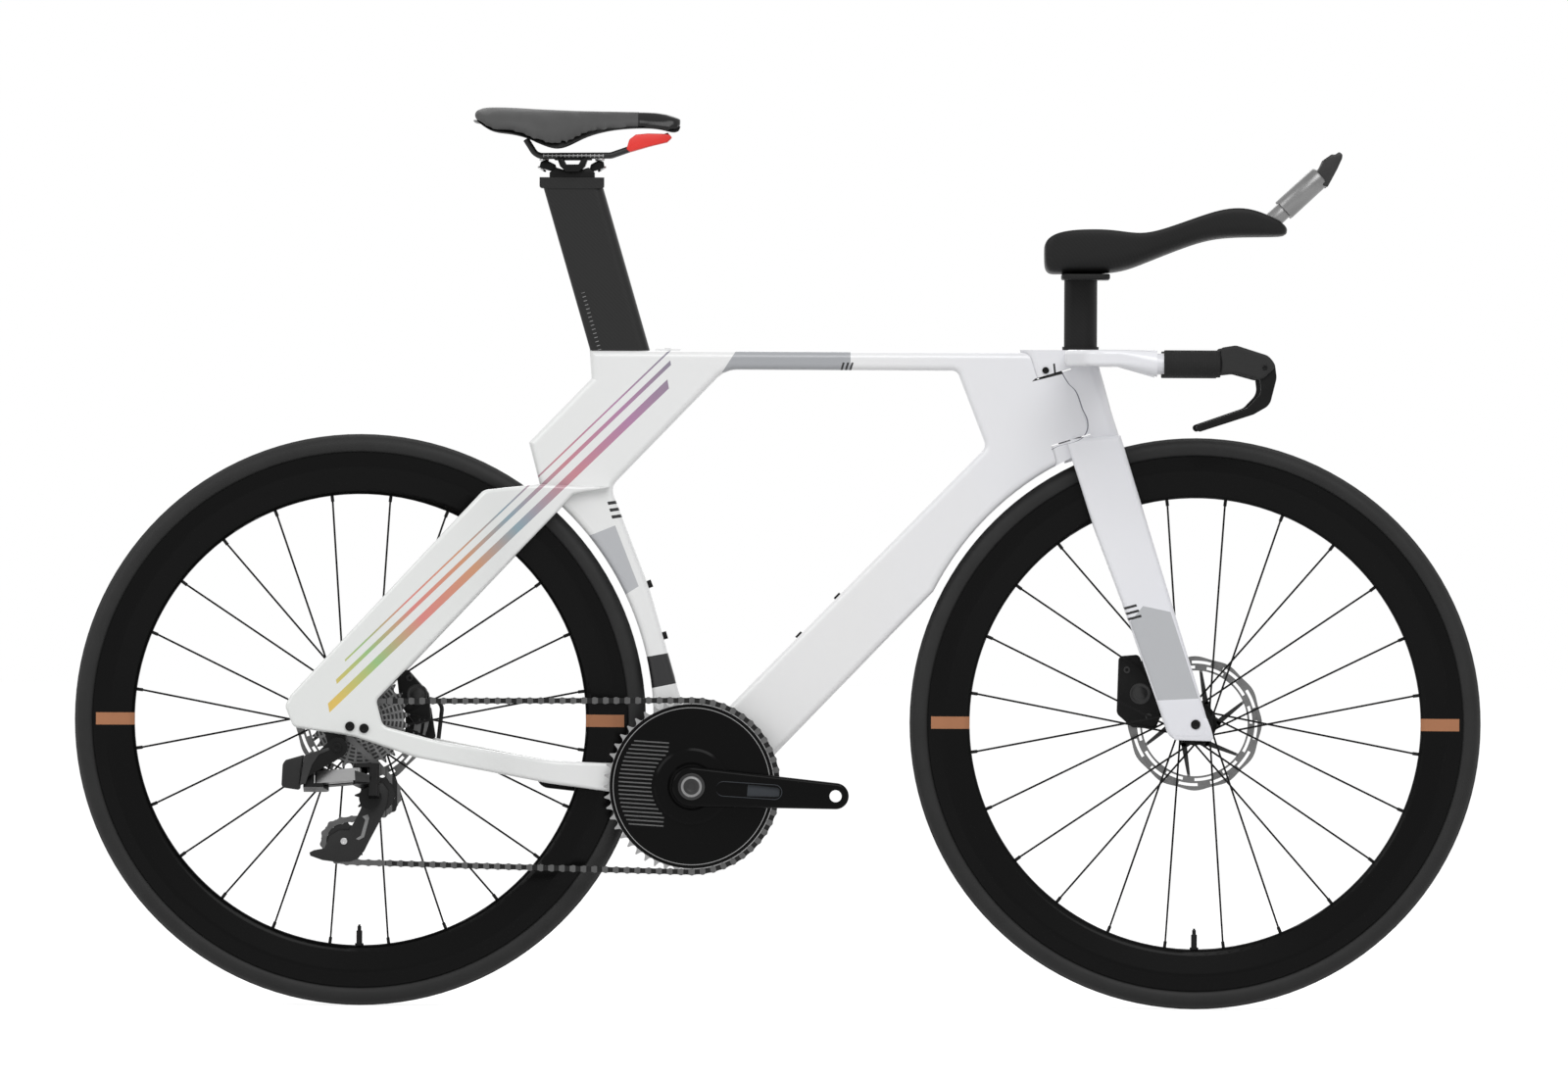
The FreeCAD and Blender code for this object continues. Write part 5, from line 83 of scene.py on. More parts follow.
# %% Values and nodes
class Value:
    """Output of a shader node, to calculate with."""

    def __init__(self, socket):
        self.socket = socket
        self.tree = socket.id_data

    def __add__(self, other):
        return calc("ADD", self, other)

    def __sub__(self, other):
        return calc("SUBTRACT", self, other)

    def __mul__(self, other):
        return calc("MULTIPLY", self, other)

    def __truediv__(self, other):
        return calc("DIVIDE", self, other)

    def __pow__(self, other):
        return calc("POWER", self, other)

    def __gt__(self, other):
        return calc("GREATER_THAN", self, other)

    def __lt__(self, other):
        return calc("LESS_THAN", self, other)

    def __abs__(self):
        return calc("ABSOLUTE", self)

    def fold(self, half):
        """Zigzag that runs from 0 up to half and back."""
        return calc("PINGPONG", self, half)


def put(tree, kind, inputs=None, **settings):
    """Add a shader node, set its properties, and fill its sockets with constants or links."""
    made = tree.nodes.new("ShaderNode" + kind)
    for name, value in settings.items():
        setattr(made, name, value)
    for name, value in (inputs or {}).items():
        if isinstance(value, Value):
            tree.links.new(value.socket, made.inputs[name])
        else:
            made.inputs[name].default_value = value
    return made


def wire(tree, kind, inputs=None, output=0, **settings):
    """Add a shader node and give one of its outputs."""
    return Value(put(tree, kind, inputs, **settings).outputs[output])


def calc(operation, *values):
    """Math node over numbers and values."""
    tree = next(value.tree for value in values if isinstance(value, Value))
    return wire(tree, "Math", dict(enumerate(values)), operation=operation)


# %% [markdown]
# ## Studio
# A white bike on a white ground only reads if the light has a direction. One broad lamp above and in
# front draws the edges of the tubes, a weaker one fills from the rear, and the world gives a plain,
# even level. The background is white for the camera and for reflections, without adding light.

# %% World, floor and lamps
WORLD_LIGHT, BACKGROUND_WHITE = 0.62, 1.0
FLOOR_SIZE, FLOOR_GLOW, FLOOR_GREY = 60, 0.66, (0.6, 0.6, 0.6, 1)
# Name, place, width and power.
LAMPS = (
    ("key_softbox", (1.2, -4.5, 4.2), 3.2, 115),
    ("rear_softbox", (-3.6, -2.5, 2.8), 2.4, 40),
    ("back_softbox", (0.3, 4.2, 3.6), 3.0, 60),
)
LAMP_TARGET = Vector((0, 0, 0.5))


def seen_directly(tree):
    """1 for camera, mirror and glass rays, 0 for the rays that carry light."""
    path = put(tree, "LightPath").outputs
    rays = [Value(path[f"Is {kind} Ray"]) for kind in ("Camera", "Glossy", "Transmission")]
    return calc("MAXIMUM", calc("MAXIMUM", *rays[:2]), rays[2])


def blank_material(name):
    """Material without nodes, and its tree."""
    material = bpy.data.materials.new(name)
    material.use_nodes = True
    material.node_tree.nodes.clear()
    return material, material.node_tree


world = bpy.data.worlds.new("studio")
bpy.context.scene.world = world
world.use_nodes = True
tree = world.node_tree
tree.nodes.clear()
light = wire(tree, "Background", {"Color": (1, 1, 1, 1), "Strength": WORLD_LIGHT})
white = wire(tree, "Background", {"Color": (1, 1, 1, 1), "Strength": BACKGROUND_WHITE})
background = wire(tree, "MixShader", {0: seen_directly(tree), 1: light, 2: white})
put(tree, "OutputWorld", {"Surface": background})

bpy.ops.mesh.primitive_plane_add(size=FLOOR_SIZE, location=(0, 0, 0))
floor = bpy.context.object
floor.name = "studio_floor"
paper, tree = blank_material("studio_paper")
diffuse = wire(tree, "BsdfDiffuse", {"Color": FLOOR_GREY})
glow = wire(tree, "Emission", {"Strength": seen_directly(tree) * FLOOR_GLOW})
put(tree, "OutputMaterial", {"Surface": wire(tree, "AddShader", {0: diffuse, 1: glow})})
floor.data.materials.append(paper)

for name, place, wide, power in LAMPS:
    lamp_data = bpy.data.lights.new(name, "AREA")
    lamp_data.size = wide
    lamp_data.energy = power
    lamp = bpy.data.objects.new(name, lamp_data)
    lamp.location = place
    lamp.rotation_euler = (LAMP_TARGET - Vector(place)).to_track_quat("-Z", "Y").to_euler()
    bpy.context.scene.collection.objects.link(lamp)
bpy.context.scene.view_settings.view_transform = "Standard"
print("lamps", len(LAMPS))

# %% [markdown]
# ## Shared surface effects
# Nothing real is one flat colour. Two node groups serve every finish: grain gives small, even
# unevenness for a moulded or blasted surface, and twill gives the crossed ribbons of woven carbon.
# Both read Object coordinates, so a pattern keeps its real size on every piece.

# %% Places and mixes
ORIGIN, AHEAD, RIGHT, LEFT, UP = (0, 0, 0), (1, 0, 0), (0, -1, 0), (0, 1, 0), (0, 0, 1)


def place_of(tree):
    """Place of a surface point on its piece."""
    return wire(tree, "TexCoord", output="Object")


def measured(tree, origin, direction):
    """Distance of a surface point from an origin along a direction."""
    step = wire(tree, "VectorMath", {0: place_of(tree), 1: origin}, operation="SUBTRACT")
    return wire(tree, "VectorMath", {0: step, 1: direction}, "Value", operation="DOT_PRODUCT")


def spread(value, low, high, to_low=0.0, to_high=1.0):
    """Value carried over from one range to another, and kept inside it."""
    ranges = {"From Min": low, "From Max": high, "To Min": to_low, "To Max": to_high}
    return wire(value.tree, "MapRange", {"Value": value, **ranges}, "Result")


def between(share, first, second):
    """Colour between two colours, or number between two numbers."""
    if isinstance(first, (int, float)):
        return spread(share, 0, 1, first, second)
    ends = [end if isinstance(end, Value) else (*end, 1) for end in (first, second)]
    return wire(share.tree, "Mix", {"Factor": share, 6: ends[0], 7: ends[1]}, 2, data_type="RGBA")


# %% Node groups
def new_group(name, inputs, outputs):
    """Node group with named number sockets, its given values, and its output node."""
    group = bpy.data.node_groups.new(name, "ShaderNodeTree")
    for direction, labels in (("INPUT", inputs), ("OUTPUT", outputs)):
        for label in labels:
            group.interface.new_socket(name=label, in_out=direction, socket_type="NodeSocketFloat")
    given = group.nodes.new("NodeGroupInput").outputs
    return group, [Value(given[label]) for label in inputs], group.nodes.new("NodeGroupOutput")


grain_group, (size, patch), target = new_group("grain", ("Size", "Patch"), ("Fine", "Broad"))
for result, length, detail in (("Fine", size, 3), ("Broad", patch, 2)):
    sockets = {"Vector": place_of(grain_group), "Scale": calc("DIVIDE", 1, length), "Detail": detail}
    noise = wire(grain_group, "TexNoise", sockets, "Fac")
    grain_group.links.new(noise.socket, target.inputs[result])

twill_group, (ribbon,), target = new_group("twill", ("Ribbon",), ("Over",))
directions = [measured(twill_group, ORIGIN, way) for way in (AHEAD, (0, 1, 1))]
steps = [calc("FLOOR", along / ribbon) for along in directions]
over = calc("FRACT", (steps[0] + steps[1]) * 0.25) < 0.5
twill_group.links.new(over.socket, target.inputs["Over"])
print("node groups", [g.name for g in bpy.data.node_groups])


def placed(tree, group, **numbers):
    """Node group placed in a material with its own numbers; gives its outputs by name."""
    made = put(tree, "Group", numbers, node_tree=group)
    return {socket.name: Value(socket) for socket in made.outputs}


# %% [markdown]
# ## Plain finishes
# Most pieces are moulded, cast or turned, and differ in colour, gloss and grain. One maker builds them
# all: two near colours mixed by broad patches, gloss that varies with the same patches, and fine bump.

# %% Finish maker
PATCH, GRAIN_DEPTH = 0.02, 0.0002


def bumped(height, strength, depth):
    """Normal of a surface that a height raises."""
    sockets = {"Height": height, "Strength": strength, "Distance": depth}
    return wire(height.tree, "Bump", sockets, "Normal")


def lit(material, sockets):
    """Give a material its shader."""
    tree = material.node_tree
    put(tree, "OutputMaterial", {"Surface": wire(tree, "BsdfPrincipled", sockets)})
    return material


def finish(name, dark, pale, gloss, metal=0.0, size=0.0006, bump=0.1, **sockets):
    """Material with patchy colour and gloss and a fine grain."""
    material, tree = blank_material(name)
    grain = placed(tree, grain_group, Size=size, Patch=PATCH)
    base = {
        "Base Color": between(grain["Broad"], dark, pale),
        "Roughness": between(grain["Broad"], *gloss),
        "Metallic": metal,
        "Normal": bumped(grain["Fine"], bump, GRAIN_DEPTH),
    }
    return lit(material, {**base, **sockets})


def marked(material, name, mask_maker, colour, metal=None):
    """Copy of a finish with a painted or bare mark; mask_maker gives 1 inside the mark."""
    made = material.copy()
    made.name = name
    tree = made.node_tree
    shader = next(n for n in tree.nodes if n.type == "BSDF_PRINCIPLED").inputs
    mask = mask_maker(tree)
    under = Value(shader["Base Color"].links[0].from_socket)
    tree.links.new(between(mask, under, colour).socket, shader["Base Color"])
    if metal is not None:
        blend = between(mask, shader["Metallic"].default_value, metal)
        tree.links.new(blend.socket, shader["Metallic"])
    return made


def grey(level):
    """Neutral colour."""
    return (level, level, level)


DULL = {"Specular IOR Level": 0.12}
SATIN = {"Specular IOR Level": 0.28}
RUBBERY = {"size": 0.0011, "bump": 0.4, **SATIN}
MOULDED = {"size": 0.0005, "bump": 0.2, **SATIN}
DRAWN = {"size": 0.0005, "bump": 0.15}
FINISHES = {
    "black_alloy": finish("black_anodised", grey(0.006), grey(0.014), (0.30, 0.42), 0.3, **DULL),
    "grey_alloy": finish("grey_anodised", grey(0.16), grey(0.22), (0.32, 0.44), 0.9),
    "dark_alloy": finish("dark_alloy", grey(0.030), grey(0.050), (0.28, 0.40), 0.8, **SATIN),
    "extension_alloy": finish("tube_alloy", grey(0.17), grey(0.25), (0.28, 0.38), 0.85, **DRAWN),
    "steel": finish("polished_steel", grey(0.38), grey(0.52), (0.22, 0.36), 1.0),
    "spoke": finish("black_steel", grey(0.006), grey(0.012), (0.28, 0.36), 0.3, **DULL),
    "pad_compound": finish("brake_compound", (0.06, 0.05, 0.045), (0.11, 0.09, 0.08), (0.8, 0.95)),
    "rubber": finish("moulded_rubber", grey(0.015), grey(0.022), (0.62, 0.75), **RUBBERY),
    "plastic": finish("moulded_plastic", grey(0.008), grey(0.014), (0.38, 0.5), **MOULDED),
    "red_cover": finish("red_sleeve", (0.72, 0.020, 0.014), (0.84, 0.036, 0.026), (0.34, 0.42)),
}
print("finishes", sorted(FINISHES))

# %% [markdown]
# ## Carbon, rims and tyres
# Bare carbon is woven ribbon under clear resin: a black that turns slightly lighter from ribbon to
# ribbon, below a smooth coat. The rims add one copper mark on each side of the axle. A tyre is matt
# on its sides and carries a fine file pattern where it meets the road.

# %% Carbon
RIBBON, RIM_RIBBON = 0.0012, 0.0014


def carbon(name, level, gloss, shine, contrast=0.2, ribbon=RIBBON):
    """Woven carbon under resin: level is its brightness, shine its reflection, contrast the weave's."""
    material, tree = blank_material(name)
    over = placed(tree, twill_group, Ribbon=ribbon)["Over"]
    broad = placed(tree, grain_group, Size=0.004, Patch=0.05)["Broad"]
    tint = between(over, grey((1 - contrast) * level), grey((1 + contrast) * level))
    sockets = {
        "Base Color": between(broad, tint, grey(level)),
        "Roughness": between(over, gloss, gloss + 0.2 * contrast),
        "Specular IOR Level": shine,
    }
    return lit(material, sockets)


FINISHES["carbon"] = carbon("matt_carbon", 0.010, 0.44, 0.18)
FINISHES["crank_carbon"] = carbon("crank_carbon", 0.0016, 0.14, 0.08, 0.06)
post_carbon = carbon("post_carbon", 0.012, 0.30, 0.28)
rim_carbon = carbon("rim_carbon", 0.0022, 0.22, 0.09, 0.02, RIM_RIBBON)

# %% Rims and tyres
REAR_AXLE = Vector((-0.4925, 0, 0.337))
FRONT_AXLE = Vector((0.4925, 0, 0.337))
AXLES = (("front", FRONT_AXLE), ("rear", REAR_AXLE))
COPPER = (0.42, 0.19, 0.10)
MARK_LOW, MARK_HIGH, MARK_HALF = 0.2636, 0.3115, 0.0072
TREAD_HALF, FILE_PITCH, RING_PITCH = 0.0065, 0.0012, 0.0016
SIDE_RELIEF, GRAIN_RELIEF = 0.3, 0.3


def reach_from(tree, axle):
    """Distance of a surface point from an axle that runs across the bike."""
    return calc("SQRT", measured(tree, axle, AHEAD) ** 2 + measured(tree, axle, UP) ** 2)


def turn_about(tree, axle):
    """Angle of a surface point about an axle that runs across the bike."""
    return calc("ARCTAN2", measured(tree, axle, UP), measured(tree, axle, AHEAD))


def within(value, low, high):
    """1 where a value lies between two limits, 0 elsewhere."""
    return (value > low) * (value < high)


def rim_mark(axle):
    """Maker of the mask of the copper marks in front of and behind an axle."""
    def mask(tree):
        ahead, level = (abs(measured(tree, axle, way)) for way in (AHEAD, UP))
        return within(ahead, MARK_LOW, MARK_HIGH) * (level < MARK_HALF)

    return mask


def tyre_finish(name, axle):
    """Rubber with a file pattern on the tread and fine rings on the side."""
    material, tree = blank_material(name)
    across = measured(tree, axle, LEFT)
    around = turn_about(tree, axle) * axle.z
    tread = abs(across) < TREAD_HALF
    ridges = [((around + across * sign) / FILE_PITCH).fold(0.5) for sign in (1, -1)]
    rings = (reach_from(tree, axle) / RING_PITCH).fold(0.5)
    side = rings * calc("SUBTRACT", SIDE_RELIEF, tread * SIDE_RELIEF)
    grain = placed(tree, grain_group, Size=0.0008, Patch=0.03)
    height = calc("MAXIMUM", *ridges) * tread + side + grain["Fine"] * GRAIN_RELIEF
    sockets = {
        "Base Color": between(tread, between(grain["Broad"], grey(0.016), grey(0.024)), grey(0.022)),
        "Roughness": between(tread, 0.52, 0.78),
        "Specular IOR Level": 0.2,
        "Normal": bumped(height, 0.5, 0.0004),
    }
    return lit(material, sockets)


for wheel, axle in AXLES:
    FINISHES[f"{wheel}_rim"] = marked(rim_carbon, f"{wheel}_rim_carbon", rim_mark(axle), COPPER)
    FINISHES[f"{wheel}_tyre"] = tyre_finish(f"{wheel}_tyre_rubber", axle)
print("wheel finishes done")

# %% [markdown]
# ## Pearl paint
# The frame, fork and bars are white with a pearl layer under clear lacquer. Pearl paint shifts in hue
# over the bike, warm at the rear and cool at the front, so the white is mixed along the length. The
# painted panels are flat colour, so they are drawn in the paint itself: each panel is the area inside a
# few straight edges in the side view. Only the black ones have no lacquer. Painted shade is drawn the
# same way: two thin black strips for the shadow in the slit under the stem's cover, and a thin dark
# line for the shade in the seam where the fork meets the head.

# %% Panels
PICTURE_AXLE = (367.8, 734.2)
PANEL_GREY, PANEL_SLATE = (0.46, 0.47, 0.49), (0.36, 0.37, 0.39)
PANEL_BLACK = (0.004, 0.004, 0.005)


def on_bike(pixel_x, pixel_y):
    """Place in the side view, X and Z in metres, of a point of the 1600 wide picture."""
    across, down = pixel_x - PICTURE_AXLE[0], pixel_y - PICTURE_AXLE[1]
    ahead = across * math.cos(PICTURE_TURN) + down * math.sin(PICTURE_TURN)
    fall = down * math.cos(PICTURE_TURN) - across * math.sin(PICTURE_TURN)
    return REAR_AXLE.x + METRES_PER_PIXEL * ahead, REAR_AXLE.z - METRES_PER_PIXEL * fall


def side_spot(pixel):
    """Place on the bike's middle plane of a picture point."""
    ahead, rise = on_bike(*pixel)
    return Vector((ahead, 0, rise))


def panel(tree, corners):
    """1 inside a convex outline of picture points, 0 outside."""
    spots = [side_spot(corner) for corner in corners]
    middle = sum(spots, Vector()) / len(spots)
    inside = None
    for start, end in zip(spots, spots[1:] + spots[:1]):
        normal = Vector((start.z - end.z, 0, end.x - start.x))
        if normal.dot(middle - start) < 0:
            normal.negate()
        edge = measured(tree, start, normal) > 0
        inside = edge if inside is None else inside * edge
    return inside


def bars(first, step, along, across):
    """Three small parallel black bars, given by a corner, the step to the next, and two sides."""
    made = []
    for number in range(3):
        corner = Vector(first) + number * Vector(step)
        far = corner + Vector(along)
        made.append((PANEL_BLACK, (corner, far, far + Vector(across), corner + Vector(across))))
    return made


# Painted shadow: two thin black strips in the slit under the stem's cover at the head, drawn like panels.
HEAD_SLOT_SHADOW = [
    (PANEL_BLACK, ((1053, 389.5), (1056, 386.5), (1083, 378.5), (1085, 381.5))),
    (PANEL_BLACK, ((1074.5, 371), (1076.5, 371), (1077.5, 381), (1075.5, 381))),
]
FRAME_PANELS = [
    (PANEL_SLATE, ((737, 380), (752, 357), (868, 357), (868, 380))),
    (PANEL_GREY, ((598, 548), (628, 536), (652, 598), (630, 612))),
    (PANEL_BLACK, ((655, 671), (683, 666), (690, 697), (660, 703))),
    *bars((857, 380), (4.5, 0), (3, -10), (2.2, 0)),
    *bars((620, 512), (2, 7), (11, -1.5), (1, 3.2)),
    # Painted shadow in the head slot.
    *HEAD_SLOT_SHADOW,
]
FORK_PANELS = [
    (PANEL_GREY, ((1153, 634), (1166, 618), (1194, 624), (1222.5, 712), (1181, 714))),
    *bars((1144, 620), (2.4, 5.4), (15, -4), (1, 2.4)),
    # Painted shadow in the head slot.
    *HEAD_SLOT_SHADOW,
]

# %% Painted shade in the head seam, and gradient stripes
HEAD_SEAM = (
    *((1084, 381), (1090, 391), (1098, 400), (1104, 416)),
    *((1110, 434), (1106, 445), (1078, 456), (1073, 459)),
)
# The seam's thin dark line is painted shade in the gap.
SEAM_HALF, SEAM_PAINTED_SHADE = 0.0007, (0.16, 0.16, 0.20)
STRIPE_START, STRIPE_END, STRIPE_SLANT = (335, 705), (690, 365), 1.2
# Middle and width of each stripe in millimetres, then its start and end as shares of the run.
STRIPES_MM = ((-16, 9, 0.00, 0.97), (0, 4.5, 0.03, 0.985), (11, 2.0, 0.06, 1.0))
STRIPE_COLOURS = (
    (0.0, (0.75, 0.52, 0.10)),
    (0.12, (0.30, 0.52, 0.20)),
    (0.25, (0.70, 0.22, 0.20)),
    (0.4, (0.62, 0.30, 0.16)),
    (0.52, (0.25, 0.36, 0.42)),
    (0.68, (0.55, 0.22, 0.26)),
    (0.84, (0.42, 0.20, 0.36)),
    (1.0, (0.22, 0.22, 0.27)),
)


def colour_ramp(value, stops):
    """Colour that runs through stops, each a place from 0 to 1 and a colour."""
    ramp = put(value.tree, "ValToRGB", {"Fac": value})
    elements = ramp.color_ramp.elements
    for place, _ in stops[1:-1]:
        elements.new(place)
    for element, (place, colour) in zip(elements, stops):
        element.position = place
        element.color = (*colour, 1)
    return Value(ramp.outputs["Color"])


def head_seam_shade(tree, colour):
    """Painted shade of the thin gap where the fork's outer blade meets the head; its X is a curve over Z.
    """
    spots = [on_bike(*spot) for spot in HEAD_SEAM]
    (low_x, low_z), (high_x, high_z) = ([pick(values) for values in zip(*spots)] for pick in (min, max))
    rise = measured(tree, ORIGIN, UP)
    route = put(tree, "FloatCurve", {"Value": spread(rise, low_z, high_z)})
    curve = route.mapping.curves[0]
    points = sorted(((z - low_z) / (high_z - low_z), (x - low_x) / (high_x - low_x)) for x, z in spots)
    curve.points[0].location = points[0]
    curve.points[1].location = points[-1]
    for point in points[1:-1]:
        curve.points.new(*point)
    route.mapping.update()
    away = measured(tree, ORIGIN, AHEAD) - spread(Value(route.outputs["Value"]), 0, 1, low_x, high_x)
    gap = within(away, -SEAM_HALF, SEAM_HALF) * within(rise, low_z, high_z)
    return between(gap, colour, SEAM_PAINTED_SHADE)


def gradient_stripes(tree, colour):
    """Plain slanted stripes whose hue runs along them."""
    start, end = (side_spot(spot) for spot in (STRIPE_START, STRIPE_END))
    run = end - start
    way = run.normalized()
    along = measured(tree, start, way / run.length)
    across = measured(tree, start, (-way.z, 0, way.x))
    hue = colour_ramp(along, STRIPE_COLOURS)
    slanted = along - across * STRIPE_SLANT
    for centre, wide, low, high in STRIPES_MM:
        inside = abs(across - centre / 1000) < wide / 2000
        colour = between(inside * within(slanted, low, high), colour, hue)
    return colour


# %% Pearl paint
PEARL_COLOURS = ((0.0, (0.80, 0.815, 0.80)), (0.6, (0.83, 0.83, 0.835)), (1.0, (0.80, 0.805, 0.85)))
PEARL_REAR, PEARL_FRONT, PEARL_WANDER = -0.55, 0.5, 0.25
LACQUER = 0.6


def pearl(name, panels=(), stripes=False, seam=False):
    """Pearl white under lacquer, with painted panels and painted shade: the head slot's black strips and
    the head seam's dark line.
    """
    material, tree = blank_material(name)
    grain = placed(tree, grain_group, Size=0.0004, Patch=0.12)
    shift = measured(tree, ORIGIN, AHEAD) + (grain["Broad"] - 0.5) * PEARL_WANDER
    colour = colour_ramp(spread(shift, PEARL_REAR, PEARL_FRONT), PEARL_COLOURS)
    if stripes:
        colour = gradient_stripes(tree, colour)
    # A thin line of painted shade along the head seam.
    if seam:
        colour = head_seam_shade(tree, colour)
    black = None
    for tint, corners in panels:
        inside = panel(tree, corners)
        colour = between(inside, colour, tint)
        if tint is PANEL_BLACK:
            black = inside if black is None else calc("MAXIMUM", black, inside)
    sockets = {
        "Base Color": colour,
        "Roughness": between(grain["Broad"], 0.30, 0.38),
        "Coat Weight": LACQUER if black is None else between(black, LACQUER, 0.0),
        "Coat Roughness": 0.06,
        "Normal": bumped(grain["Fine"], 0.03, 0.0001),
    }
    return lit(material, sockets)


FINISHES["frame_paint"] = pearl("pearl_frame", FRAME_PANELS, stripes=True, seam=True)
FINISHES["stay_paint"] = pearl("pearl_stays", stripes=True)
FINISHES["fork_paint"] = pearl("pearl_fork", FORK_PANELS, seam=True)
# The bar's paint carries the painted shadow of the head slot.
FINISHES["paint"] = pearl("pearl_bar", HEAD_SLOT_SHADOW)
print("paint done")

# %% [markdown]
# ## Ground steel
# A rotor is ground with circular strokes, which the noise follows when it is read in rings. The cogs
# are darker steel, with painted shade where their rings of openings lie, and the chain's links get
# painted shade at their waists, in the gaps between the rollers.

# %% Rotors, cogs and chain
CARRIER_REACH = 0.061
STROKES_PER_METRE, STROKES_PER_TURN = 2200, 3
COG_RING, COG_OPENINGS, RING_SHARE, BRIDGE_SHARE = 0.0023, 30, 0.42, 0.15
CRANK_AXIS = Vector((-0.1005, 0, 0.261))
LINK_HALF, LINK_WAIST, RUN_START = 0.00635, 0.0034, -0.36
WRAP_RADIUS, WRAP_SHIFT = 0.1011, 0.0057


def rotor_finish(name, axle):
    """Steel ring ground in circles about its axle, on a black carrier."""
    material, tree = blank_material(name)
    reach = reach_from(tree, axle)
    carrier = reach < CARRIER_REACH
    rings = {"X": reach * STROKES_PER_METRE, "Y": turn_about(tree, axle) * STROKES_PER_TURN}
    read = wire(tree, "CombineXYZ", rings)
    strokes = wire(tree, "TexNoise", {"Vector": read, "Scale": 1, "Detail": 2}, "Fac")
    sockets = {
        "Base Color": between(carrier, between(strokes, grey(0.10), grey(0.22)), grey(0.010)),
        "Metallic": between(carrier, 1, 0.2),
        "Roughness": between(strokes, 0.24, 0.42),
        "Normal": bumped(strokes, 0.15, 0.0001),
    }
    return lit(material, sockets)


def cog_opening_shade(tree):
    """Mask of the painted shade of the openings that lie in rings round the sprockets."""
    turn = turn_about(tree, REAR_AXLE) / (math.tau / COG_OPENINGS)
    ring = reach_from(tree, REAR_AXLE).fold(COG_RING) > RING_SHARE * COG_RING
    return ring * (turn.fold(0.5) > BRIDGE_SHARE)


def link_gap_shade(tree):
    """Mask of the painted shade at the waists between the chain's pins, along its straight runs and round
    the ring.
    """
    ahead = measured(tree, CRANK_AXIS, AHEAD)
    arc = turn_about(tree, CRANK_AXIS) * WRAP_RADIUS + WRAP_SHIFT
    along = ahead + (ahead > 0) * (arc - ahead)
    return (along.fold(LINK_HALF) > LINK_WAIST) * (ahead > RUN_START)


for wheel, axle in AXLES:
    FINISHES[f"{wheel}_rotor"] = rotor_finish(f"{wheel}_rotor_steel", axle)
chain_steel = finish("chain_steel", grey(0.07), grey(0.14), (0.26, 0.40), 1.0)
cog_steel = finish("cog_steel", grey(0.06), grey(0.30), (0.24, 0.38), 1.0, size=0.0022)
# Painted shade in the gaps between the chain's rollers, darker than the steel.
FINISHES["chain"] = marked(chain_steel, "chain_gap_shade", link_gap_shade, grey(0.022))
# The cogs' openings are not cut: their dark is painted shade.
FINISHES["cogs"] = marked(cog_steel, "cog_steel_opening_shade", cog_opening_shade, grey(0.004), 0.0)
print("steel finishes done")

# %% [markdown]
# ## Marks on single pieces
# A few pieces carry two finishes. The chainring disc is black inside and bare steel at its teeth. The
# crank's recess has painted sheen on its paler floor and a painted highlight along the edge of its slot.
# The saddle rails and the seatpost have fine graduations, which help to set the saddle.

# %% Chainring and crank
CRANK_ANGLE = math.radians(3.5)
CRANK_WAY = (math.cos(CRANK_ANGLE), 0, -math.sin(CRANK_ANGLE))
CRANK_SIDE = (math.sin(CRANK_ANGLE), 0, math.cos(CRANK_ANGLE))
TEETH_FROM, EDGE_LINE = 0.0968, (0.0921, 0.0929)
# Places of the painted sheen on the recess floor and of the painted highlight on the slot's edge.
FLOOR_RUN, FLOOR_HALF, FLOOR_DEPTH = (0.066, 0.104), 0.0072, (0.0690, 0.0713)
SLOT_MIDDLE, SLOT_REACH, SLOT_HALF, SLOT_LINE, SLOT_FACE = 0.068, 0.030, 0.0090, 0.0008, 0.071
CAP_RING = (0.0095, 0.0122)


def ring_teeth(tree):
    """Mask of the bare steel teeth, and of a thin bare line round the disc."""
    reach = reach_from(tree, CRANK_AXIS)
    return calc("MAXIMUM", reach > TEETH_FROM, within(reach, *EDGE_LINE))


def crank_recess_sheen(tree):
    """Mask of the painted sheen on the floor of the recess in the crank arm, and of the painted highlight
    on the edge of the slot round it.
    """
    ways = (CRANK_WAY, CRANK_SIDE, LEFT)
    along, off, deep = (abs(measured(tree, CRANK_AXIS, way)) for way in ways)
    recess = within(along, *FLOOR_RUN) * (off < FLOOR_HALF) * within(deep, *FLOOR_DEPTH)
    past_end = calc("MAXIMUM", abs(along - SLOT_MIDDLE) - SLOT_REACH, 0)
    from_slot = calc("SQRT", past_end ** 2 + off ** 2)
    outline = within(from_slot, SLOT_HALF - SLOT_LINE, SLOT_HALF) * (deep > SLOT_FACE)
    return calc("MAXIMUM", recess, outline)


def cap_ring(tree):
    """Mask of the bright ring on a crank cap."""
    return within(reach_from(tree, CRANK_AXIS), *CAP_RING)


crank_carbon = FINISHES["crank_carbon"]
FINISHES["ring_carbon"] = marked(crank_carbon, "ring_carbon", ring_teeth, grey(0.30), 1.0)
# Painted sheen and highlight: the recess floor and the slot's edge are paler than the glossy carbon.
FINISHES["arm_carbon_painted_sheen"] = marked(crank_carbon, "arm_carbon_painted_sheen", crank_recess_sheen, (0.050, 0.055, 0.062))
FINISHES["cap_alloy"] = marked(FINISHES["dark_alloy"], "cap_alloy", cap_ring, grey(0.25))

# %% Graduations
RAIL_LEVEL, RAIL_HALF, RAIL_LINE, RAIL_TICK = (-0.244, 0, 1.0035), 0.036, 0.0005, 0.0014
POST_FOOT, POST_LEAN = (-0.1975, 0, 0.774), math.radians(16.3)
POST_ROW, POST_TOP = (-0.016, -0.012), 0.075
TICK_PITCH, RAIL_TICK_HALF, POST_TICK_HALF = 0.005, 0.0004, 0.0003


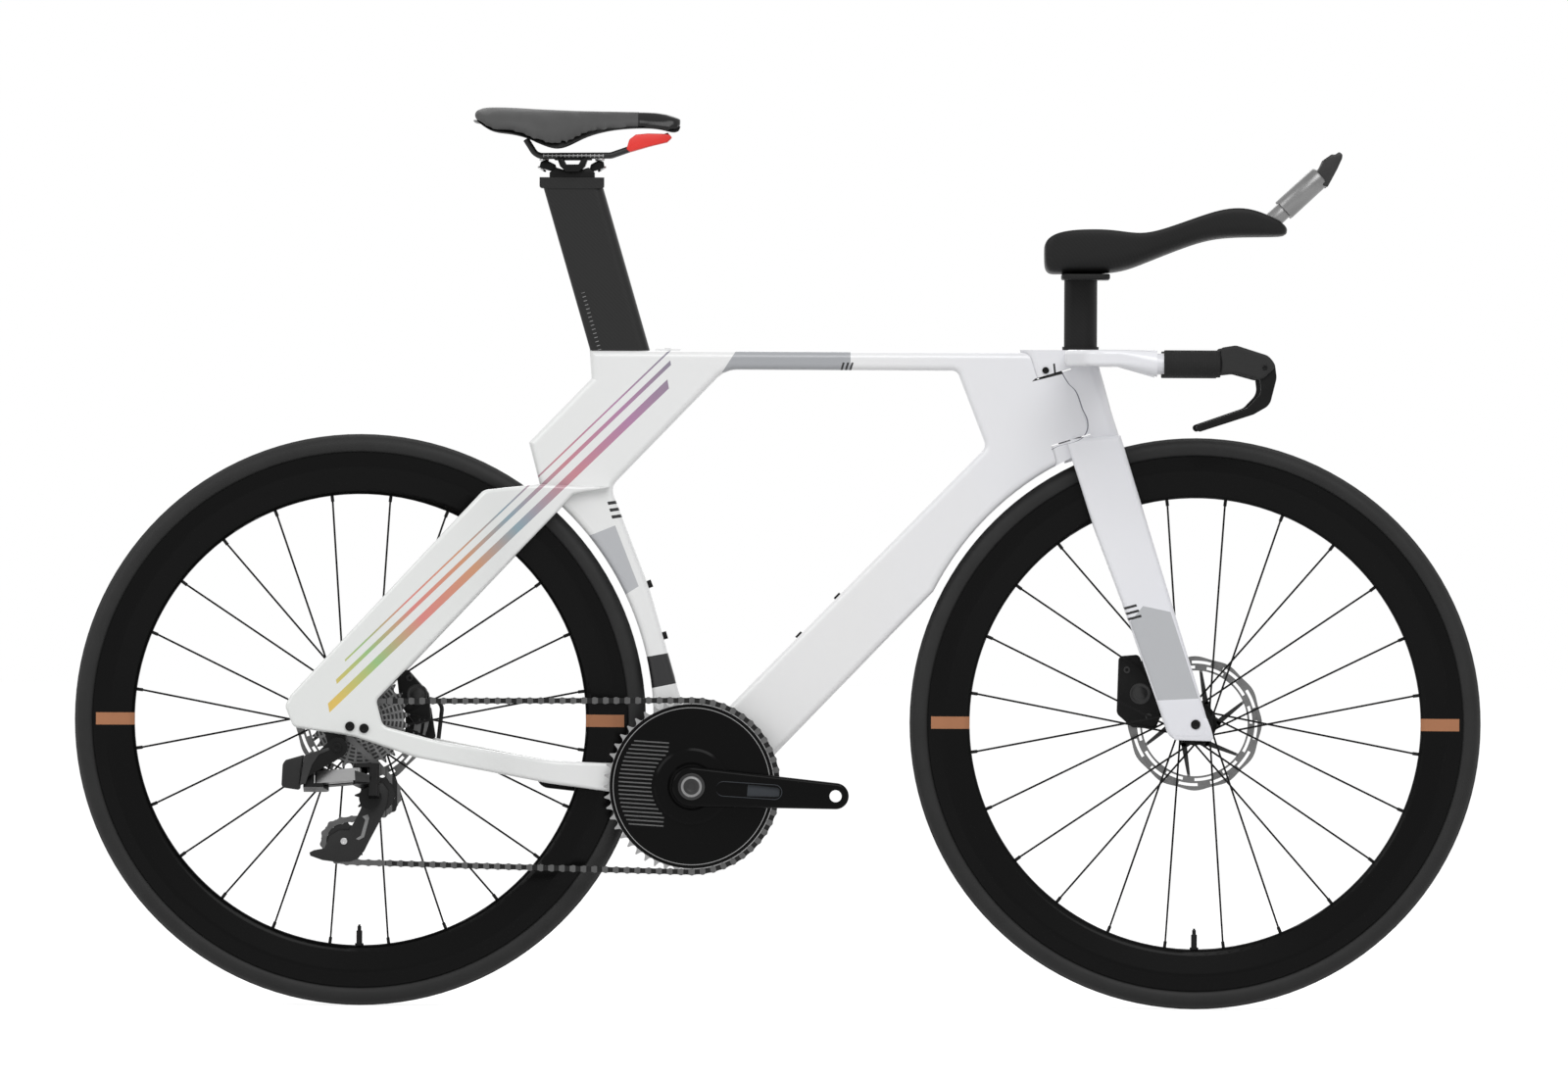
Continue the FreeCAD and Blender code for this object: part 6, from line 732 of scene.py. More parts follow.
def rail_scale(tree):
    """Mask of a fine line with ticks along the straight part of the rails."""
    along = measured(tree, RAIL_LEVEL, AHEAD)
    tick = along.fold(TICK_PITCH / 2) < RAIL_TICK_HALF
    line = abs(measured(tree, RAIL_LEVEL, UP)) < tick * RAIL_TICK + RAIL_LINE
    return line * within(along, -RAIL_HALF, RAIL_HALF)


def post_scale(tree):
    """Mask of short ticks near the rear edge of the seatpost, above the frame."""
    rise = measured(tree, POST_FOOT, (-math.sin(POST_LEAN), 0, math.cos(POST_LEAN)))
    ahead = measured(tree, POST_FOOT, (math.cos(POST_LEAN), 0, math.sin(POST_LEAN)))
    tick = rise.fold(TICK_PITCH / 2) < POST_TICK_HALF
    return tick * within(ahead, *POST_ROW) * (rise < POST_TOP)


carbon_rail = finish("carbon_rail", grey(0.010), grey(0.022), (0.35, 0.45), **SATIN)
FINISHES["rail"] = marked(carbon_rail, "marked_rail", rail_scale, grey(0.45))
FINISHES["post_carbon"] = marked(post_carbon, "marked_post", post_scale, grey(0.35))
print("marked finishes done")

# %% Finish of every CAD node
FINISH_OF = {
    "frame_paint": ("front_triangle",),
    "stay_paint": ("rear_stay_right", "rear_stay_left"),
    "fork_paint": ("fork",),
    "paint": ("base_bar", "seatpost_wedge"),
    "carbon": ("riser", "arm_rests", "riser_bracket"),
    "post_carbon": ("seatpost",),
    "crank_carbon": ("chainring_spider",),
    "arm_carbon_painted_sheen": ("crank_right", "crank_left"),
    "ring_carbon": ("chainring",),
    "extension_alloy": ("extension_grips",),
    "spoke": ("front_spokes", "rear_spokes"),
    "steel": (
        *("front_bearings", "rear_bearings", "headset_bearings"),
        *("shift_button_right", "shift_button_left"),
    ),
    "cogs": ("cassette",),
    "pad_compound": ("front_pads", "rear_pads"),
    "rubber": ("brake_hoods", "rear_brake_hose"),
    "rail": ("saddle_rails",),
    "red_cover": ("saddle_nose_cover",),
    "plastic": ("saddle_shell", "derailleur_battery", "derailleur_cage", "guide_pulley", "tension_pulley"),
    "grey_alloy": ("derailleur_outer_link",),
}
finish_of_node = {name: FINISHES[name] for name in nodes if name in FINISHES}
finish_of_node.update((node, FINISHES[name]) for name, members in FINISH_OF.items() for node in members)
for name, piece in nodes.items():
    piece.data.materials.clear()
    piece.data.materials.append(finish_of_node.get(name, FINISHES["black_alloy"]))
print("dressed", len(nodes), "nodes,", len(set(nodes) - set(finish_of_node)), "of them in black alloy")

# %% [markdown]
# ## Tools for the small pieces
# The small pieces are modelled as by hand: a primitive, then insets, extrusions and bevels on faces
# that are picked by their place. What repeats is modelled once, at the origin and facing up, and each
# copy gets its own mesh at its own place.

# %% Modelling helpers
SHARP = math.radians(35)


def fresh(add, name, **settings):
    """Add a primitive with nothing else selected, and name it."""
    bpy.ops.object.select_all(action="DESELECT")
    add(**settings)
    piece = bpy.context.object
    piece.name = name
    return piece


def pick_faces(piece, wanted):
    """Go into edit mode with those faces selected that pass a test."""
    bpy.ops.object.mode_set(mode="EDIT")
    bpy.ops.mesh.select_mode(type="FACE")
    bpy.ops.mesh.select_all(action="DESELECT")
    bpy.ops.object.mode_set(mode="OBJECT")
    for face in piece.data.polygons:
        face.select = wanted(face)
    bpy.ops.object.mode_set(mode="EDIT")


def on_all(operator, **settings):
    """Go into edit mode and run an operator on everything."""
    bpy.ops.object.mode_set(mode="EDIT")
    bpy.ops.mesh.select_all(action="SELECT")
    operator(**settings)


def face_out():
    """Turn all faces outwards."""
    on_all(bpy.ops.mesh.normals_make_consistent, inside=False)


def thicken(step):
    """Extrude everything along a vector into a closed plate."""
    on_all(bpy.ops.mesh.extrude_region_move, TRANSFORM_OT_translate={"value": step})
    face_out()


def apply(piece, kind, **settings):
    """Leave edit mode, add a modifier, set it up and apply it."""
    bpy.ops.object.mode_set(mode="OBJECT")
    modifier = piece.modifiers.new(kind.lower(), kind)
    for name, value in settings.items():
        setattr(modifier, name, value)
    bpy.ops.object.modifier_apply(modifier=modifier.name)


def soften_edges(piece, width, segments=2):
    """Bevel the sharp edges and shade the rest smooth."""
    apply(piece, "BEVEL", width=width, segments=segments, limit_method="ANGLE", angle_limit=SHARP)
    bpy.ops.object.shade_smooth_by_angle(angle=SHARP)


def settle(piece, body, finish_name, stands_for=None):
    """Give a piece its finish, body and slot; it may stand for a CAD node."""
    piece.data.materials.clear()
    piece.data.materials.append(FINISHES[finish_name])
    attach(piece, body)
    if stands_for:
        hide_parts(stands_for)
    print(piece.name, [round(v, 4) for v in piece.dimensions], len(piece.data.polygons), "faces")


def stepped(name, radius, steps, sides=32, bevel=0.0002):
    """Turned piece facing up: steps are (inset, rise) from the rim of its foot inwards."""
    foot = steps[0][1]
    rod = {"vertices": sides, "radius": radius, "depth": foot, "location": (0, 0, foot / 2)}
    piece = fresh(bpy.ops.mesh.primitive_cylinder_add, name, **rod)
    bpy.ops.object.transform_apply(location=True)
    for inset, rise in steps[1:]:
        pick_faces(piece, lambda face: face.normal.z > 0.9 and face.center.xy.length < 1e-4)
        bpy.ops.mesh.inset(thickness=inset)
        bpy.ops.mesh.extrude_region_move(TRANSFORM_OT_translate={"value": (0, 0, rise)})
    soften_edges(piece, bevel)
    return piece


def placed_copy(model, name, place, facing, body, finish_name, stands_for=None):
    """Copy of a modelled piece, with its own mesh, that faces a direction."""
    piece = bpy.data.objects.new(name, model.data.copy())
    turn = Vector(facing).to_track_quat("Z", "X").to_matrix().to_4x4()
    piece.data.transform(Matrix.Translation(place) @ turn)
    bpy.context.scene.collection.objects.link(piece)
    settle(piece, body, finish_name, stands_for)


# %% [markdown]
# ## Bolts
# Nearly all bolts here are socket heads: a short turned head with a round hole for the key. One model is
# made for each size. The table gives what each bolt holds, where it sits, and which way its head looks.

# %% Bolt models
def socket_bolt(name, radius, height):
    """Head of a socket bolt with a sunk key hole."""
    return stepped(name, radius, ((0, height), (0.5 * radius, -0.6 * height)), sides=24, bevel=0.1 * radius)


small_bolt = socket_bolt("small_bolt", 0.0028, 0.0016)
plain_bolt = socket_bolt("plain_bolt", 0.0040, 0.0022)
large_bolt = socket_bolt("large_bolt", 0.0056, 0.0026)

# %% Bolt places
PLATE, PLATE_GAP = 0.0020, 0.0003
ROTOR_BOLTS, BOLT_CIRCLE, CALIPER_SUNK = 6, 0.022, 0.0012
NUT_RISE, NUT_BACK = 0.0085, 0.004
stay_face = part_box("rear_stay_right")[0][1]
hood_low, hood_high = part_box("brake_hoods")
pulley_low, pulley_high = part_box("guide_pulley")
cage_face = pulley_low[1] - PLATE_GAP - PLATE
BOLTS = [
    ("dropout_bolt_rear", large_bolt, (-0.5023, stay_face, 0.3302), RIGHT, "frame", "black_alloy"),
    ("dropout_bolt_front", large_bolt, (-0.4856, stay_face, 0.3279), RIGHT, "frame", "black_alloy"),
    ("fork_axle_end", large_bolt, (0.4925, -0.0634, 0.337), RIGHT, "steering", "black_alloy"),
    ("hanger_bolt_head", large_bolt, (-0.517, -0.0942, 0.305), RIGHT, "frame", "black_alloy"),
    ("stem_bolt_right", plain_bolt, (0.314, -0.0240, 0.753), RIGHT, "steering", "black_alloy"),
    ("stem_bolt_left", plain_bolt, (0.314, 0.0240, 0.753), LEFT, "steering", "black_alloy"),
    ("lever_pin_head_right", small_bolt, (0.570, hood_low[1], 0.757), RIGHT, "steering", "black_alloy"),
    ("lever_pin_head_left", small_bolt, (0.570, hood_high[1], 0.757), LEFT, "steering", "black_alloy"),
]
for end, spot, lean in (("rear", (553.6, 171.6), -0.5), ("front", (613.9, 171.6), 0.5)):
    ahead, rise = on_bike(*spot)
    BOLTS.append((f"clamp_bolt_{end}", large_bolt, (ahead, 0, rise), (lean, 0, -0.85), "seat", "steel"))
    nut_spot = (ahead - NUT_BACK * lean, 0, rise + NUT_RISE)
    BOLTS.append((f"clamp_nut_{end}", large_bolt, nut_spot, UP, "seat", "steel"))
for name in ("guide_pulley", "tension_pulley"):
    low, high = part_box(name)
    spot = ((low[0] + high[0]) / 2, cage_face, (low[2] + high[2]) / 2)
    BOLTS.append((f"{name}_bolt", plain_bolt, spot, RIGHT, "derailleur_cage", "steel"))
for wheel, axle in AXLES:
    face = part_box(f"{wheel}_rotor")[1][1]
    for number in range(ROTOR_BOLTS):
        turn = math.tau * number / ROTOR_BOLTS
        spot = (axle.x + BOLT_CIRCLE * math.cos(turn), face, axle.z + BOLT_CIRCLE * math.sin(turn))
        BOLTS.append((f"{wheel}_rotor_bolt_{number}", small_bolt, spot, LEFT, f"{wheel}_wheel", "steel"))
for wheel, body, spots in (
    ("front", "steering", ((0.412, 0.400), (0.438, 0.345))),
    ("rear", "frame", ((-0.436, 0.386), (-0.421, 0.336))),
):
    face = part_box(f"{wheel}_caliper")[0][1] + CALIPER_SUNK
    for number, (ahead, rise) in enumerate(spots):
        name = f"{wheel}_caliper_bolt_{number}"
        BOLTS.append((name, plain_bolt, (ahead, face, rise), RIGHT, body, "dark_alloy"))
for name, model, *rest in BOLTS:
    placed_copy(model, name, *rest)
print("bolts", len(BOLTS))

# %% [markdown]
# ## Crank caps, valves and piston caps
# Each crank is held by a wide cap with a ring groove and a key hole. A racing valve stands on the rim's
# inner edge: a lock ring, a long stem and a thin tip. Round caps close the pistons of the brakes.

# %% Crank caps, valves and piston caps
SIDES = (("right", -1), ("left", 1))
CAP_STEPS = ((0, 0.0022), (0.0032, -0.0010), (0.0022, 0.0008), (0.0050, -0.0016))
VALVE_STEPS = ((0, 0.0028), (0.0016, 0.0150), (0.0012, 0.0020), (0, 0.0034), (0.0010, 0.0018))
PISTON_STEPS = ((0, 0.0016), (0.0022, -0.0006), (0.0030, 0.0004))
# Wheel, body, X and Z of the pistons, and how deep the outer cap is sunk.
PISTONS = (("front", "steering", 0.428, 0.372, 0.0006), ("rear", "frame", -0.427, 0.366, 0.0111))
CRANK_FACE, RIM_NOSE, SUNK = 0.073, 0.266, 0.0006
crank_cap = stepped("crank_cap", 0.0158, CAP_STEPS, sides=64, bevel=0.0003)
valve = stepped("valve", 0.0052, VALVE_STEPS, sides=20)
piston_cap = stepped("piston_cap", 0.0125, PISTON_STEPS, sides=48, bevel=0.0003)
for side, sign in SIDES:
    spot = (CRANK_AXIS.x, sign * CRANK_FACE, CRANK_AXIS.z)
    placed_copy(crank_cap, f"crank_cap_{side}", spot, (0, sign, 0), "crankset", "cap_alloy")
for wheel, axle in AXLES:
    spot = (axle.x, 0, axle.z - RIM_NOSE - SUNK)
    placed_copy(valve, f"{wheel}_valve", spot, UP, f"{wheel}_wheel", "black_alloy")
for wheel, body, ahead, rise, outer_sunk in PISTONS:
    low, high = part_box(f"{wheel}_caliper")
    for side, face, facing in (("inner", low[1] + SUNK, RIGHT), ("outer", high[1] - outer_sunk, LEFT)):
        name = f"{wheel}_piston_cap_{side}"
        placed_copy(piston_cap, name, (ahead, face, rise), facing, body, "dark_alloy")
for model in (small_bolt, plain_bolt, large_bolt, crank_cap, valve, piston_cap):
    bpy.data.objects.remove(model)

# %% [markdown]
# ## Pale plate behind the slits
# Light shines through the fan of slits in the chainring disc as even pale lines. They stay pale in
# front of the dark tyre too, because a thin bright plate closes the slits from behind. It is a disc cut
# along a straight edge, thickened, and turned with the crank.

# %% Slit plate
SLIT_EDGE, SLIT_THICK = (-0.029, 0, 0), 0.0006
DISC = {"vertices": 96, "radius": 0.0878, "fill_type": "NGON"}
ring_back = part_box("chainring")[1][1]
slit_plate = fresh(bpy.ops.mesh.primitive_circle_add, "slit_plate", **DISC)
on_all(bpy.ops.mesh.bisect, plane_co=SLIT_EDGE, plane_no=AHEAD, clear_outer=True, use_fill=False)
thicken((0, 0, SLIT_THICK))
soften_edges(slit_plate, 0.0001, 1)
slit_turn = Matrix.Rotation(CRANK_ANGLE, 4, "Y") @ Matrix.Rotation(math.radians(-90), 4, "X")
slit_spot = Matrix.Translation((CRANK_AXIS.x, ring_back, CRANK_AXIS.z))
slit_plate.data.transform(slit_spot @ slit_turn)
settle(slit_plate, "crankset", "grey_alloy")

# %% [markdown]
# ## Fork tips
# The blades end in square tips below the axle. Each tip is a plate cut to that outline, just inside the
# blade's own faces, so that only its corners show.

# %% Plates
def cut_plate(name, corners, low, high):
    """Plate with an outline of picture points, from one Y to another, with sharp edges."""
    piece = fresh(bpy.ops.mesh.primitive_circle_add, name, vertices=len(corners), fill_type="NGON")
    for vertex, corner in zip(piece.data.vertices, corners):
        ahead, rise = on_bike(*corner)
        vertex.co = (ahead, low, rise)
    thicken((0, high - low, 0))
    bpy.ops.object.mode_set(mode="OBJECT")
    return piece


def joined(parts, name):
    """One piece out of several."""
    bpy.ops.object.select_all(action="DESELECT")
    for part in parts:
        part.select_set(True)
    bpy.context.view_layer.objects.active = parts[0]
    if len(parts) > 1:
        bpy.ops.object.join()
    parts[0].name = name
    return parts[0]


def plates(name, cuts, bevel, segments, body, finish_name, stands_for=None):
    """Finished piece of bevelled plates: cuts are outlines with the two Y of each."""
    parts = []
    for number, (corners, low, high) in enumerate(cuts):
        parts.append(cut_plate(f"{name}_{number}", corners, low, high))
        soften_edges(parts[-1], bevel, segments)
    settle(joined(parts, name), body, finish_name, stands_for)


# %% Fork tips
TIP_LINE = (
    *((1190, 730), (1196, 750.5), (1198.5, 754.4), (1235, 755.6)),
    *((1237.6, 752), (1235, 742), (1231, 732)),
)
TIP_FACES = (0.0507, 0.0641)
for side, sign in SIDES:
    low, high = sorted(sign * face for face in TIP_FACES)
    plates(f"fork_tip_{side}", [(TIP_LINE, low, high)], 0.0012, 3, "steering", "fork_paint")

# %% [markdown]
# ## Rotors
# A disc rotor is a thin steel ring with two rows of long slots, held by slim arms on a small black
# carrier. A polar grid gives it: rows of faces between rings, some of them deleted for the slots, and
# the rest extruded to the plate's thickness. The outer edge waves a little, as cut rotors do.

# %% Rotor maker
TRACK_RINGS = (0.0625, 0.0648, 0.0682, 0.0708, 0.0742, 0.0785)
TRACK_STEPS, SLOT_STEPS, SLOT_COUNT, CARRIER_STEPS = 120, 6, 12, 72
WAVE, WELD = 0.0010, 0.00001
CARRIER_HOLE, CARRIER_EDGE, CARRIER_LOBE = 0.0178, 0.0270, 0.0040
ARM_COUNT, ARM_HALF, ARM_SWEEP = 6, 0.0017, math.radians(24)
FOOT_REACH, TIP_REACH = CARRIER_EDGE - 0.001, TRACK_RINGS[0] + 0.0008


def polar_plate(name, axle, low, high, rings, steps, is_open):
    """Plate between rings about an axle, from one Y to another, without the faces that are open."""
    grid = {"x_subdivisions": steps, "y_subdivisions": len(rings) - 1}
    piece = fresh(bpy.ops.mesh.primitive_grid_add, name, **grid)
    for number, vertex in enumerate(piece.data.vertices):
        row, column = divmod(number, steps + 1)
        turn = math.tau * (column % steps) / steps
        reach = rings[row](turn)
        vertex.co = (axle.x + reach * math.cos(turn), low, axle.z + reach * math.sin(turn))
    pick_faces(piece, lambda face: is_open(*divmod(face.index, steps)))
    bpy.ops.mesh.delete(type="FACE")
    on_all(bpy.ops.mesh.remove_doubles, threshold=WELD)
    thicken((0, high - low, 0))
    soften_edges(piece, 0.00015, 1)
    return piece


def slot_open(row, column):
    """True where a slot of the track is cut: the second and the fourth row, half a pitch apart."""
    pitch = TRACK_STEPS // SLOT_COUNT
    shift = {1: 0, 3: pitch // 2}.get(row)
    return shift is not None and (column + shift) % pitch < SLOT_STEPS


def waved(reach, depth=0.0, count=0):
    """Ring whose radius waves, or stays the same without a depth."""
    return lambda turn: reach + depth * math.cos(count * turn)


def rotor_arm(axle, low, high, turn):
    """Slim swept bar from the carrier to the track."""
    arm = fresh(bpy.ops.mesh.primitive_cube_add, "rotor_arm", size=1)
    foot = Vector((math.cos(turn), math.sin(turn))) * FOOT_REACH
    tip = Vector((math.cos(turn + ARM_SWEEP), math.sin(turn + ARM_SWEEP))) * TIP_REACH
    side = (tip - foot).orthogonal().normalized() * ARM_HALF
    for vertex in arm.data.vertices:
        share = vertex.co.x + 0.5
        spot = foot.lerp(tip, share) + side * (4 - 2 * share) * vertex.co.z
        vertex.co = (axle.x + spot.x, low + (high - low) * (vertex.co.y + 0.5), axle.z + spot.y)
    face_out()
    soften_edges(arm, 0.0002, 1)
    return arm


# %% Rotors
track_rings = [waved(reach) for reach in TRACK_RINGS[:-1]] + [waved(TRACK_RINGS[-1], WAVE, SLOT_COUNT)]
carrier_rings = [waved(CARRIER_HOLE), waved(CARRIER_EDGE, CARRIER_LOBE, ARM_COUNT)]
for wheel, axle in AXLES:
    low, high = (corner[1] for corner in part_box(f"{wheel}_rotor"))
    span = (axle, low, high)
    parts = [polar_plate("track", *span, track_rings, TRACK_STEPS, slot_open)]
    parts.append(polar_plate("carrier", *span, carrier_rings, CARRIER_STEPS, lambda row, column: False))
    parts += [rotor_arm(*span, math.tau * number / ARM_COUNT) for number in range(ARM_COUNT)]
    disc = joined(parts, f"{wheel}_brake_disc")
    settle(disc, f"{wheel}_wheel", f"{wheel}_rotor", f"{wheel}_rotor")

# %% [markdown]
# ## Derailleur plates
# The cage that holds the two small pulleys is stamped from two plates: the outer one ends in a pointed
# tail that guides the chain, and a bright strip runs along its front edge. The body of the derailleur
# carries two ground face plates and a small battery. All are outlines cut out of flat stock.

# %% Outlines
CAGE_LINE = (
    *((374, 806), (376, 799), (392, 798), (398, 806), (397, 818), (393.5, 828), (388.6, 838)),
    *((378.4, 857), (373.3, 867.3), (367, 875), (358, 878), (346, 878.5), (331, 876.5), (318.5, 872)),
    *((317.6, 868.6), (322, 866.4), (333, 864.5), (338, 852), (348, 846)),
    *((358, 846), (364, 836), (370, 824)),
)
STRIP_LINE = (
    *((371.5, 832), (377.5, 829.5), (378.5, 834), (373.5, 853)),
    *((368, 856), (364.8, 854.8), (370, 851.5), (374.5, 835.5)),
)
KNUCKLE_LINE = (
    *((313.4, 769.7), (327, 764.5), (337.6, 761.6), (339, 764)),
    *((328, 768.6), (321, 779), (314.5, 798), (308.6, 800)),
)
SIDE_LINE = ((364.6, 784.6), (380, 789), (380, 797), (365.2, 795.8))
BATTERY_LINE = ((291, 778), (294.2, 774.2), (312.7, 769), (308.3, 804.8), (291, 802.2), (289.8, 799))

# %% Cage, battery and face plates
MOTOR_STEP, PLATE_PROUD, PLATE_SUNK = 0.0036, 0.0008, 0.0006
inner_face = pulley_high[1] + PLATE_GAP
cage_cuts = [(CAGE_LINE, face, face + PLATE) for face in (cage_face, inner_face)]
plates("chain_cage", cage_cuts, 0.0006, 2, "derailleur_cage", "plastic", "derailleur_cage")
low, high = (corner[1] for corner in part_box("derailleur_battery"))
plates("battery_shell", [(BATTERY_LINE, low, high)], 0.0022, 3, "frame", "plastic", "derailleur_battery")
knuckle_front, motor_front = (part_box(f"derailleur_{knuckle}_knuckle")[0][1] for knuckle in ("b", "p"))
FACE_PLATES = (
    ("cage_strip", STRIP_LINE, cage_face, "derailleur_cage", "grey_alloy"),
    ("knuckle_plate", KNUCKLE_LINE, knuckle_front, "frame", "dark_alloy"),
    ("motor_plate", SIDE_LINE, motor_front + MOTOR_STEP, "derailleur_p_knuckle", "dark_alloy"),
)
for name, line, face, body, finish_name in FACE_PLATES:
    plates(name, [(line, face - PLATE_PROUD, face + PLATE_SUNK)], 0.0003, 2, body, finish_name)

# %% [markdown]
# ## Extensions
# A tube leans up out of each arm rest, a wider sleeve gives the hand its hold, and a wedge-shaped pod with
# the shift button closes the end. Tube and sleeve are turned pieces, with rims that step in; the pod is
# an outline in the side view that is thickened and well rounded.

# %% Extensions
HAND_SPACING, POD_HALF = 0.062, 0.0104
EXTENSION_X, EXTENSION_Z, EXTENSION_LEAN = 0.573, 0.924, math.radians(43)
TUBE_RADIUS, SLEEVE_START = 0.0102, 0.0285
TUBE_STEPS = ((0, SLEEVE_START), (0.0012, 0.0020))
HAND_STEPS = ((0, 0.0575), (0.0010, 0.0010), (0.0020, 0.0010))
POD_LINE = (
    *((1342.5, 176.5), (1346.5, 171), (1350, 163.5), (1358, 158), (1361, 158.8), (1365.5, 155.6)),
    *((1369, 158.5), (1368.5, 162.5), (1363.5, 173.5), (1353.5, 192), (1349, 190)),
)
turned_tube = stepped("turned_tube", TUBE_RADIUS, TUBE_STEPS, sides=56, bevel=0.0004)
turned_sleeve = stepped("turned_sleeve", 0.0132, HAND_STEPS, sides=56, bevel=0.0007)
facing = Vector((math.cos(EXTENSION_LEAN), 0, math.sin(EXTENSION_LEAN)))
held = ("steering", "extension_alloy", "extension_grips")
for side, sign in SIDES:
    middle = sign * HAND_SPACING
    root = Vector((EXTENSION_X, middle, EXTENSION_Z))
    placed_copy(turned_tube, f"hand_tube_{side}", root, facing, *held)
    placed_copy(turned_sleeve, f"hand_sleeve_{side}", root + SLEEVE_START * facing, facing, *held)
    cuts = [(POD_LINE, middle - POD_HALF, middle + POD_HALF)]
    plates(f"hand_pod_{side}", cuts, 0.0024, 4, "steering", "dark_alloy", "extension_grips")
for model in (turned_tube, turned_sleeve):
    bpy.data.objects.remove(model)

# %% [markdown]
# ## Grip sleeves
# The base bar ends in short rubber sleeves with rows of small pips. A sleeve is a cylinder whose two
# end faces are inset and bridged to a bore. The pips are too small to model one by one, so the bump of
# the material draws them on a grid along the sleeve.

# %% Grip rubber
GRIP_Y, GRIP_Z = 0.190, 0.761
PIP_PITCH, PIPS_ROUND, PIP_EDGE, PIP_TOP = 0.0028, 36, 0.32, 0.18


def pip_rubber(name):
    """Rubber with a grid of small round pips."""
    material, tree = blank_material(name)
    from_axis = abs(measured(tree, ORIGIN, LEFT)) - GRIP_Y
    around = calc("ARCTAN2", from_axis, measured(tree, (0, 0, GRIP_Z), UP)) / (math.tau / PIPS_ROUND)
    along = measured(tree, ORIGIN, AHEAD) / PIP_PITCH
    away = calc("SQRT", along.fold(0.5) ** 2 + around.fold(0.5) ** 2)
    pip = spread(away, PIP_EDGE, PIP_TOP)
    grain = placed(tree, grain_group, Size=0.0008, Patch=0.02)
    sockets = {
        "Base Color": between(grain["Broad"], grey(0.008), grey(0.014)),
        "Roughness": between(pip, 0.74, 0.58),
        "Specular IOR Level": 0.25,
        "Normal": bumped(pip + grain["Fine"] * 0.25, 0.6, 0.0005),
    }
    return lit(material, sockets)


FINISHES["grip_rubber"] = pip_rubber("grip_rubber")

# %% Grip sleeves
SLEEVE_RADIUS, BORE_RADIUS = 0.0159, 0.0122
tape_rear, tape_front = (corner[0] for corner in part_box("bar_tapes"))
ROD = {"vertices": 64, "radius": SLEEVE_RADIUS, "depth": tape_front - tape_rear}
for side, sign in SIDES:
    sleeve = fresh(bpy.ops.mesh.primitive_cylinder_add, f"grip_sleeve_{side}", **ROD)
    pick_faces(sleeve, lambda face: abs(face.normal.z) > 0.9)
    bpy.ops.mesh.inset(thickness=SLEEVE_RADIUS - BORE_RADIUS, use_individual=True)
    bpy.ops.mesh.bridge_edge_loops()
    soften_edges(sleeve, 0.0012, 3)
    middle = ((tape_rear + tape_front) / 2, sign * GRIP_Y, GRIP_Z)
    sleeve.data.transform(Matrix.Translation(middle) @ Matrix.Rotation(math.radians(90), 4, "Y"))
    settle(sleeve, "steering", "grip_rubber", "bar_tapes")

# %% [markdown]
# ## Saddle cover
# A saddle is foam on a shell under a tight, coated cover. The foam's solid is copied, remeshed into even
# small faces, rounded, and blown up a little by a cloth simulation, so that the cover looks stretched
# over foam. The points may only move a few millimetres. The nose carries a panel of glossy film behind a
# stitched seam; film, seam and grain are drawn by the material.

# %% Saddle material
NOSE_SEAM = (on_bike(652, 120)[0], 0, 0)
SEAM_EDGE, SEAM_CORE, SEAM_DEPTH = 0.0012, 0.0003, 2


def saddle_cloth(name):
    """Coated cloth with a fine grain, and a glossy panel on the nose behind a seam."""
    material, tree = blank_material(name)
    ahead = measured(tree, NOSE_SEAM, AHEAD)
    film = ahead > 0
    seam = spread(abs(ahead), SEAM_EDGE, SEAM_CORE)
    grain = placed(tree, grain_group, Size=0.0011, Patch=0.03)
    rough = grain["Fine"] * calc("SUBTRACT", 1, film)
    cloth = between(grain["Broad"], grey(0.060), grey(0.085))
    sockets = {
        "Base Color": between(seam, between(film, cloth, grey(0.006)), grey(0.004)),
        "Roughness": between(film, 0.58, 0.16),
        "Specular IOR Level": 0.3,
        "Normal": bumped(rough - seam * SEAM_DEPTH, 0.35, 0.0004),
    }
    return lit(material, sockets)


FINISHES["saddle_cloth"] = saddle_cloth("saddle_cloth")

# %% Cover over the foam
VOXEL, FOAM_WELD = 0.004, 0.0001
PRESSURE, SWELL_FRAMES, SWELL_LIMIT = 4, 20, 0.0025


def swell(piece):
    """Blow a closed mesh up as cloth, and keep each point near its place."""
    cloth = piece.modifiers.new("swell", "CLOTH")
    cloth.settings.use_pressure = True
    cloth.settings.uniform_pressure_force = PRESSURE
    cloth.settings.effector_weights.gravity = 0
    scene = bpy.context.scene
    for number in range(1, SWELL_FRAMES + 1):
        scene.frame_set(number)
    blown = piece.evaluated_get(bpy.context.evaluated_depsgraph_get())
    ends = [vertex.co.copy() for vertex in blown.data.vertices]
    piece.modifiers.remove(cloth)
    scene.frame_set(1)
    for vertex, end in zip(piece.data.vertices, ends):
        step = end - vertex.co
        if step.length > SWELL_LIMIT:
            step *= SWELL_LIMIT / step.length
        vertex.co += step


saddle_cover = bpy.data.objects.new("saddle_cover", nodes["saddle_pad"].data.copy())
bpy.context.scene.collection.objects.link(saddle_cover)
bpy.ops.object.select_all(action="DESELECT")
saddle_cover.select_set(True)
bpy.context.view_layer.objects.active = saddle_cover
on_all(bpy.ops.mesh.remove_doubles, threshold=FOAM_WELD)
face_out()
apply(saddle_cover, "REMESH", mode="VOXEL", voxel_size=VOXEL)
apply(saddle_cover, "SMOOTH", factor=0.5, iterations=3)
swell(saddle_cover)
apply(saddle_cover, "SUBSURF", levels=1)
bpy.ops.object.shade_smooth()
settle(saddle_cover, "seat", "saddle_cloth")
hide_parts("saddle_pad")

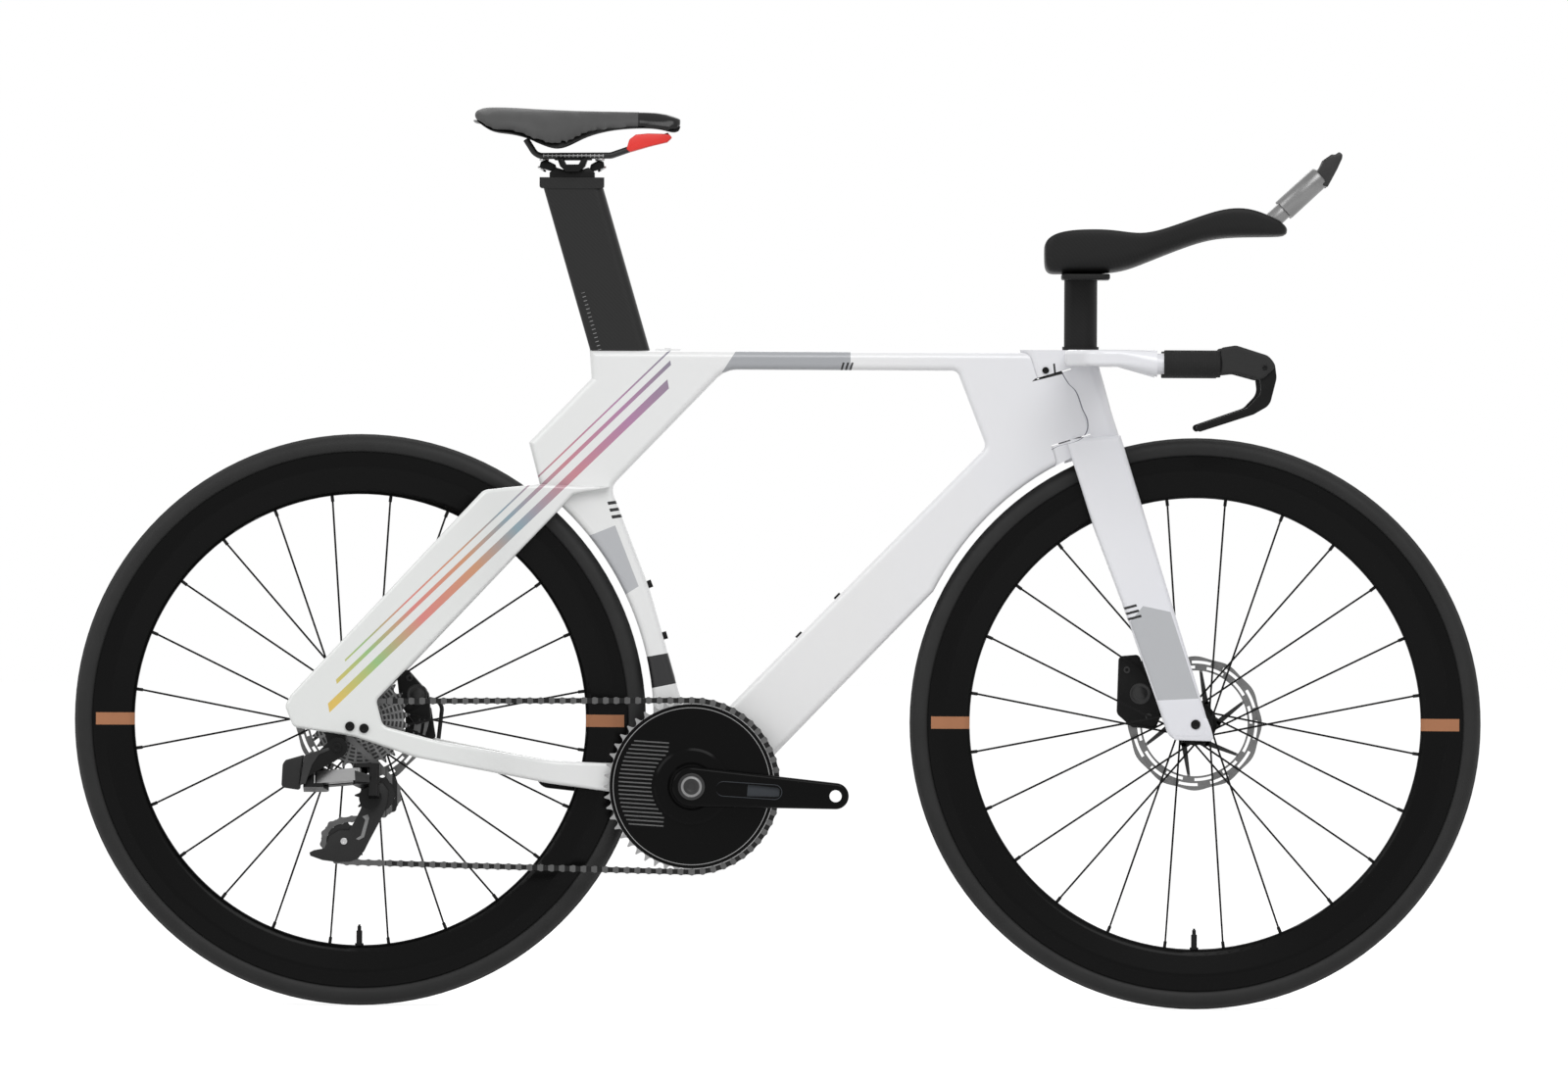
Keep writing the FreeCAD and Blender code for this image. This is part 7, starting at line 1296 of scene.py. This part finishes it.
# %% [markdown]
# ## Arm rests
# An arm rest is laid up in a mould: a deep rounded trough for the forearm that narrows to a solid nose
# for the hand. It could be sculpted, but a loft keeps the outline exact. A grid is laid over a row of
# sections, each a rim, an outer bowl and an inner trough; the grid's sides are welded, its ends are
# closed, and subdivision rounds it all.

# %% Arm rest sections
ARM_SPACING, RIM_THICK = 0.062, 4.5
# In millimetres: X of the section, Z of its rim and of its sole, half its width, depth of the trough.
ARM_ROWS = (
    *((311.5, 899, 880, 25, 2), (313, 905, 871, 30, 8), (318, 911, 866.8, 34, 16)),
    *((326, 915.5, 866.8, 36.5, 22), (340, 919, 867.3, 38, 27), (360, 920.5, 867.5, 38, 30)),
    *((388, 920.5, 867.8, 38, 29), (410, 917, 872, 37.5, 26), (430, 915.5, 880, 36.5, 24)),
    *((452, 921, 889, 34.5, 22), (480, 931, 900, 31.5, 18), (505, 940, 908, 28.5, 14)),
    *((528, 946, 911, 25.5, 9), (552, 946, 911.8, 23, 4), (574, 938, 912, 20.5, 1)),
    *((590, 929.5, 912.5, 17, 0), (597.5, 922, 914, 12, 0)),
)


def arm_section(rim, sole, half, deep):
    """Closed loop of Y and Z round one section, from the left rim under the bowl and back by the trough."""
    tall = rim - sole
    side = [(half - 1, rim - 1.5), (half, rim - 0.3 * tall)]
    side += [(0.9 * half, sole + 0.18 * tall), (0.5 * half, sole)]
    outer = side + [(0, sole)] + [(-y, z) for y, z in reversed(side)]
    inside = max(half - RIM_THICK, 1)
    trough = [(inside, rim), (0.9 * inside, rim - 0.55 * deep), (0.55 * inside, rim - 0.9 * deep)]
    inner = [(-y, z) for y, z in trough] + [(0, rim - deep)] + list(reversed(trough))
    return outer + inner


# %% Arm rests
def lofted(name, sections):
    """Closed skin over a row of closed sections, rounded by subdivision."""
    around = len(sections[0])
    grid = {"x_subdivisions": around, "y_subdivisions": len(sections) - 1}
    piece = fresh(bpy.ops.mesh.primitive_grid_add, name, **grid)
    for number, vertex in enumerate(piece.data.vertices):
        row, column = divmod(number, around + 1)
        vertex.co = sections[row][column % around]
    on_all(bpy.ops.mesh.remove_doubles, threshold=WELD)
    on_all(bpy.ops.mesh.fill_holes, sides=0)
    face_out()
    apply(piece, "SUBSURF", levels=2)
    bpy.ops.object.shade_smooth()
    return piece


for side, sign in SIDES:
    sections = []
    for ahead, *shape in ARM_ROWS:
        loop = arm_section(*shape)
        sections.append([(ahead / 1000, sign * ARM_SPACING + y / 1000, z / 1000) for y, z in loop])
    settle(lofted(f"arm_shell_{side}", sections), "steering", "carbon", "arm_rests")

# %% [markdown]
# ## Seat clamp and nose cover
# The saddle's rails lie in a cradle with an open middle. It stands on two feet on the seatpost's head,
# and a bolt at each end pulls the cradle down and sets the tilt. Its parts are plates: each outline is
# cut out flat, thickened across the bike and bevelled. The red cover at the saddle's nose is a moulded cap
# on both rails, made in the same way and then drawn together towards the nose.

# %% Seat clamp
FOOT_LINE = (
    *((561, 181.3), (561, 176), (568, 171), (578, 174)),
    *((591, 174), (601, 171), (607, 176), (607, 181.3)),
)
CRADLE_LINE = (
    *((569, 162), (572, 170), (578, 175.5), (591, 175.5), (597, 170)),
    *((600, 162), (594, 162), (591, 168), (578, 168), (575, 162)),
)
GRIP_LINE = ((566, 163.5), (566, 160), (571, 156), (599, 156), (604, 160), (604, 163.5))
REAR_EAR = ((550.5, 171), (552, 165), (558, 163.5), (567, 168), (569, 176), (560, 174))
FRONT_EAR = ((601, 176), (603, 168), (611, 163.5), (616, 165), (617, 171), (609, 174))
CLAMP_CUTS = (
    (FOOT_LINE, -0.014, 0.014),
    (CRADLE_LINE, -0.029, 0.029),
    (GRIP_LINE, -0.024, -0.013),
    (GRIP_LINE, 0.013, 0.024),
    (REAR_EAR, -0.010, 0.010),
    (FRONT_EAR, -0.010, 0.010),
)
plates("seat_clamp", CLAMP_CUTS, 0.0008, 2, "seat", "black_alloy", "saddle_clamp")

# %% Nose cover
COVER_LINE = (
    *((639.5, 152.5), (642.5, 142.5), (649, 137.6), (661, 136.4), (674, 136.6), (683, 136.9)),
    *((686, 140.5), (681, 145.4), (668, 148.4), (659, 150.8), (650, 153.4), (643, 155.4)),
)
COVER_HALF, NOSE_SHARE = 0.0235, 0.62
nose_cover = cut_plate("nose_cover", COVER_LINE, -COVER_HALF, COVER_HALF)
cover_rear, cover_front = (on_bike(pixel, 140)[0] for pixel in (640, 684))
for vertex in nose_cover.data.vertices:
    share = (vertex.co.x - cover_rear) / (cover_front - cover_rear)
    vertex.co.y *= 1 - share * (1 - NOSE_SHARE)
soften_edges(nose_cover, 0.0016, 3)
settle(nose_cover, "seat", "red_cover", "saddle_nose_cover")
